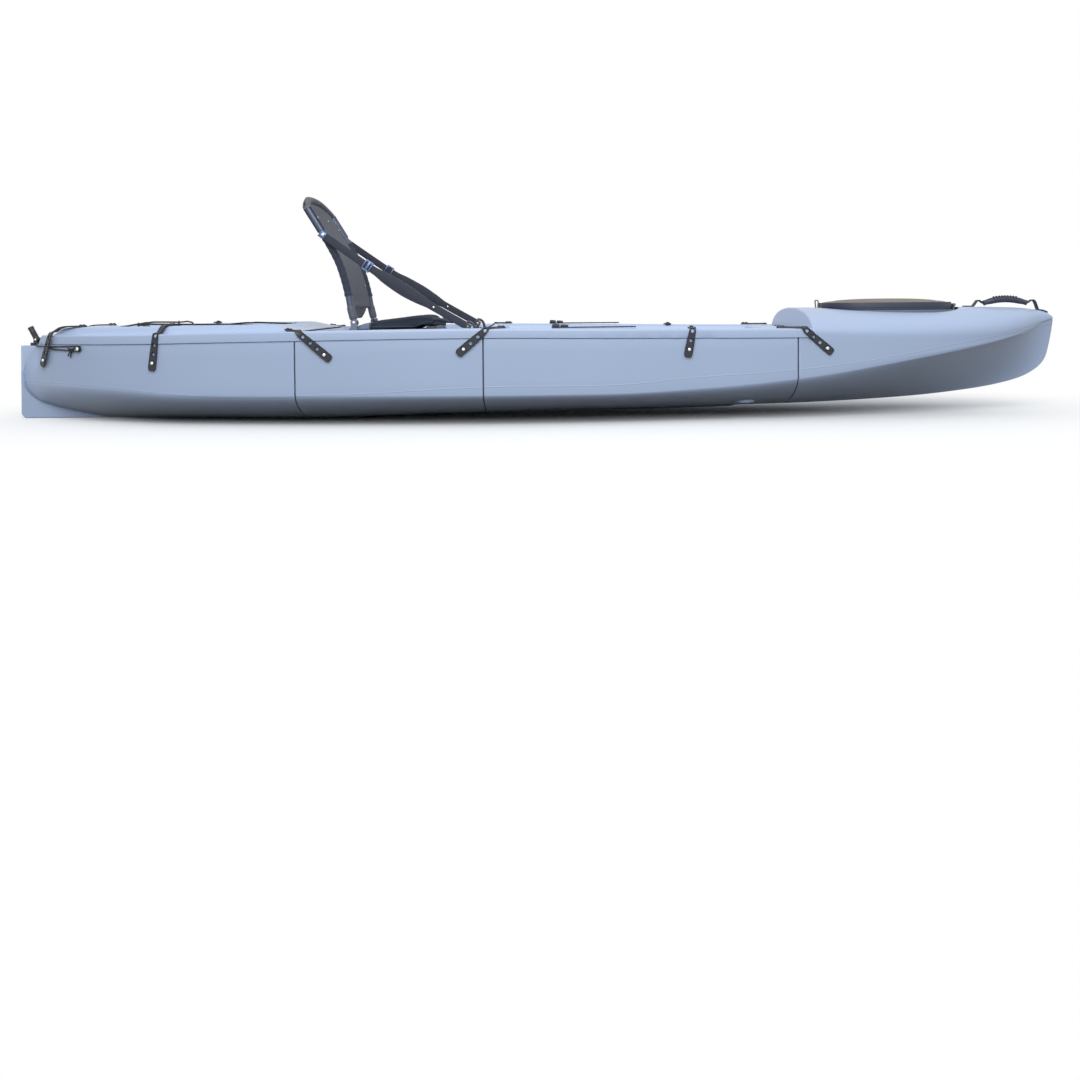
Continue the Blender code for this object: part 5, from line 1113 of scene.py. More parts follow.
def strap_sheet(total, tail, holes):
    """The strap's flat top as grid faces and rings round its holes; vertices are (across, along, height)."""
    base, proud = STRAP_THICKNESS - 0.0009, STRAP_THICKNESS
    centres = [total - STRAP_TIP - STRAP_PITCH * i for i in range(holes)]
    first = centres[-1] - STRAP_PITCH / 2
    rows = [(0.0, base - 0.0012), (0.0008, base), (0.003, base)]
    rows += [(v, base) for v in even(0.007, first - 0.004, 0.0045)]
    cells = [len(rows) + 6 * i for i in range(holes)]
    rows += [(first + STRAP_PITCH / 6 * i, base) for i in range(6 * holes + 1)]
    end = total - rows[-1][0]
    rows += [(total - end * s, h) for s, h in ((0.72, base), (0.48, base), (0.34, base), (0.28, proud), (0.1, proud))]
    rows.append((total, base - 0.0012))
    fractions = (-1.0, -0.955, -0.85, -0.79, -0.52, -0.26, 0.0, 0.26, 0.52, 0.79, 0.85, 0.955, 1.0)
    border = (base - 0.0010, proud, proud)
    raised = border + (None,) * 7 + border[::-1]
    work = bmesh.new()
    grid = []
    for v, h in rows:
        w = strap_half(v, total, tail)
        heights = [max(h, r) if r and h > base - 0.001 else h for r in raised]
        grid.append([work.verts.new((w * f, v, high)) for f, high in zip(fractions, heights)])
    for i, (row, after) in enumerate(zip(grid, grid[1:])):
        inside = any(c <= i < c + 6 for c in cells)
        for j in range(12):
            if not (inside and 3 <= j < 9):
                work.faces.new((row[j], row[j + 1], after[j + 1], after[j]))
    for cell, centre in zip(cells, reversed(centres)):
        loop = [grid[cell][j] for j in range(3, 9)] + [grid[cell + i][9] for i in range(6)]
        loop += [grid[cell + 6][j] for j in range(9, 3, -1)] + [grid[cell + i][3] for i in range(6, 0, -1)]
        for radius, h in ((0.0087, base), (0.0083, proud), (0.0069, proud), (STRAP_HOLE, base - 0.0006)):
            turns = [radians(-135 + 15 * k) for k in range(24)]
            ring = [work.verts.new((radius * cos(a), centre + radius * sin(a), h)) for a in turns]
            joined(work, [loop, ring])
            loop = ring
    return work


def closed_sheet(work):
    """Gives a sheet of (across, along, height) faces a flat underside at height 0 and closes its edges."""
    tops, faces = list(work.verts), list(work.faces)
    rim_edges = [edge for edge in work.edges if len(edge.link_faces) == 1]
    under = {vert: work.verts.new((vert.co.x, vert.co.y, 0.0)) for vert in tops}
    for face in faces:
        work.faces.new([under[v] for v in reversed(face.verts)])
    for edge in rim_edges:
        a, b = edge.verts
        work.faces.new((a, b, under[b], under[a]))
    bmesh.ops.recalc_face_normals(work, faces=work.faces)


def laid(work, frames, total, surface):
    """Moves a flat strip of (across, along, height) onto a path's frames, pushed clear of a surface."""
    columns = {}
    for vert in work.verts:
        columns.setdefault((round(vert.co.x, 7), round(vert.co.y, 7)), []).append(vert)
    last = len(frames) - 1
    for (u, v), verts in columns.items():
        far = min(max(v / total, 0.0), 1.0) * last
        i = min(int(far), last - 1)
        share = far - i
        point, across, normal = [a.lerp(b, share) for a, b in zip(frames[i], frames[i + 1])]
        across, normal = across.normalized(), normal.normalized()
        foot = point + across * u
        near, facing, _, _ = surface.find_nearest(foot, 0.006)
        if near and (foot - near).dot(facing) < 0.0002:
            foot += facing * (0.0003 - (foot - near).dot(facing))
        for vert in verts:
            vert.co = foot + normal * vert.co.z


def geometry_tree(name, **sizes):
    """A Geometry Nodes tree with named sizes and a material; returns it with its helpers and sockets."""
    tree = bpy.data.node_groups.new(name, "GeometryNodeTree")
    tree.interface.new_socket("Geometry", in_out="INPUT", socket_type="NodeSocketGeometry")
    for label, value in sizes.items():
        tree.interface.new_socket(label, in_out="INPUT", socket_type="NodeSocketFloat").default_value = value
    tree.interface.new_socket("Material", in_out="INPUT", socket_type="NodeSocketMaterial")
    tree.interface.new_socket("Geometry", in_out="OUTPUT", socket_type="NodeSocketGeometry")
    add, link = new_nodes(tree)
    return tree, add, link, add("NodeGroupInput").outputs


def on_points(add, link, shape, values, axis="Z"):
    """Ends a tree: the shape as real geometry on every point, with one axis the way the point faces."""
    way = add("GeometryNodeInputNamedAttribute", data_type="FLOAT_VECTOR")
    way.inputs["Name"].default_value = "facing"
    turn = add("FunctionNodeAlignRotationToVector", axis=axis)
    link(way.outputs["Attribute"], turn.inputs["Vector"])
    spread = add("GeometryNodeInstanceOnPoints")
    link(values["Geometry"], spread.inputs["Points"])
    link(shape, spread.inputs["Instance"])
    link(turn.outputs[0], spread.inputs["Rotation"])
    smoothed, real = add("GeometryNodeSetShadeSmooth"), add("GeometryNodeRealizeInstances")
    paint = add("GeometryNodeSetMaterial")
    link(spread.outputs[0], smoothed.inputs["Geometry"])
    link(smoothed.outputs[0], real.inputs[0])
    link(real.outputs[0], paint.inputs["Geometry"])
    link(values["Material"], paint.inputs["Material"])
    link(paint.outputs[0], add("NodeGroupOutput").inputs[0])


def changed(add, link, shape, way, *terms):
    """A shape with its Scale or its Translation set by three sockets; None leaves a term at 0."""
    vector, change = add("ShaderNodeCombineXYZ"), add("GeometryNodeTransform")
    for term, socket in zip(terms, vector.inputs):
        if term is not None:
            link(term, socket)
    link(shape, change.inputs["Geometry"])
    link(vector.outputs[0], change.inputs[way])
    return change.outputs[0]


def upright_bar(add, link, radius, length, sides, share):
    """A cylinder stood up or let down from the origin by a share of its length."""
    shape, shift = add("GeometryNodeMeshCylinder", Vertices=sides), add("ShaderNodeMath", operation="MULTIPLY")
    link(radius, shape.inputs["Radius"])
    link(length, shape.inputs["Depth"])
    shift.inputs[1].default_value = share
    link(length, shift.inputs[0])
    return changed(add, link, shape.outputs["Mesh"], "Translation", None, None, shift.outputs[0])


def together(add, link, *shapes):
    every = add("GeometryNodeJoinGeometry")
    for shape in shapes:
        link(shape, every.inputs[0])
    return every.outputs[0]


def grown(name, places, tree, sharp, body=None, **values):
    """Runs a Geometry Nodes tree on (point, way it faces) places; the plain result rides on a body."""
    mesh = bpy.data.meshes.new("places")
    mesh.from_pydata([tuple(point) for point, _ in places], [], [])
    facing = mesh.attributes.new("facing", "FLOAT_VECTOR", "POINT")
    for item, (_, way) in zip(facing.data, places):
        item.vector = way
    holder = placed(name, mesh)
    change = holder.modifiers.new("grown", "NODES")
    change.node_group = tree
    for item in tree.interface.items_tree:
        if item.item_type == "SOCKET" and item.in_out == "INPUT" and item.name in values:
            change[item.identifier] = values[item.name]
    holder.update_tag()
    shaded(baked(holder), sharp)
    if body:
        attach(holder, body)
    return holder


def fastener_tree():
    """A domed head over a shank on every point, standing the way the point faces."""
    tree, add, link, values = geometry_tree(
        "fasteners", Head_Radius=0.0056, Head_Height=0.003, Shank_Radius=0.0046, Shank_Length=0.006
    )
    dome = add("GeometryNodeMeshUVSphere", Segments=20, Rings=10, Radius=1.0).outputs["Mesh"]
    radius = values["Head_Radius"]
    head = changed(add, link, dome, "Scale", radius, radius, values["Head_Height"])
    shank = upright_bar(add, link, values["Shank_Radius"], values["Shank_Length"], 16, -0.5)
    on_points(add, link, together(add, link, head, shank), values, "Z")
    return tree


def fasteners(name, places, body, finish, head, height, shank, length):
    """One piece of like fasteners on a body, by the radius and height of the head and of the shank."""
    return grown(
        name, places, heads, 30, body, Head_Radius=head, Head_Height=height, Shank_Radius=shank,
        Shank_Length=length, Material=finish,
    )


def brushed_skin(kit, values):
    """Fine turning marks and small stains on bright metal."""
    math, noise = kit.math, kit.noise
    marks = noise(values["Marks"], 2.0, (1.0, 1.0, 0.2))
    stain = math("MULTIPLY", noise(60.0, 4.0), values["Stain"])
    return math("SUBTRACT", 1.0, stain), math("ADD", math("MULTIPLY", marks, 0.5), stain), marks


heads, brushed = fastener_tree(), skin_group(brushed_skin, Marks=1400.0, Stain=0.4)
strap_skin = material("strap_rubber", (0.020, 0.023, 0.032), 0.46, rubber, vary=0.35, rough=0.12, bump=0.12)
bright = material("bright_steel", (0.72, 0.73, 0.75), 0.24, brushed, vary=0.08, rough=0.1, bump=0.05, Metallic=1.0)
black_screw = material("black_screw", (0.02, 0.021, 0.025), 0.38, brushed, vary=0.3, Metallic=0.6)
decks = surface_of(*lids.values(), hulls["bow"], hulls["stern"])
whole = surface_of(*lids.values(), *hulls.values())
studs, screws = [], []
for name, place, root, inset, bend, tip, drop, holes in STRAPS:
    for way, side in SIDES:
        label = f"strap_{name}_{way}"
        hinge = Vector(joints[label + "_unlatch"]["pos_m"])
        points, normals, tail, down, out = strap_path(place, root, inset, bend, tip, drop, side, hinge, decks)
        marks = lengths_along(points)
        total = marks[-1]
        steps, ways, i = [], [], 0
        for far in even(0.0, total, 0.002):
            while i < len(points) - 2 and marks[i + 1] < far:
                i += 1
            share = min(1.0, (far - marks[i]) / max(marks[i + 1] - marks[i], 1e-9))
            steps.append(points[i].lerp(points[i + 1], share))
            ways.append(normals[i].lerp(normals[i + 1], share).normalized())
        frames = frames_along(steps, ways)
        work = strap_sheet(total, tail, holes)
        closed_sheet(work)
        laid(work, frames, total, whole)
        strap = fitted(new_object(label + "_rubber", work, 32), strap_skin)
        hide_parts(label, label + "_root")
        arm_end = steps[round((total - tail - 0.012) / total * (len(steps) - 1))]
        tuple(arm_end)
        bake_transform(strap)
        stud = hinge + down * (tail - STRAP_TIP)
        studs.append((stud + out * (STRAP_THICKNESS + 0.0002), out))
        for far in (0.008, 0.020):
            point, _, normal = frames[round(far / total * (len(steps) - 1))]
            screws.append((point + normal * (STRAP_THICKNESS - 0.0006), normal))
strap_studs = fasteners("strap_studs", studs, "hull", bright, 0.0057, 0.0032, 0.0045, 0.016)
fasteners("strap_screws", screws, "hull", black_screw, 0.0066, 0.0046, 0.002, 0.008)

# Bow hatch
# The hatch is a grey moulded flange bedded in the foredeck's pocket, a dark lid hinged at its front, and a
# crowned tan foam pad glued on top. A bent wire loop on a lug at the lid's aft end opens it.
HATCH_FLANGE, HATCH_LID, HATCH_CROWN = 0.010, 0.0215, 0.017
LUG_REACH, PULL_WIRE, PULL_WIDTH, PULL_HEIGHT = 0.011, 0.0022, 0.048, 0.030


def block(work, one, other, soft=0.001, place=None, segments=2):
    """A box with rounded edges between two opposite corners, added to a bmesh."""
    one, other = Vector(one), Vector(other)
    size = Vector([abs(step) for step in other - one])
    stand = Matrix.Translation((one + other) / 2) @ Matrix.Diagonal((*size, 1))
    made = bmesh.ops.create_cube(work, size=1.0, matrix=(place or Matrix()) @ stand)
    edges = list(dict.fromkeys(edge for vert in made["verts"] for edge in vert.link_edges))
    soft = min(soft, min(size) * 0.4)
    bmesh.ops.bevel(work, geom=edges, offset=soft, segments=segments, affect="EDGES", profile=0.5)


def softened(points, step=0.003):
    """Points along a smooth curve through the given ones."""
    points = [Vector(p) for p in points]
    ends = [points[0] * 2 - points[1]] + points + [points[-1] * 2 - points[-2]]
    made = []
    for a, b, c, d in zip(ends, ends[1:], ends[2:], ends[3:]):
        count = max(2, round((c - b).length / step))
        for t in [i / count for i in range(count)]:
            curve = 2 * b + (c - a) * t + (2 * a - 5 * b + 4 * c - d) * t * t + (3 * b - a - 3 * c + d) * t**3
            made.append(0.5 * curve)
    return made + [points[-1]]


def changing(value):
    """A size as a function of the share of the way along a piece, also where it stays the same."""
    return value if callable(value) else lambda share: value


def swept(work, points, radius, sides=12, flat=1.0):
    """A closed round bar along points, with turns round it and girths along it in its UV map."""
    uv = work.loops.layers.uv.verify()
    points = [Vector(p) for p in points]
    far, size = lengths_along(points), changing(radius)
    run = (points[1] - points[0]).normalized()
    across = run.cross(UP if abs(run.z) < 0.9 else Vector((1, 0, 0))).normalized()
    rows = []
    for i, point in enumerate(points):
        ahead = run_at(points, i)
        across = (across - ahead * across.dot(ahead)).normalized()
        up = ahead.cross(across)
        r = size(far[i] / far[-1])
        ring = []
        for k in range(sides):
            a = 2 * pi * k / sides
            ring.append(work.verts.new(point + across * (r * cos(a)) + up * (r * flat * sin(a))))
        rows.append((ring, far[i] / (2 * pi * size(0.5))))
    for (row, v), (after, w) in zip(rows, rows[1:]):
        for k in range(sides):
            j = (k + 1) % sides
            face = work.faces.new((row[k], row[j], after[j], after[k]))
            for loop, place in zip(face.loops, ((k, v), (k + 1, v), (k + 1, w), (k, w))):
                loop[uv].uv = (place[0] / sides, place[1])
    for (row, v), way in ((rows[0], 1), (rows[-1], -1)):
        tip = work.verts.new(sum((vert.co for vert in row), Vector()) / sides)
        for k in range(sides):
            face = work.faces.new((tip, row[(k + 1) % sides], row[k])[::way])
            for loop in face.loops:
                loop[uv].uv = (k / sides, v)


def bar(name, points, radius, finish, body, sides=12, flat=1.0, sharp=40, node=None):
    """A swept bar as a piece of its own."""
    work = bmesh.new()
    swept(work, points, radius, sides, flat)
    return fitted(new_object(name, work, sharp), finish, body, node)


def round_hatch(rings, hollow=False):
    """Joins ovals of (out, z) round the hatch; a hollow one closes on itself, a solid one is capped."""
    work = bmesh.new()
    rows = []
    for out, z in rings:
        shape = oval(HATCH_LENGTH + out, HATCH_WIDTH + out, 128)
        rows.append([work.verts.new((HATCH_CENTRE + u, v, z)) for u, v in shape])
    joined(work, rows + rows[:1] if hollow else rows)
    if not hollow:
        work.faces.new(rows[0])
        work.faces.new(rows[-1])
    return work


seat, top = HATCH_SEAT + GAP, HATCH_FLANGE
flange = [(0.006, 0.0), (0.006, 0.0072), (0.0054, 0.0090), (0.0036, top), (-0.006, top), (-0.0066, 0.0085)]
flange += [(-0.012, 0.0085), (-0.0126, top), (-0.031, top), (-0.034, 0.0085), (-0.034, 0.0)]
work = round_hatch([(out, seat + z) for out, z in flange], hollow=True)
lid_low = seat + HATCH_FLANGE + GAP
front, back = HATCH_CENTRE + HATCH_LENGTH, HATCH_CENTRE - HATCH_LENGTH
hinge_x, hinge_z = front + 0.007, lid_low + 0.016
block(work, (front - 0.003, -0.046, seat + 0.001), (hinge_x + 0.003, 0.046, seat + HATCH_FLANGE - 0.001), 0.0015)
for y in (-0.033, 0.0, 0.033):
    block(work, (hinge_x - 0.0032, y - 0.010, seat + 0.004), (hinge_x + 0.0028, y + 0.010, hinge_z), 0.001)
barrel = [(hinge_x, y, hinge_z) for y in even(-0.05, 0.05, 0.0012)]
swept(work, barrel, lambda s: 0.005 - 0.0008 * (abs(s * 5 % 1 - 0.5) > 0.46), 20)
flange_skin = material("hatch_flange", (0.13, 0.155, 0.20), 0.5, moulded, vary=0.15, bump=0.2)
fitted(new_object("hatch_flange", work), flange_skin, "hull", "hatch_rim")

lid_top = lid_low + HATCH_LID
top = HATCH_LID
band = [(-0.0016, 0.0), (0.0, 0.0008), (0.0, 0.0070), (-0.0009, 0.0074), (-0.0009, 0.0086), (0.0, 0.0090)]
band += [(0.0, top), (-0.0006, top + 0.0034), (-0.0022, top + 0.0048), (-0.0050, top + 0.0048)]
band += [(-0.0066, top + 0.0036), (-0.0076, top)]
work = round_hatch([(out, lid_low + z) for out, z in band])
lug_half = PULL_WIDTH / 2 - PULL_WIRE - 0.001
for side in (-1, 1):
    inner, outer = side * (lug_half - 0.010), side * lug_half
    block(work, (back - LUG_REACH, inner, lid_low + 0.001), (back + 0.010, outer, lid_low + 0.010), 0.0018)
block(work, (back - 0.006, -lug_half, lid_low + 0.002), (back + 0.008, lug_half, lid_low + 0.008), 0.0015)
dark_skin = material("hatch_lid_plastic", (0.026, 0.034, 0.063), 0.48, moulded, vary=0.2, bump=0.2)
fitted(new_object("hatch_lid_body", work), dark_skin, "hatch_lid", "hatch_lid")

pad_low = lid_top + GAP
crown = ((1.0, 0.0), (1.0, 0.10), (0.988, 0.18), (0.985, 0.20), (0.95, 0.31), (0.9, 0.43), (0.86, 0.50))
crown += ((0.853, 0.475), (0.84, 0.49), (0.72, 0.72), (0.56, 0.86), (0.42, 0.94), (0.28, 0.98), (0.12, 1.0))
crown += ((0.03, 1.0),)
shape = oval(HATCH_LENGTH * 0.985 - 0.006, HATCH_WIDTH * 0.985 - 0.006, 128)
foam_rings = [
    [(HATCH_CENTRE + u * s, v * s, pad_low + (HATCH_CROWN + 0.001) * h) for u, v in shape] for s, h in crown
]


def foam_skin(kit, values):
    """Closed-cell foam: small pores, shallow crossed grooves painted darker as painted shade, and sun-faded patches."""
    math = kit.math
    pores = math("MULTIPLY", kit.texture("ShaderNodeTexVoronoi", values["Pores"], feature="F1")["Distance"], 0.3)
    along, across = kit.axes("Object", "XY")
    grooves = []
    for sign in (1.0, -1.0):
        diagonal = math("ADD", along, math("MULTIPLY", across, sign))
        wave = math("ABSOLUTE", math("SINE", math("MULTIPLY", diagonal, 2 * pi / 0.05)))
        grooves.append(math("LESS_THAN", wave, 0.10))
    groove = math("MAXIMUM", *grooves)
    fade = math("MULTIPLY", kit.noise(7.0, 4.0), values["Fade"])
    # The grooves are made darker in colour: painted shade in them.
    tone = math("SUBTRACT", math("ADD", fade, pores), math("MULTIPLY", groove, 0.35))
    return tone, math("ADD", 0.4, fade), math("SUBTRACT", pores, groove)


foam = skin_group(foam_skin, Pores=900.0, Fade=0.6)
foam_finish = material("hatch_foam", (0.235, 0.20, 0.175), 0.82, foam, vary=0.25, bump=0.35, depth=0.0008)
pad = fitted(lofted("hatch_foam_pad", foam_rings, 50), foam_finish, "hatch_lid", "hatch_pad")

pivot_x, pivot_z, half = back - LUG_REACH + 0.0045, lid_low + 0.0055, PULL_WIDTH / 2
wire = [(pivot_x, -lug_half + 0.005, pivot_z), (pivot_x, -half - 0.001, pivot_z)]
wire.append((pivot_x - 0.0004, -half, pivot_z + 0.003))
for wide, share in ((1.0, 0.3), (1.0, 0.6), (0.93, 0.8), (0.76, 0.93), (0.5, 0.99), (0.2, 1.0)):
    wire.append((pivot_x - 0.004 * share, -half * wide, pivot_z + PULL_HEIGHT * share))
wire += [(x, -y, z) for x, y, z in reversed(wire)]
pull_skin = material("pull_wire", (0.10, 0.075, 0.065), 0.4, brushed, vary=0.4, Metallic=0.7)
bar("hatch_pull_wire", softened(wire, 0.0015), PULL_WIRE, pull_skin, "hatch_pull", 14, node="hatch_pull")
ends = [(Vector((pivot_x, side * (half + 0.0018), pivot_z)), Vector((0, side, 0))) for side in (-1, 1)]
fasteners("hatch_pull_balls", ends, "hatch_pull", bright, 0.0036, 0.0030, 0.0015, 0.003)
corners = [(HATCH_CENTRE + u, v) for u, v in oval(HATCH_LENGTH + 0.0015, HATCH_WIDTH + 0.0015, 14)]
corners = [(Vector((x, y, seat + HATCH_FLANGE)), UP) for x, y in corners if abs(x - hinge_x) > 0.03]
fasteners("hatch_screws", corners, "hull", black_screw, 0.0022, 0.0009, 0.001, 0.004)

# Bow handle
# An arched grip with raised finger ribs hangs between two loops of webbing. Each loop ends in a pad bolted
# flat to the foredeck, so the grip swings to either side as the webbing twists.
GRIP_CENTRE, GRIP_HALF, GRIP_ARCH = BOW - 0.1705, 0.0765, 0.013
AXIS_Z = joints["bow_handle_swing"]["pos_m"][2]
WEB_EDGE = ((-0.5, 0.0), (-0.47, 0.36), (-0.42, 0.5), (0.0, 0.5), (0.42, 0.5), (0.47, 0.36))
WEB_OUTLINE = WEB_EDGE + tuple((-u, -h) for u, h in WEB_EDGE)


def ribbon(work, frames, width, thickness):
    """Webbing along (point, across, normal) frames, with rounded edges and metres in its UV map."""
    uv = work.loops.layers.uv.verify()
    wide, thick = changing(width), changing(thickness)
    rows = []
    for i, (far, (point, across, normal)) in enumerate(zip(lengths_along([f[0] for f in frames]), frames)):
        w, t = wide(i / (len(frames) - 1)), thick(i / (len(frames) - 1))
        rows.append(([work.verts.new(point + across * (u * w) + normal * (h * t)) for u, h in WEB_OUTLINE], far, w))
    count = len(WEB_OUTLINE)
    for (row, v, a), (after, w, b) in zip(rows, rows[1:]):
        for k in range(count):
            j = (k + 1) % count
            face = work.faces.new((row[k], row[j], after[j], after[k]))
            for loop, (corner, far, wide_here) in zip(face.loops, ((k, v, a), (j, v, a), (j, w, b), (k, w, b))):
                loop[uv].uv = (WEB_OUTLINE[corner][0] * wide_here, far)
    for row, v, _ in (rows[0], rows[-1]):
        for loop in work.faces.new(row).loops:
            loop[uv].uv = (0.0, v)


def woven_skin(kit, values):
    """Flat webbing: crossed yarns from the UV map, fuzzy between them and paler where it rubs."""
    math = kit.math
    turns = [math("MULTIPLY", math("DIVIDE", far, values["Yarn"]), 2 * pi) for far in kit.axes("UV", "XY")]
    twill = math("SINE", math("ADD", *turns))
    ribs = math("ABSOLUTE", math("SINE", turns[1]))
    yarn = math("ADD", math("MULTIPLY", ribs, 0.6), math("MULTIPLY", twill, 0.25))
    fade = math("MULTIPLY", kit.noise(45.0, 4.0), values["Fade"])
    return math("ADD", math("MULTIPLY", yarn, 0.5), fade), math("ADD", 0.3, fade), yarn


def grip_point(s, lift=0.0):
    """A point of the grip's arched centreline, by share of its half length."""
    return Vector((GRIP_CENTRE + GRIP_HALF * s, 0, AXIS_Z + lift + GRIP_ARCH * (1 - s * s)))


def grip_radius(s):
    """The grip's girth: thicker in the middle, with a small collar at each end."""
    return 0.0090 + 0.0026 * smooth(0.02, 0.20, s) * (1 - smooth(0.80, 0.98, s)) + 0.0010 * (s < 0.03 or s > 0.97)


woven = skin_group(woven_skin, Yarn=0.0016, Fade=0.4)
web_skin = material("webbing", (0.022, 0.028, 0.047), 0.72, woven, vary=0.4, bump=0.5, depth=0.0004, Sheen_Weight=0.15)
grip_skin = material("grip_rubber", (0.034, 0.043, 0.075), 0.5, rubber, vary=0.35, bump=0.2)
grip_points = [grip_point(s) for s in even(-1.0, 1.0, 0.04)]
bar("bow_grip", grip_points, grip_radius, grip_skin, "bow_handle", 24, 0.95, 45, node="bow_handle_grip")


def rib_tree():
    """A raised round rib on every point, square to the way it faces."""
    tree, add, link, values = geometry_tree("grip_ribs", Rib_Radius=0.0103, Rib_Thickness=0.0011)
    hoop = add("GeometryNodeCurvePrimitiveCircle", Resolution=28)
    wall = add("GeometryNodeCurvePrimitiveCircle", Resolution=8)
    link(values["Rib_Radius"], hoop.inputs["Radius"])
    link(values["Rib_Thickness"], wall.inputs["Radius"])
    ring = add("GeometryNodeCurveToMesh")
    link(hoop.outputs[0], ring.inputs["Curve"])
    link(wall.outputs[0], ring.inputs["Profile Curve"])
    on_points(add, link, ring.outputs[0], values, "Z")
    return tree


ribs = rib_tree()
hoops = [(grip_point(s, 0.0025), Vector((GRIP_HALF, 0, -2 * GRIP_ARCH * s))) for s in even(-0.50, 0.50, 0.125)]
grown("bow_grip_ribs", hoops, ribs, 60, "bow_handle", Rib_Radius=0.0104, Rib_Thickness=0.0022, Material=strap_skin)
pad_bolts = []
for name, way in (("aft", -1), ("forward", 1)):
    end = GRIP_CENTRE + way * (GRIP_HALF + 0.0008)
    loop = ((-0.006, 0.0002), (0.003, 0.0008), (0.010, 0.0062), (0.017, 0.0098), (0.0235, 0.0085), (0.0290, 0.0010))
    line = [(end + way * out, AXIS_Z + rise) for out, rise in loop]
    for off in (0.038, 0.044, 0.052, 0.061, 0.070):
        x = end + way * off
        line.append((x, max(height_on(decks, x, y) for y in (-0.0115, 0.0, 0.0115)) + 0.0018))
    spine = softened([(x, 0, z) for x, z in line], 0.002)
    normals = [run_at(spine, i).cross(PORT) for i in range(len(spine))]
    frames = [(point, PORT, normal * (1 if normal.z > 0 else -1)) for point, normal in zip(spine, normals)]
    work = bmesh.new()
    ribbon(work, frames, lambda share: 0.0145 + 0.0105 * smooth(0.08, 0.34, share), 0.0040)
    ear = fitted(new_object(f"bow_ear_{name}", work, 50), web_skin, None, f"bow_handle_ear_{name}")
    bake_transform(ear)
    x = end + way * 0.058
    pad_bolts.append((Vector((x, 0, height_on(decks, x, 0) + 0.0042)), UP))
fasteners("bow_ear_bolts", pad_bolts, "hull", bright, 0.0048, 0.0022, 0.0062, 0.0016)

# Stern toggle and cords
# A leaning rubber toggle is pinned between two ears on the skeg's head. From its base a braided cord runs
# along each side of the hull, round a bright post and back, where it is knotted with two short tails.
TOGGLE_X, TOGGLE_LEAN = STERN + 0.048, radians(28)
CORD_RADIUS, CORD_CLEAR, SPLIT_X = 0.0022, 0.0014, STERN + 0.15
POST_X, POST_DROP, POST_RADIUS = STERN + 0.282, 0.014, 0.006


def drilled(piece, points, radius, sides):
    """Bores a round hole along points through a piece."""
    bore = bmesh.new()
    swept(bore, points, radius, sides)
    boolean(piece, new_object("bore", bore), "DIFFERENCE")


black_plastic = material("black_plastic", (0.022, 0.025, 0.035), 0.42, moulded, vary=0.3, bump=0.2)
toggle_pivot = Vector(joints["stern_toggle_swing"]["pos_m"])
top = SKEG_TOP + GAP
work = bmesh.new()
block(work, (TOGGLE_X - 0.018, -0.014, top), (TOGGLE_X + 0.012, 0.014, top + 0.010), 0.002)
for side in (-1, 1):
    inner, outer = side * 0.011, side * 0.014
    block(work, (TOGGLE_X - 0.007, inner, top + 0.006), (TOGGLE_X + 0.007, outer, toggle_pivot.z + 0.007), 0.0022)
    swept(work, [(TOGGLE_X, side * y, toggle_pivot.z) for y in (0.0045, 0.008, 0.0120)], 0.0029, 16)
fitted(new_object("stern_base", work), black_plastic, "hull", "stern_toggle_base")
pins = [(Vector((TOGGLE_X, side * 0.0140, toggle_pivot.z)), Vector((0, side, 0))) for side in (-1, 1)]
fasteners("stern_toggle_pins", pins, "hull", bright, 0.0034, 0.0014, 0.002, 0.003)
axis = Vector((-sin(TOGGLE_LEAN), 0, cos(TOGGLE_LEAN)))
turned = [(-0.0105, 0.0004), (-0.0100, 0.0030), (-0.0080, 0.0067), (-0.0045, 0.0093), (0.0, 0.0103), (0.006, 0.0103)]
for far in (0.012, 0.0175, 0.023):
    turned += [(far - 0.0016, 0.0103), (far - 0.0009, 0.0093), (far + 0.0009, 0.0093), (far + 0.0016, 0.0103)]
turned += [(0.030, 0.0099), (0.040, 0.0098), (0.0455, 0.0105), (0.0485, 0.0104), (0.0497, 0.0092), (0.0500, 0.0060)]
rings = []
for far, r in turned:
    middle, turns = toggle_pivot + axis * far, [2 * pi * k / 32 for k in range(32)]
    rings.append([middle + (PORT * (r * cos(a)) + axis.cross(PORT) * (r * sin(a))) for a in turns])
toggle = lofted("stern_toggle_rubber", rings, 30)
drilled(toggle, [(TOGGLE_X, y, toggle_pivot.z) for y in (-0.02, 0.0, 0.02)], 0.0038, 16)
fitted(toggle, strap_skin, "stern_toggle", "stern_toggle_grip")


def braid_skin(kit, values):
    """A braided cover: two sets of strands crossing round the cord, with pale flecks."""
    math = kit.math
    turns = [math("MULTIPLY", math("MULTIPLY", far, values["Strands"]), 2 * pi) for far in kit.axes("UV", "XY")]
    strands = math("MAXIMUM", *[math("SINE", math(way, *turns)) for way in ("ADD", "SUBTRACT")])
    fleck = math("MULTIPLY", math("GREATER_THAN", kit.noise(260.0, 2.0), 0.62), values["Fleck"])
    tone = math("ADD", math("MULTIPLY", strands, 0.4), fleck)
    return tone, math("ADD", 0.4, math("MULTIPLY", strands, -0.2)), strands


def side_hit(x, z, side):
    """The point and the normal of the hull's side at a height."""
    return whole.ray_cast(Vector((x, side, z)), Vector((0, -side, 0)))[:2]


def beside(x, z, side):
    """Where a cord's centre lies against the hull's side, clear of the steepest skin nearby."""
    steepest = max(slope_of(x + step) for step in (-0.012, 0.0, 0.012))
    return side_hit(x, z, side)[0] + Vector((0, side * (CORD_RADIUS + CORD_CLEAR) * hypot(1, steepest), 0))


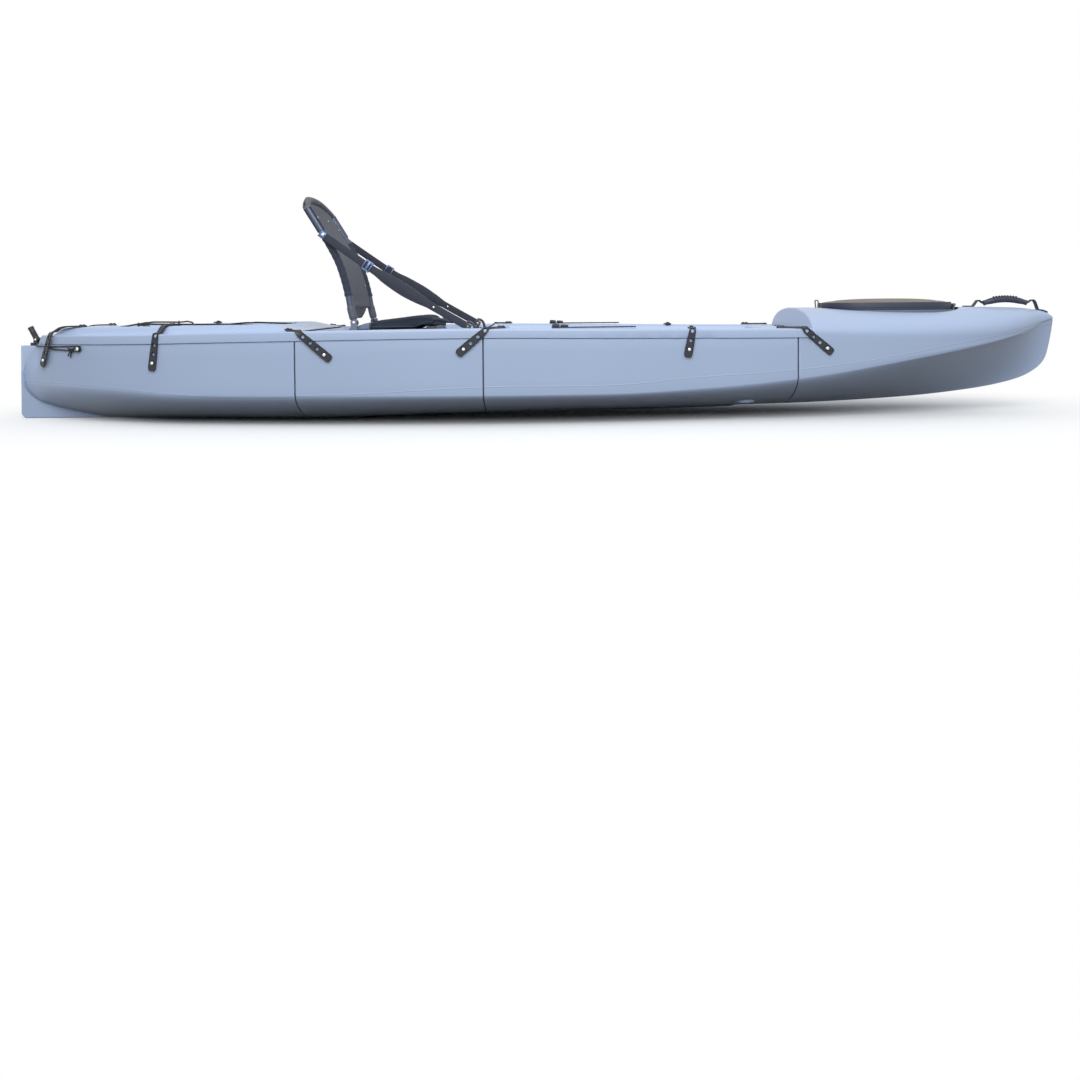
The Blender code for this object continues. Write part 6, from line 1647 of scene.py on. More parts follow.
braid = skin_group(braid_skin, Strands=8.0, Fleck=0.5)
cord_skin = material("stern_cord", (0.020, 0.020, 0.024), 0.7, braid, vary=0.6, bump=0.5, depth=0.0005)
post_z, lead = rim(POST_X) - POST_DROP, SKEG_TOP - 0.001
ring = POST_RADIUS + CORD_RADIUS + 2 * GAP
leaving = ((-0.003, 0.0135, 0.005), (-0.002, 0.0185, 0.005), (0.007, 0.0235, 0.004), (0.017, 0.0395, 0.0))
for way, side in SIDES:
    foot, out = side_hit(POST_X, post_z, side)
    route = [Vector((TOGGLE_X + x, side * y, SKEG_TOP + z)) for x, y, z in leaving]
    for back in (0.073, 0.095, 0.12, 0.15, 0.21):
        share = max(0.0, (STERN + back - SPLIT_X) / (POST_X - SPLIT_X))
        route.append(beside(STERN + back, lead + (post_z + ring - lead) * share, side))
    forward = UP.cross(out)
    forward *= 1 if forward.x > 0 else -1
    centre = foot + out * (0.008 - CORD_RADIUS - GAP)
    for a in [radians(turn) for turn in (90, 45, 0, -45, -90)]:
        route.append(centre + forward * (ring * cos(a)) + UP * (ring * sin(a)))
    returning, low = [], lead - 0.008
    for x in (POST_X - 0.034, STERN + 0.20, STERN + 0.165):
        share = (x - SPLIT_X) / (POST_X - SPLIT_X)
        returning.append(beside(x, low + (post_z - ring - low) * share, side))
    route += returning + [beside(STERN + 0.146, lead - 0.0045, side), beside(STERN + 0.136, lead - 0.0008, side)]
    name = f"stern_cord_{way}"
    bar(name + "_braid", softened(route, 0.003), CORD_RADIUS, cord_skin, "hull", node=name)
    post = bmesh.new()
    swept(post, [foot + out * far for far in (GAP, 0.004, 0.009)], 0.0058, 24)
    washer = [foot + out * far for far in (0.0082, 0.0086, 0.0108, 0.0114)]
    swept(post, washer, lambda s: 0.0094 - 0.0008 * (s < 0.05 or s > 0.9), 28)
    fitted(new_object(f"cord_post_{way}_washer", post, 40), black_plastic, "hull", f"cord_post_{way}")
    fasteners(f"cord_post_{way}_head", [(foot + out * 0.0112, out)], "hull", bright, 0.0062, 0.0030, 0.003, 0.003)
    tie = returning[0] + out * 0.002 + UP * 0.003
    knot, turns = bmesh.new(), []
    for t in [2 * pi * i / 56 for i in range(57)]:
        round_x, round_z = 0.0085 * sin(t) + 0.0045 * sin(2 * t), 0.0070 * cos(t) - 0.0042 * cos(2 * t)
        turns.append(tie + Vector((round_x, side * (0.0016 + 0.0030 * sin(3 * t)), round_z)))
    swept(knot, turns, CORD_RADIUS, 10)
    for lean, drop in ((-0.017, 0.021), (-0.004, 0.026)):
        end = beside(tie.x + lean, tie.z - drop, side)
        swept(knot, softened([tie, tie.lerp(end, 0.5) + out * 0.002, end], 0.002), CORD_RADIUS * 0.9, 10)
    fitted(new_object(name + "_knot", knot, 40), cord_skin, "hull")

# Bungee
# One elastic cord is laced to and fro across the stern lid. It lies in eight small moulded hooks that are
# screwed down along the plateau's edges, and crosses over itself in the middle of the tray.
BUNGEE_RADIUS, BUNGEE_HEIGHT = 0.003, 0.0133
BUNGEE_EYES = ((STERN + 0.92, 0.215), (STERN + 0.70, 0.215), (STERN + 0.485, 0.205), (STERN + 0.39, 0.150))
BUNGEE_LEGS = (((0, -1), (1, 1), (2, -1), (3, 1)), ((3, -1), (2, 1), (1, -1), (0, 1)))


def hook_tree():
    """A round foot, a post and a curled hook on every point, opening the way the point faces."""
    tree, add, link, values = geometry_tree(
        "deck_hooks", Foot_Radius=0.0082, Post_Radius=0.0046, Post_Height=0.0098, Bar=0.0016
    )
    foot = add("GeometryNodeMeshCylinder", Vertices=24, Depth=0.005)
    link(values["Foot_Radius"], foot.inputs["Radius"])
    post = upright_bar(add, link, values["Post_Radius"], values["Post_Height"], 16, 0.5)
    bend, wall = add("GeometryNodeCurveArc", Resolution=14), add("GeometryNodeCurvePrimitiveCircle", Resolution=8)
    bend.inputs["Radius"].default_value = 0.0052
    bend.inputs["Start Angle"].default_value = radians(-40)
    bend.inputs["Sweep Angle"].default_value = radians(-210)
    link(values["Bar"], wall.inputs["Radius"])
    hook = add("GeometryNodeCurveToMesh")
    hook.inputs["Fill Caps"].default_value = True
    link(bend.outputs[0], hook.inputs["Curve"])
    link(wall.outputs[0], hook.inputs["Profile Curve"])
    stood = add("GeometryNodeTransform")
    stood.inputs["Rotation"].default_value = (radians(90), 0, 0)
    stood.inputs["Translation"].default_value = (0, 0, 0.0136)
    link(hook.outputs[0], stood.inputs["Geometry"])
    on_points(add, link, together(add, link, foot.outputs["Mesh"], post, stood.outputs[0]), values, "X")
    return tree


def bungee_eye(i, side, lift=0.0):
    """A hook's place on the deck, or a lift above it."""
    x, y = BUNGEE_EYES[i]
    return Vector((x, side * y, height_on(decks, x, side * y) + lift))


hook_places = [(bungee_eye(i, side), Vector((0, -side, 0))) for i in range(len(BUNGEE_EYES)) for side in (-1, 1)]
grown(
    "deck_hooks", hook_places, hook_tree(), 35, "hull", Foot_Radius=0.0082, Post_Radius=0.0046, Post_Height=0.0098,
    Bar=0.0016, Material=black_plastic,
)
route = []
for leg, stops in enumerate(BUNGEE_LEGS):
    stops = [bungee_eye(*stop, BUNGEE_HEIGHT) for stop in stops]
    over = UP * (leg * (2 * BUNGEE_RADIUS + 0.003))
    for i, stop in enumerate(stops):
        if i:
            route += [stops[i - 1].lerp(stop, share) + over for share in (0.4, 0.5, 0.6)]
        route.append(stop)
bungee_skin = material("bungee_cord", (0.030, 0.022, 0.021), 0.66, braid, vary=0.7, bump=0.5, depth=0.0005, Strands=6.0)
bar("bungee_braid", softened(route, 0.006), BUNGEE_RADIUS, bungee_skin, "hull", node="bungee_cord")

# Gear tracks
# A slotted aluminium rail is screwed along each gunwale beside the cockpit. Two clamp blocks for rod holders
# and mounts are parked at its aft end, each with a knurled bolt through it.
TRACK_START, TRACK_LENGTH = SEAM_MID + 0.219, 0.27
TRACK_SIDE = (
    (-0.010, 0.0), (-0.010, 0.0030), (-0.0088, 0.0040), (-0.0034, 0.0040), (-0.0034, 0.0030), (-0.0060, 0.0030),
    (-0.0060, 0.0012),
)
TRACK_SECTION = TRACK_SIDE + tuple((-u, v) for u, v in reversed(TRACK_SIDE))
track_skin = material("track_aluminium", (0.030, 0.033, 0.045), 0.38, brushed, vary=0.3, Metallic=0.5)
middle, half = TRACK_START + TRACK_LENGTH / 2, TRACK_LENGTH / 2
for way, side in SIDES:
    y, yaw = side * (half_breadth(middle) - GUNWALE / 2), slope_of(middle) * side
    spots = [TRACK_LENGTH * (share - 0.5) for share in (0.02, 0.3, 0.5, 0.7, 0.98)]
    deck = max(height_on(decks, middle + far, y + yaw * far) for far in spots)
    place = Matrix.Translation((middle, y, deck + GAP + 0.0002)) @ Matrix.Rotation(atan2(yaw, 1), 4, "Z")
    work = bmesh.new()
    skin(work, [[place @ Vector((x, u, v)) for u, v in TRACK_SECTION] for x in even(-half, half, 0.03)])
    for start, end, high in ((0.0, 0.024, 0.014), (0.027, 0.052, 0.012)):
        a, b = start - half, end - half
        block(work, (a, -0.0098, 0.0042), (b, 0.0098, high - 0.003), 0.0015, place)
        block(work, (a + 0.002, -0.0085, high - 0.005), (a + 0.010, 0.0085, high), 0.0015, place)
        block(work, (b - 0.009, -0.0085, high - 0.005), (b - 0.001, 0.0085, high - 0.001), 0.0015, place)
        centre = place @ Vector(((a + b) / 2, 0, high - 0.001))
        swept(work, [centre - UP * 0.003, centre, centre + UP * 0.0006], 0.0042, 12)
    fitted(new_object(f"gear_track_{way}_rail", work, 30), track_skin, "hull", f"gear_track_{way}")
    bolts = [(place @ Vector((x, 0, 0.0016)), UP) for x in (-0.06, -0.015, 0.03, 0.075, 0.12)]
    fasteners(f"gear_track_{way}_screws", bolts, "hull", bright, 0.0026, 0.0010, 0.0015, 0.003)

# Seat base and cushion
# A black moulded frame lies on the seat deck, with a raised block under its front and a grey lug each side for
# the backrest's pins. The cushion is navy canvas over foam, piped and quilted, with a pale skirt riveted behind.
SEAT_X, SEAT_HALF_WIDTH, SEAT_BASE = SEAM_AFT + 0.1645, 0.205, 0.014
SEAT_FRONT = SEAT_X + 0.2835
BACKREST_HALF_WIDTH = 0.22
BLOCK_RISE = 0.0142
CUSHION_INSET = 0.0035
seat_floor = SEAT_FLOOR + GAP
seat_pivot = Vector(joints["backrest_fold"]["pos_m"])
base_top = seat_floor + SEAT_BASE

rear, front, bar_width = SEAT_X - 0.012, SEAT_FRONT - 0.01, 0.030
work = bmesh.new()
for side in (-1, 1):
    outer, inner = side * SEAT_HALF_WIDTH, side * (SEAT_HALF_WIDTH - bar_width)
    block(work, (rear, outer, seat_floor), (front, inner, base_top), 0.003)
half, low, high = SEAT_HALF_WIDTH - 0.0002, seat_floor + 0.0002, base_top - 0.0002
for x in (rear, front - bar_width, (rear + front - bar_width) / 2):
    block(work, (x, -half, low), (x + bar_width, half, high), 0.003)
block_front = SEAT_FRONT - 0.012
for y in even(-0.185, 0.155, 0.034):
    block(work, (block_front - 0.034, y, base_top - 0.004), (block_front, y + 0.030, base_top + 0.014), 0.0025)
block(work, (block_front - 0.030, -0.184, base_top - 0.004), (block_front - 0.004, 0.184, base_top + 0.0125), 0.002)
lug_y, lug_top = BACKREST_HALF_WIDTH + 0.011 + 2 * GAP, seat_pivot.z + 0.0085
lugs = bmesh.new()
for side in (-1, 1):
    inner, outer = side * lug_y, side * (lug_y + 0.007)
    block(lugs, (SEAT_X - 0.0105, inner, seat_floor), (SEAT_X + 0.0105, outer, lug_top), 0.0055, segments=4)
    inner, outer = side * (SEAT_HALF_WIDTH - 0.012), side * (lug_y + 0.002)
    block(work, (SEAT_X - 0.011, inner, seat_floor + 0.0005), (SEAT_X + 0.012, outer, seat_floor + 0.0085), 0.0015)
    stub = [(SEAT_X, side * y, seat_pivot.z) for y in (BACKREST_HALF_WIDTH - 0.009, BACKREST_HALF_WIDTH, lug_y + 0.003)]
    swept(work, stub, 0.004, 20)
fitted(new_object("seat_base_frame", work, 30), black_plastic, "hull", "seat_base")
fitted(new_object("seat_lugs", lugs, 30), flange_skin, "hull")
bolts = [(Vector((SEAT_X, side * (lug_y + 0.0072), seat_pivot.z)), Vector((0, side, 0))) for side in (-1, 1)]
fasteners("seat_pivot_bolts", bolts, "hull", bright, 0.0052, 0.0030, 0.003, 0.003)


def canvas_skin(kit, values):
    """Plain canvas by place, not by unwrapping: fine crossed yarns, lint and soft wear."""
    math = kit.math
    waves = [math("SINE", math("MULTIPLY", far, values["Yarns"])) for far in kit.axes("Object", "XYZ")]
    yarn = math("ADD", math("MULTIPLY", math("ADD", math("ADD", waves[0], waves[1]), waves[2]), 0.16), 0.5)
    wear = math("MULTIPLY", kit.noise(24.0, 5.0), values["Wear"])
    lint = math("MULTIPLY", kit.noise(90.0, 3.0), 0.8)
    return math("ADD", math("MULTIPLY", yarn, 0.4), wear), math("ADD", 0.3, wear), math("ADD", yarn, lint)


canvas = skin_group(canvas_skin, Yarns=5200.0, Wear=0.6)
cushion_skin = material(
    "cushion_canvas", (0.019, 0.025, 0.043), 0.85, canvas, vary=0.25, bump=0.2, Specular_IOR_Level=0.25
)
sleeve_skin = material("sleeve_canvas", (0.024, 0.031, 0.054), 0.78, canvas, vary=0.3, bump=0.3, Sheen_Weight=0.1)
cushion_low = base_top + GAP
cushion_rear = SEAT_X + 0.016
middle, half = (cushion_rear + SEAT_FRONT) / 2, (SEAT_FRONT - cushion_rear) / 2
block_at = (SEAT_FRONT - 0.046 - middle) / half


def cushion_lift(u):
    """How far the cushion's underside is raised towards the block under its front."""
    return BLOCK_RISE * smooth(block_at - 0.40, block_at - 0.12, u)


work = bmesh.new()
bmesh.ops.create_cube(work, size=2.0)
bmesh.ops.subdivide_edges(work, edges=work.edges[:], cuts=22, use_grid_fill=True)
for vert in work.verts:
    u, v, w = vert.co
    pinch = 1 - 0.10 * abs(w) ** 3
    low = cushion_low + 0.0015 + cushion_lift(u)
    full = (1 - 0.55 * abs(u) ** 8) * (1 - 0.55 * abs(v) ** 4)
    high = cushion_low + BLOCK_RISE * smooth(-0.9, 0.75, u) - CUSHION_INSET + (0.030 + 0.006 * (u + 1) / 2) * full
    corner = 1 - 0.05 * (u * u * v * v) ** 2
    vert.co = (
        middle + (half - CUSHION_INSET) * u * (1 - 0.03 * (1 - v * v)) * corner * (pinch if abs(u) > 0.9 else 1),
        (SEAT_HALF_WIDTH - CUSHION_INSET) * v * (1 - 0.03 * (1 - u * u)) * corner * (pinch if abs(v) > 0.9 else 1),
        low + (max(high, low + 0.006) - low) * (w + 1) / 2,
    )
cushion = new_object("seat_cushion_canvas", work, 80)


def inflated(obj, voxel, pressure, cap):
    """Remeshes a pad and blows it up as cloth for 20 frames; no point moves further than the cap."""
    remesh = obj.modifiers.new("remesh", "REMESH")
    remesh.mode, remesh.voxel_size = "VOXEL", voxel
    start = [v.co.copy() for v in baked(obj).vertices]
    cloth = obj.modifiers.new("cloth", "CLOTH")
    cloth.settings.quality = 5
    cloth.settings.mass = 0.15
    cloth.settings.use_pressure = True
    cloth.settings.uniform_pressure_force = pressure
    cloth.settings.effector_weights.gravity = 0
    scene = bpy.context.scene
    for step in range(1, 21):
        scene.frame_set(step)
        bpy.context.view_layer.update()
    mesh = baked(obj)
    scene.frame_set(1)
    for vert, rest in zip(mesh.vertices, start):
        move = vert.co - rest
        vert.co = rest + (move.normalized() * cap if move.length > cap else move)
    finer = obj.modifiers.new("finer", "SUBSURF")
    finer.levels = finer.render_levels = 1
    baked(obj)


inflated(cushion, 0.005, 4.0, 0.006)
skirt_top = curve_through((
    (-0.0215, 0.0060), (-0.0170, 0.0105), (-0.004, 0.0138), (0.010, 0.0185), (0.030, 0.0250), (0.046, 0.0278),
))
channels = [middle + half * s for s in (-0.45, -0.03, 0.42)]
for vert in cushion.data.vertices:
    x, y, z = vert.co
    floor_here = cushion_low + cushion_lift((x - middle) / half)
    if z > floor_here + 0.014:
        edge = (1 - smooth(0.84, 0.97, abs(y) / SEAT_HALF_WIDTH)) * (1 - smooth(0.86, 0.98, abs(x - middle) / half))
        z -= 0.0030 * edge * sum(max(0.0, 1 - abs(x - line) / 0.010) ** 2 for line in channels)
    if x < SEAT_X + 0.046:
        y = min(max(y, -0.2015), 0.2015)
        z = min(z, base_top + skirt_top(x - SEAT_X) - 0.0015)
    vert.co = (x, y, max(z, floor_here))
cushion.data.shade_smooth()
fitted(cushion, cushion_skin, "hull", "seat_cushion")
cushion_tree = surface_of(cushion)


def stitch_tree():
    """A short thread on every point, lying along the way the point faces."""
    tree, add, link, values = geometry_tree("stitches", Stitch_Length=0.0028, Stitch_Width=0.0007)
    thread = add("GeometryNodeMeshUVSphere", Segments=6, Rings=5, Radius=0.5).outputs["Mesh"]
    wide = values["Stitch_Width"]
    on_points(add, link, changed(add, link, thread, "Scale", values["Stitch_Length"], wide, wide), values, "X")
    return tree


stitches = stitch_tree()
thread_skin = material("thread", (0.055, 0.062, 0.085), 0.6, woven, vary=0.2)


def sewn(name, places, body=None):
    """One piece of stitches, each lying along its way."""
    return grown(name, places, stitches, 60, body, Stitch_Length=0.0028, Stitch_Width=0.0007, Material=thread_skin)


rows = []
for line in channels:
    for y in even(-0.172, 0.172, 0.0045):
        rows.append((Vector((line, y, height_on(cushion_tree, line, y) + 0.0001)), PORT))
sewn("cushion_stitches", rows, "hull")
piping = []
for i in range(72):
    a = 2 * pi * i / 72
    way = Vector((cos(a), sin(a), 0))
    height = cushion_low + cushion_lift(max(-1.0, min(1.0, cos(a) * 1.2))) + 0.012
    hit = cushion_tree.ray_cast(Vector((middle, 0, height)) + way * 0.4, -way)[0]
    if hit:
        piping.append(hit + way * 0.0004)
bar("cushion_piping", softened(piping + piping[:1], 0.004), 0.0023, web_skin, "hull", 10, sharp=50)

pale_canvas = material("skirt_canvas", (0.15, 0.19, 0.29), 0.7, canvas, vary=0.2, bump=0.3)
rings = []
for x in (-0.0215, -0.0205, -0.0170, -0.011, -0.004, 0.003, 0.010, 0.020, 0.030, 0.040, 0.045, 0.046):
    thick, wide = (skirt_top(x) - 0.0006) / 2, 0.2045 - 0.006 * (x < -0.021) - 0.003 * (x > 0.0455)
    level = base_top + 0.0006 + thick
    rings.append([(SEAT_X + x, u, level + v + 0.0004 * sin(u * 60)) for u, v in oval(wide, thick, 72, 7.0)])
fitted(lofted("cushion_skirt", rings, 50), pale_canvas, "hull")
behind, ahead = Vector((-0.35, 0, 1)).normalized(), Vector((0.2, 0, 1)).normalized()
rivets = [(Vector((SEAT_X + 0.001, side * 0.190, base_top + 0.0152)), behind) for side in (-1, 1)]
upper = ((-0.024, 0.0205), (0.0, 0.0200), (0.016, 0.0170), (0.0290, 0.0120))
lower = ((-0.020, 0.0090), (0.004, 0.0085), (0.0200, 0.0060))
for way, side in SIDES:
    y, level = side * (SEAT_HALF_WIDTH - 0.020), cushion_low + BLOCK_RISE
    work = bmesh.new()
    for tab in (upper, lower):
        line = softened([(SEAT_FRONT + x, y, level + z) for x, z in tab], 0.002)
        swept(work, line, lambda s: 0.0135 * (1 - (max(0.0, s - 0.8) / 0.2) ** 2 * 0.5), 24, 0.5)
    fitted(new_object(f"cushion_tab_{way}", work, 50), sleeve_skin, "hull")
    rivets.append((Vector((SEAT_FRONT + 0.008, y, level + 0.0252)), ahead))
fasteners("cushion_rivets", rivets, "hull", bright, 0.0046, 0.0020, 0.002, 0.003)

# Backrest
# A coated aluminium hoop folds on two pins. Its rails wear grey collars and canvas sleeves, the top is wrapped
# in the panel's own mesh, and the ribbed panel is stretched between the rails. A dark flap at its foot is painted
# shade: a dark canvas sheet standing where the panel's curved-under bottom lies in shade.
RAIL = ((0.0, 0.0), (-0.012, 0.05), (-0.0205, 0.098), (-0.0465, 0.191), (-0.0925, 0.282), (-0.1575, 0.390))
RAIL_TOP, TOP_ARCH, TOP_LEAN, TUBE = 0.390, 0.036, 0.54, 0.0115
PANEL_LOW, PANEL_HIGH, PANEL_THICK = 0.052, 0.392, 0.008
CREST_RADIUS = 0.0128
WEB_TOP_RISE = 0.295
rail_x = curve_through([(z, x) for x, z in RAIL])


def arch_rise(share):
    """Height of the hoop's top over the rails' ends, by share of its half width."""
    return TOP_ARCH * (1 - abs(share) ** 2.4)


def hoop_point(share, side):
    """The hoop's centre: up to 1 a share of the rail's rise, above it the top arch."""
    wide = min(1.0, 2 - share)
    low = RAIL_TOP * min(share, 1.0)
    lean = TOP_LEAN * arch_rise(wide)
    return seat_pivot + Vector((rail_x(low) - lean, side * BACKREST_HALF_WIDTH * wide, low + arch_rise(wide)))


def rail_point(rise, side):
    """The hoop's centre at a rise up one of its rails."""
    return hoop_point(rise / RAIL_TOP, side)


def across_hoop(shares):
    """The hoop from a share on the starboard rail over the top to the same one on port."""
    half_way = [hoop_point(s, -1) for s in shares]
    return half_way + [Vector((p.x, -p.y, p.z)) for p in reversed(half_way)]


tube_skin = material("hoop_aluminium", (0.070, 0.088, 0.130), 0.36, brushed, vary=0.2, rough=0.12, Metallic=0.6)
collar_skin = material("collar_plastic", (0.075, 0.085, 0.11), 0.5, moulded, vary=0.2, bump=0.2)
top_shares = [1.0, 1.03, 1.08, 1.14, 1.22, 1.30, 1.40, 1.52, 1.66, 1.82]
work = bmesh.new()
swept(work, softened(across_hoop([0.027] + even(0.06, 0.98, 0.02) + top_shares), 0.006), TUBE, 20)
for side in (-1, 1):
    ends = [seat_pivot + Vector((0, side * (BACKREST_HALF_WIDTH + y), 0)) for y in even(-0.011, 0.011, 0.0022)]
    swept(work, ends, lambda s: 0.013 - 0.0012 * (s < 0.04 or s > 0.96), 24)
    rail = seat_pivot + Vector((rail_x(WEB_TOP_RISE), side * (BACKREST_HALF_WIDTH + 0.006), WEB_TOP_RISE))
    swept(work, [rail, rail + Vector((0, side * 0.0135, 0))], 0.0080, 20)
hoop_piece = new_object("backrest_hoop", work, 40)
drilled(hoop_piece, [seat_pivot + Vector((0, y, 0)) for y in (-0.26, -0.1, 0.1, 0.26)], 0.0048, 20)
fitted(hoop_piece, tube_skin, "backrest", "backrest_frame")
bolts, edges = [], []
for way, side in SIDES:
    out = Vector((0, side, 0))
    collar = [rail_point(rise, side) for rise in even(0.013, 0.054, 0.004)]
    bar(f"hoop_collar_{way}", collar, lambda s: 0.0134 - 0.0008 * (s < 0.06 or s > 0.94), collar_skin, "backrest", 24)
    sleeve = [rail_point(rise, side) for rise in even(0.090, 0.287, 0.005)]
    girth = lambda s: 0.0127 + 0.0005 * sin(s * 60) + 0.0009 * (s < 0.03 or s > 0.97)
    bar(f"rail_sleeve_{way}", sleeve, girth, sleeve_skin, "backrest", 24)
    bolt = Vector((rail_x(WEB_TOP_RISE), side * (BACKREST_HALF_WIDTH + 0.0255), WEB_TOP_RISE))
    bolts.append((seat_pivot + bolt, out))
    opening = []
    for share in [rise / RAIL_TOP for rise in even(0.308, 0.386, 0.006)]:
        point = hoop_point(share, side)
        opening.append((point, (hoop_point(share + 0.01, side) - point).normalized()))
    for name, turn in (("aft", -0.9), ("fore", 0.9)):
        hem = [p + (out * 0.45 + run.cross(PORT) * turn) * 0.0122 for p, run in opening]
        bar(f"sleeve_hem_{way}_{name}", hem, 0.0026, sleeve_skin, "backrest", 10)
    edges.append(opening[-1])
fasteners("bracket_bolts", bolts, "backrest", bright, 0.0055, 0.0030, 0.0035, 0.006)
tape_skin = material("edge_tape", (0.30, 0.24, 0.19), 0.7, canvas, vary=0.2)
grown("sleeve_edges", edges, ribs, 60, "backrest", Rib_Radius=0.0130, Rib_Thickness=0.0018, Material=tape_skin)

panel_half = BACKREST_HALF_WIDTH - TUBE - 0.0008


def panel_point(share, rise):
    """A point of the panel's middle surface, from side to side and by rise; its top follows the hoop."""
    late = smooth(0.30, PANEL_HIGH, rise)
    here = rise + late * (RAIL_TOP + arch_rise(share * 0.95) - 0.005 - PANEL_HIGH)
    reach = panel_half * share * (1 - 0.02 * late)
    x = rail_x(min(here, RAIL_TOP)) - TOP_LEAN * max(0.0, here - RAIL_TOP)
    return seat_pivot + Vector((x - 0.016 * (1 - share * share) * (1 - 0.8 * late), reach, here))


columns = even(-1.0, 1.0, 2 / 136)
middles = even(PANEL_LOW + 0.006, PANEL_HIGH - 0.006, 0.007)
rings = []
for rise in [PANEL_LOW, PANEL_LOW + 0.0015] + middles + [PANEL_HIGH - 0.0015, PANEL_HIGH]:
    low, high = rise - PANEL_LOW, PANEL_HIGH - rise
    ends, front_side, back_side = min(1.0, 0.35 + min(low, high) / 0.004), [], []
    for share in columns:
        point = panel_point(share, rise)
        thick = PANEL_THICK / 2 * ends * max(0.3, (1 - abs(share) ** 10) ** 0.5)
        fade = smooth(0.02, 0.05, 1 - abs(share)) * smooth(0.008, 0.03, low) * smooth(0.008, 0.03, high)
        groove = 0.0019 * (1 - abs(sin(pi * share * 17)) ** 0.6) * fade
        front_side.append(point + Vector((thick - groove, 0, 0)))
        back_side.append(point - Vector((thick - groove, 0, 0)))
    rings.append(front_side + back_side[::-1])
panel = lofted("backrest_mesh_panel", rings, 60)


def knit_skin(kit, values):
    """Open knitted mesh: rows of small holes between thicker ribs, painted darker in the holes as painted shade, dusty
    on the high yarns.
    """
    math = kit.math
    waves = [math("SINE", math("MULTIPLY", far, values["Holes"])) for far in kit.axes("Object", "YZ")]
    holes = math("MULTIPLY", *waves)
    dust = math("MULTIPLY", kit.noise(30.0, 4.0), values["Dust"])
    # The holes are darkened in colour: painted shade seen through them.
    hole_shade = math("MULTIPLY", math("GREATER_THAN", holes, 0.35), 0.3)
    tone = math("SUBTRACT", math("ADD", 0.45, dust), hole_shade)
    return tone, math("ADD", 0.3, dust), math("SUBTRACT", 1.0, math("MAXIMUM", holes, 0.0))


knit_group = skin_group(knit_skin, Holes=2100.0, Dust=0.5)
knit = material("panel_knit", (0.105, 0.110, 0.132), 0.75, knit_group, vary=0.25, bump=0.3, depth=0.0005)
fitted(panel, knit, "backrest", "backrest_panel")
crest = softened(across_hoop([0.988] + top_shares), 0.006)
bar("hoop_crest_sleeve", crest, lambda s: CREST_RADIUS + 0.0004 * sin(s * 130), knit, "backrest", 24)
ridge, over = [], Vector((-TOP_LEAN, 0, 1)).normalized() * CREST_RADIUS
for p in crest[2:-2]:
    out = (1 if p.y > 0 else -1) * CREST_RADIUS * smooth(0.19, 0.22, abs(p.y))
    ridge.append(p + over * min(1.0, (BACKREST_HALF_WIDTH + 0.012 - abs(p.y)) / 0.02) + Vector((0, out, 0)))
bar("crest_piping", ridge, 0.0030, sleeve_skin, "backrest", 10)
rises = even(PANEL_HIGH - 0.03, PANEL_LOW + 0.01, 0.012)
edge = [panel_point(1.0, rise) for rise in rises] + [panel_point(s, PANEL_LOW) for s in even(1.0, -1.0, 0.08)]
edge += [panel_point(-1.0, rise) for rise in reversed(rises)]
bar("panel_binding", edge, 0.0050, sleeve_skin, "backrest", 12, 0.62)
# The flap is painted shade: a dark canvas sheet under the panel's foot, where its curved-under bottom lies in shade.
rings, skin_deep = [], Vector((0.0014, 0, 0))
for drop, wide in ((-0.008, 0.150), (0.0, 0.150), (0.012, 0.146), (0.024, 0.128), (0.034, 0.100), (0.040, 0.075)):
    row = []
    for s in even(-1.0, 1.0, 0.1):
        row.append(panel_point(s * wide / panel_half, PANEL_LOW) + Vector((0.0012 * sin(s * 9 + drop * 90), 0, -drop)))
    rings.append([p + skin_deep for p in row] + [p - skin_deep for p in reversed(row)])
fitted(lofted("panel_flap", rings, 50), sleeve_skin, "backrest")
grommets = []
for share, rise in ((-0.90, 0.335), (0.90, 0.335), (-0.90, 0.13), (0.90, 0.13), (-0.45, 0.350), (0.45, 0.350)):
    for way in (1, -1):
        ahead = Vector((way, 0, 0.35 * way)).normalized()
        grommets.append((panel_point(share, rise) + ahead * 0.0034, ahead))
fasteners("panel_grommets", grommets, "backrest", bright, 0.0036, 0.0012, 0.002, 0.002)

# Seat straps
# Webbing runs from a bracket bolted to each rail, through a bright slider, down to a clip on the deck. Its
# middle is doubled over a soft pad and sewn along both edges, and a rivet closes the pad's lower end.
WEB_WIDTH, WEB_THICKNESS, WEB_SAG = 0.025, 0.003, 0.012
WEB_TOP_Y, WEB_ANCHOR_Y = BACKREST_HALF_WIDTH + TUBE + 0.0115, BACKREST_HALF_WIDTH + 0.070
WEB_ANCHOR_X, WEB_ANCHOR_RISE = SEAT_X + 0.3755, 0.032
web_wide = curve_through((
    (0, 1), (0.35, 1), (0.385, 1.05), (0.46, 1.5), (0.58, 1.75), (0.68, 1.45), (0.765, 1.0), (1, 1),
))
web_thick = curve_through((
    (0, 1), (0.36, 1), (0.40, 1.8), (0.46, 2.8), (0.58, 3.2), (0.68, 2.5), (0.76, 1.3), (0.78, 1), (1, 1),
))


def width_at(share):
    return WEB_WIDTH * web_wide(share)


def thickness_at(share):
    return WEB_THICKNESS * web_thick(share)


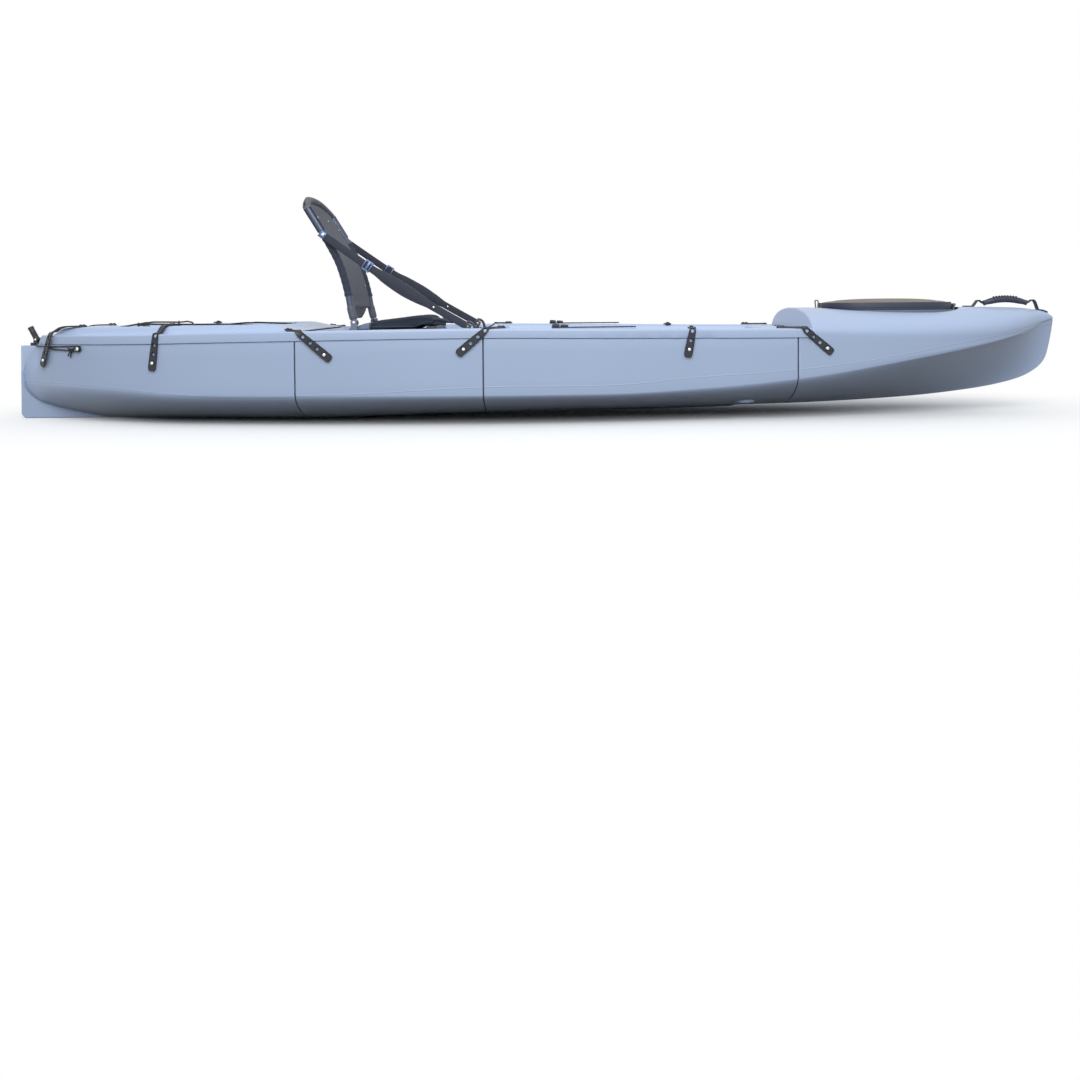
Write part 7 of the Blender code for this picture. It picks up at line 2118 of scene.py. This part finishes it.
slider_skin = material("slider_steel", (0.10, 0.14, 0.25), 0.3, brushed, vary=0.2, Metallic=0.8)
for way, side in SIDES:
    anchor = Vector((WEB_ANCHOR_X, side * WEB_ANCHOR_Y, seat_floor + WEB_ANCHOR_RISE))
    top_at = seat_pivot + Vector((rail_x(WEB_TOP_RISE), side * WEB_TOP_Y, WEB_TOP_RISE))
    top_at -= (anchor - top_at).normalized() * 0.012
    run = anchor - top_at
    out = Vector((0, side, 0))
    out = (out - run.normalized() * out.dot(run.normalized())).normalized()

    def strap_frame(share):
        """The strap's point, its ways across and out, and its run, by share of its length."""
        along = (run - UP * (WEB_SAG * pi * cos(pi * share))).normalized()
        return top_at + run * share - UP * (WEB_SAG * sin(pi * share)), out.cross(along).normalized(), out, along

    def standing(share):
        """A place on the strap for small hardware: x along it, y across, z out."""
        point, across, normal, along = strap_frame(share)
        return Matrix.Translation(point) @ Matrix((along, across, normal)).transposed().to_4x4()

    def blended(piece):
        """Bakes a piece's placement into its mesh."""
        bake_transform(piece)

    work = bmesh.new()
    ribbon(work, [strap_frame(s)[:3] for s in even(0.0, 1.0, 0.0075)], width_at, thickness_at)
    strap = new_object(f"seat_strap_{way}_webbing", work, 50)
    blended(fitted(strap, web_skin, None, f"seat_strap_{way}"))
    threads = []
    for s in even(0.40, 0.765, 0.0068):
        point, across, normal, along = strap_frame(s)
        high = thickness_at(s) / 2 - 0.0001
        for edge in (-0.40, 0.40):
            threads += [(point + across * (width_at(s) * edge) + normal * (high * face), along) for face in (-1, 1)]
    for s in (0.075, 0.10, 0.125, 0.93, 0.95):
        point, across, normal, along = strap_frame(s)
        high = WEB_THICKNESS / 2 - 0.0001
        for reach in even(-0.38, 0.38, 0.13):
            threads += [(point + across * (WEB_WIDTH * reach) + normal * (high * face), across) for face in (-1, 1)]
    blended(sewn(f"seat_strap_{way}_stitches", threads))

    work = bmesh.new()
    place = standing(0.33)
    wide, thick = WEB_WIDTH / 2 + 0.0006, WEB_THICKNESS / 2 + 0.0006
    for x in (-0.015, 0.0105):
        for z in (-thick - 0.002, thick):
            block(work, (x, -wide - 0.004, z), (x + 0.0045, wide + 0.004, z + 0.002), 0.0008, place)
    for y in (-wide - 0.005, wide):
        block(work, (-0.015, y, -thick - 0.002), (0.015, y + 0.005, thick + 0.002), 0.0014, place)
    block(work, (-0.003, -wide - 0.002, thick - 0.0002), (0.006, wide + 0.002, thick + 0.0026), 0.0012, place)
    blended(fitted(new_object(f"seat_slider_{way}", work, 30), slider_skin, None, f"seat_buckle_{way}"))
    point, _, normal, _ = strap_frame(0.785)
    rivets = [(point + normal * (face * WEB_THICKNESS * 0.56), normal * face) for face in (-1, 1)]
    blended(fasteners(f"seat_strap_{way}_rivet", rivets, None, bright, 0.0034, 0.0014, 0.0015, 0.001))

    work = bmesh.new()
    place = standing(0.016)
    for z in (-0.0035, 0.0018):
        block(work, (-0.009, -0.0105, z), (0.013, 0.0105, z + 0.0016), 0.0006, place)
    fitted(new_object(f"rail_bracket_{way}", work, 30), slider_skin, "backrest")

    along = strap_frame(1.0)[3]
    up = out.cross(along).normalized()
    up *= 1 if up.z > 0 else -1
    place = Matrix.Translation(anchor) @ Matrix((along, up, along.cross(up))).transposed().to_4x4()
    work = bmesh.new()
    block(work, (GAP, -0.010, -0.006), (0.006, 0.010, 0.006), 0.002, place)
    block(work, (0.004, -0.010, -0.0055), (0.020, -0.004, 0.0055), 0.002, place)
    block(work, (0.004, 0.0035, -0.0055), (0.020, 0.010, 0.0055), 0.002, place)
    block(work, (0.013, -0.0075, -0.0048), (0.020, 0.0075, 0.0048), 0.002, place)
    lever = [(0.001, 0.011), (0.008, 0.0155), (0.018, 0.0165), (0.028, 0.0120), (0.037, 0.0030), (0.0425, -0.0085)]
    swept(work, softened([place @ Vector((x, z, 0)) for x, z in lever], 0.002), 0.0032, 12, 1.5)
    x, y, z = anchor + along * 0.010
    block(work, (x - 0.006, y - 0.005, seat_floor + 0.001), (x + 0.006, y + 0.005, z), 0.0018)
    block(work, (x - 0.022, y - 0.013, seat_floor), (x + 0.022, y + 0.013, seat_floor + 0.005), 0.0018)
    swept(work, [(x + 0.011, y + d, seat_floor + 0.010) for d in (-0.011, 0.0, 0.011)], 0.0032, 14)
    fitted(new_object(f"seat_clip_{way}", work, 30), black_plastic, "hull", f"seat_anchor_{way}")
    screws = [(Vector((x + d, y, seat_floor + 0.005)), UP) for d in (-0.016, 0.018)]
    fasteners(f"seat_clip_{way}_screws", screws, "hull", bright, 0.0032, 0.0012, 0.0015, 0.003)
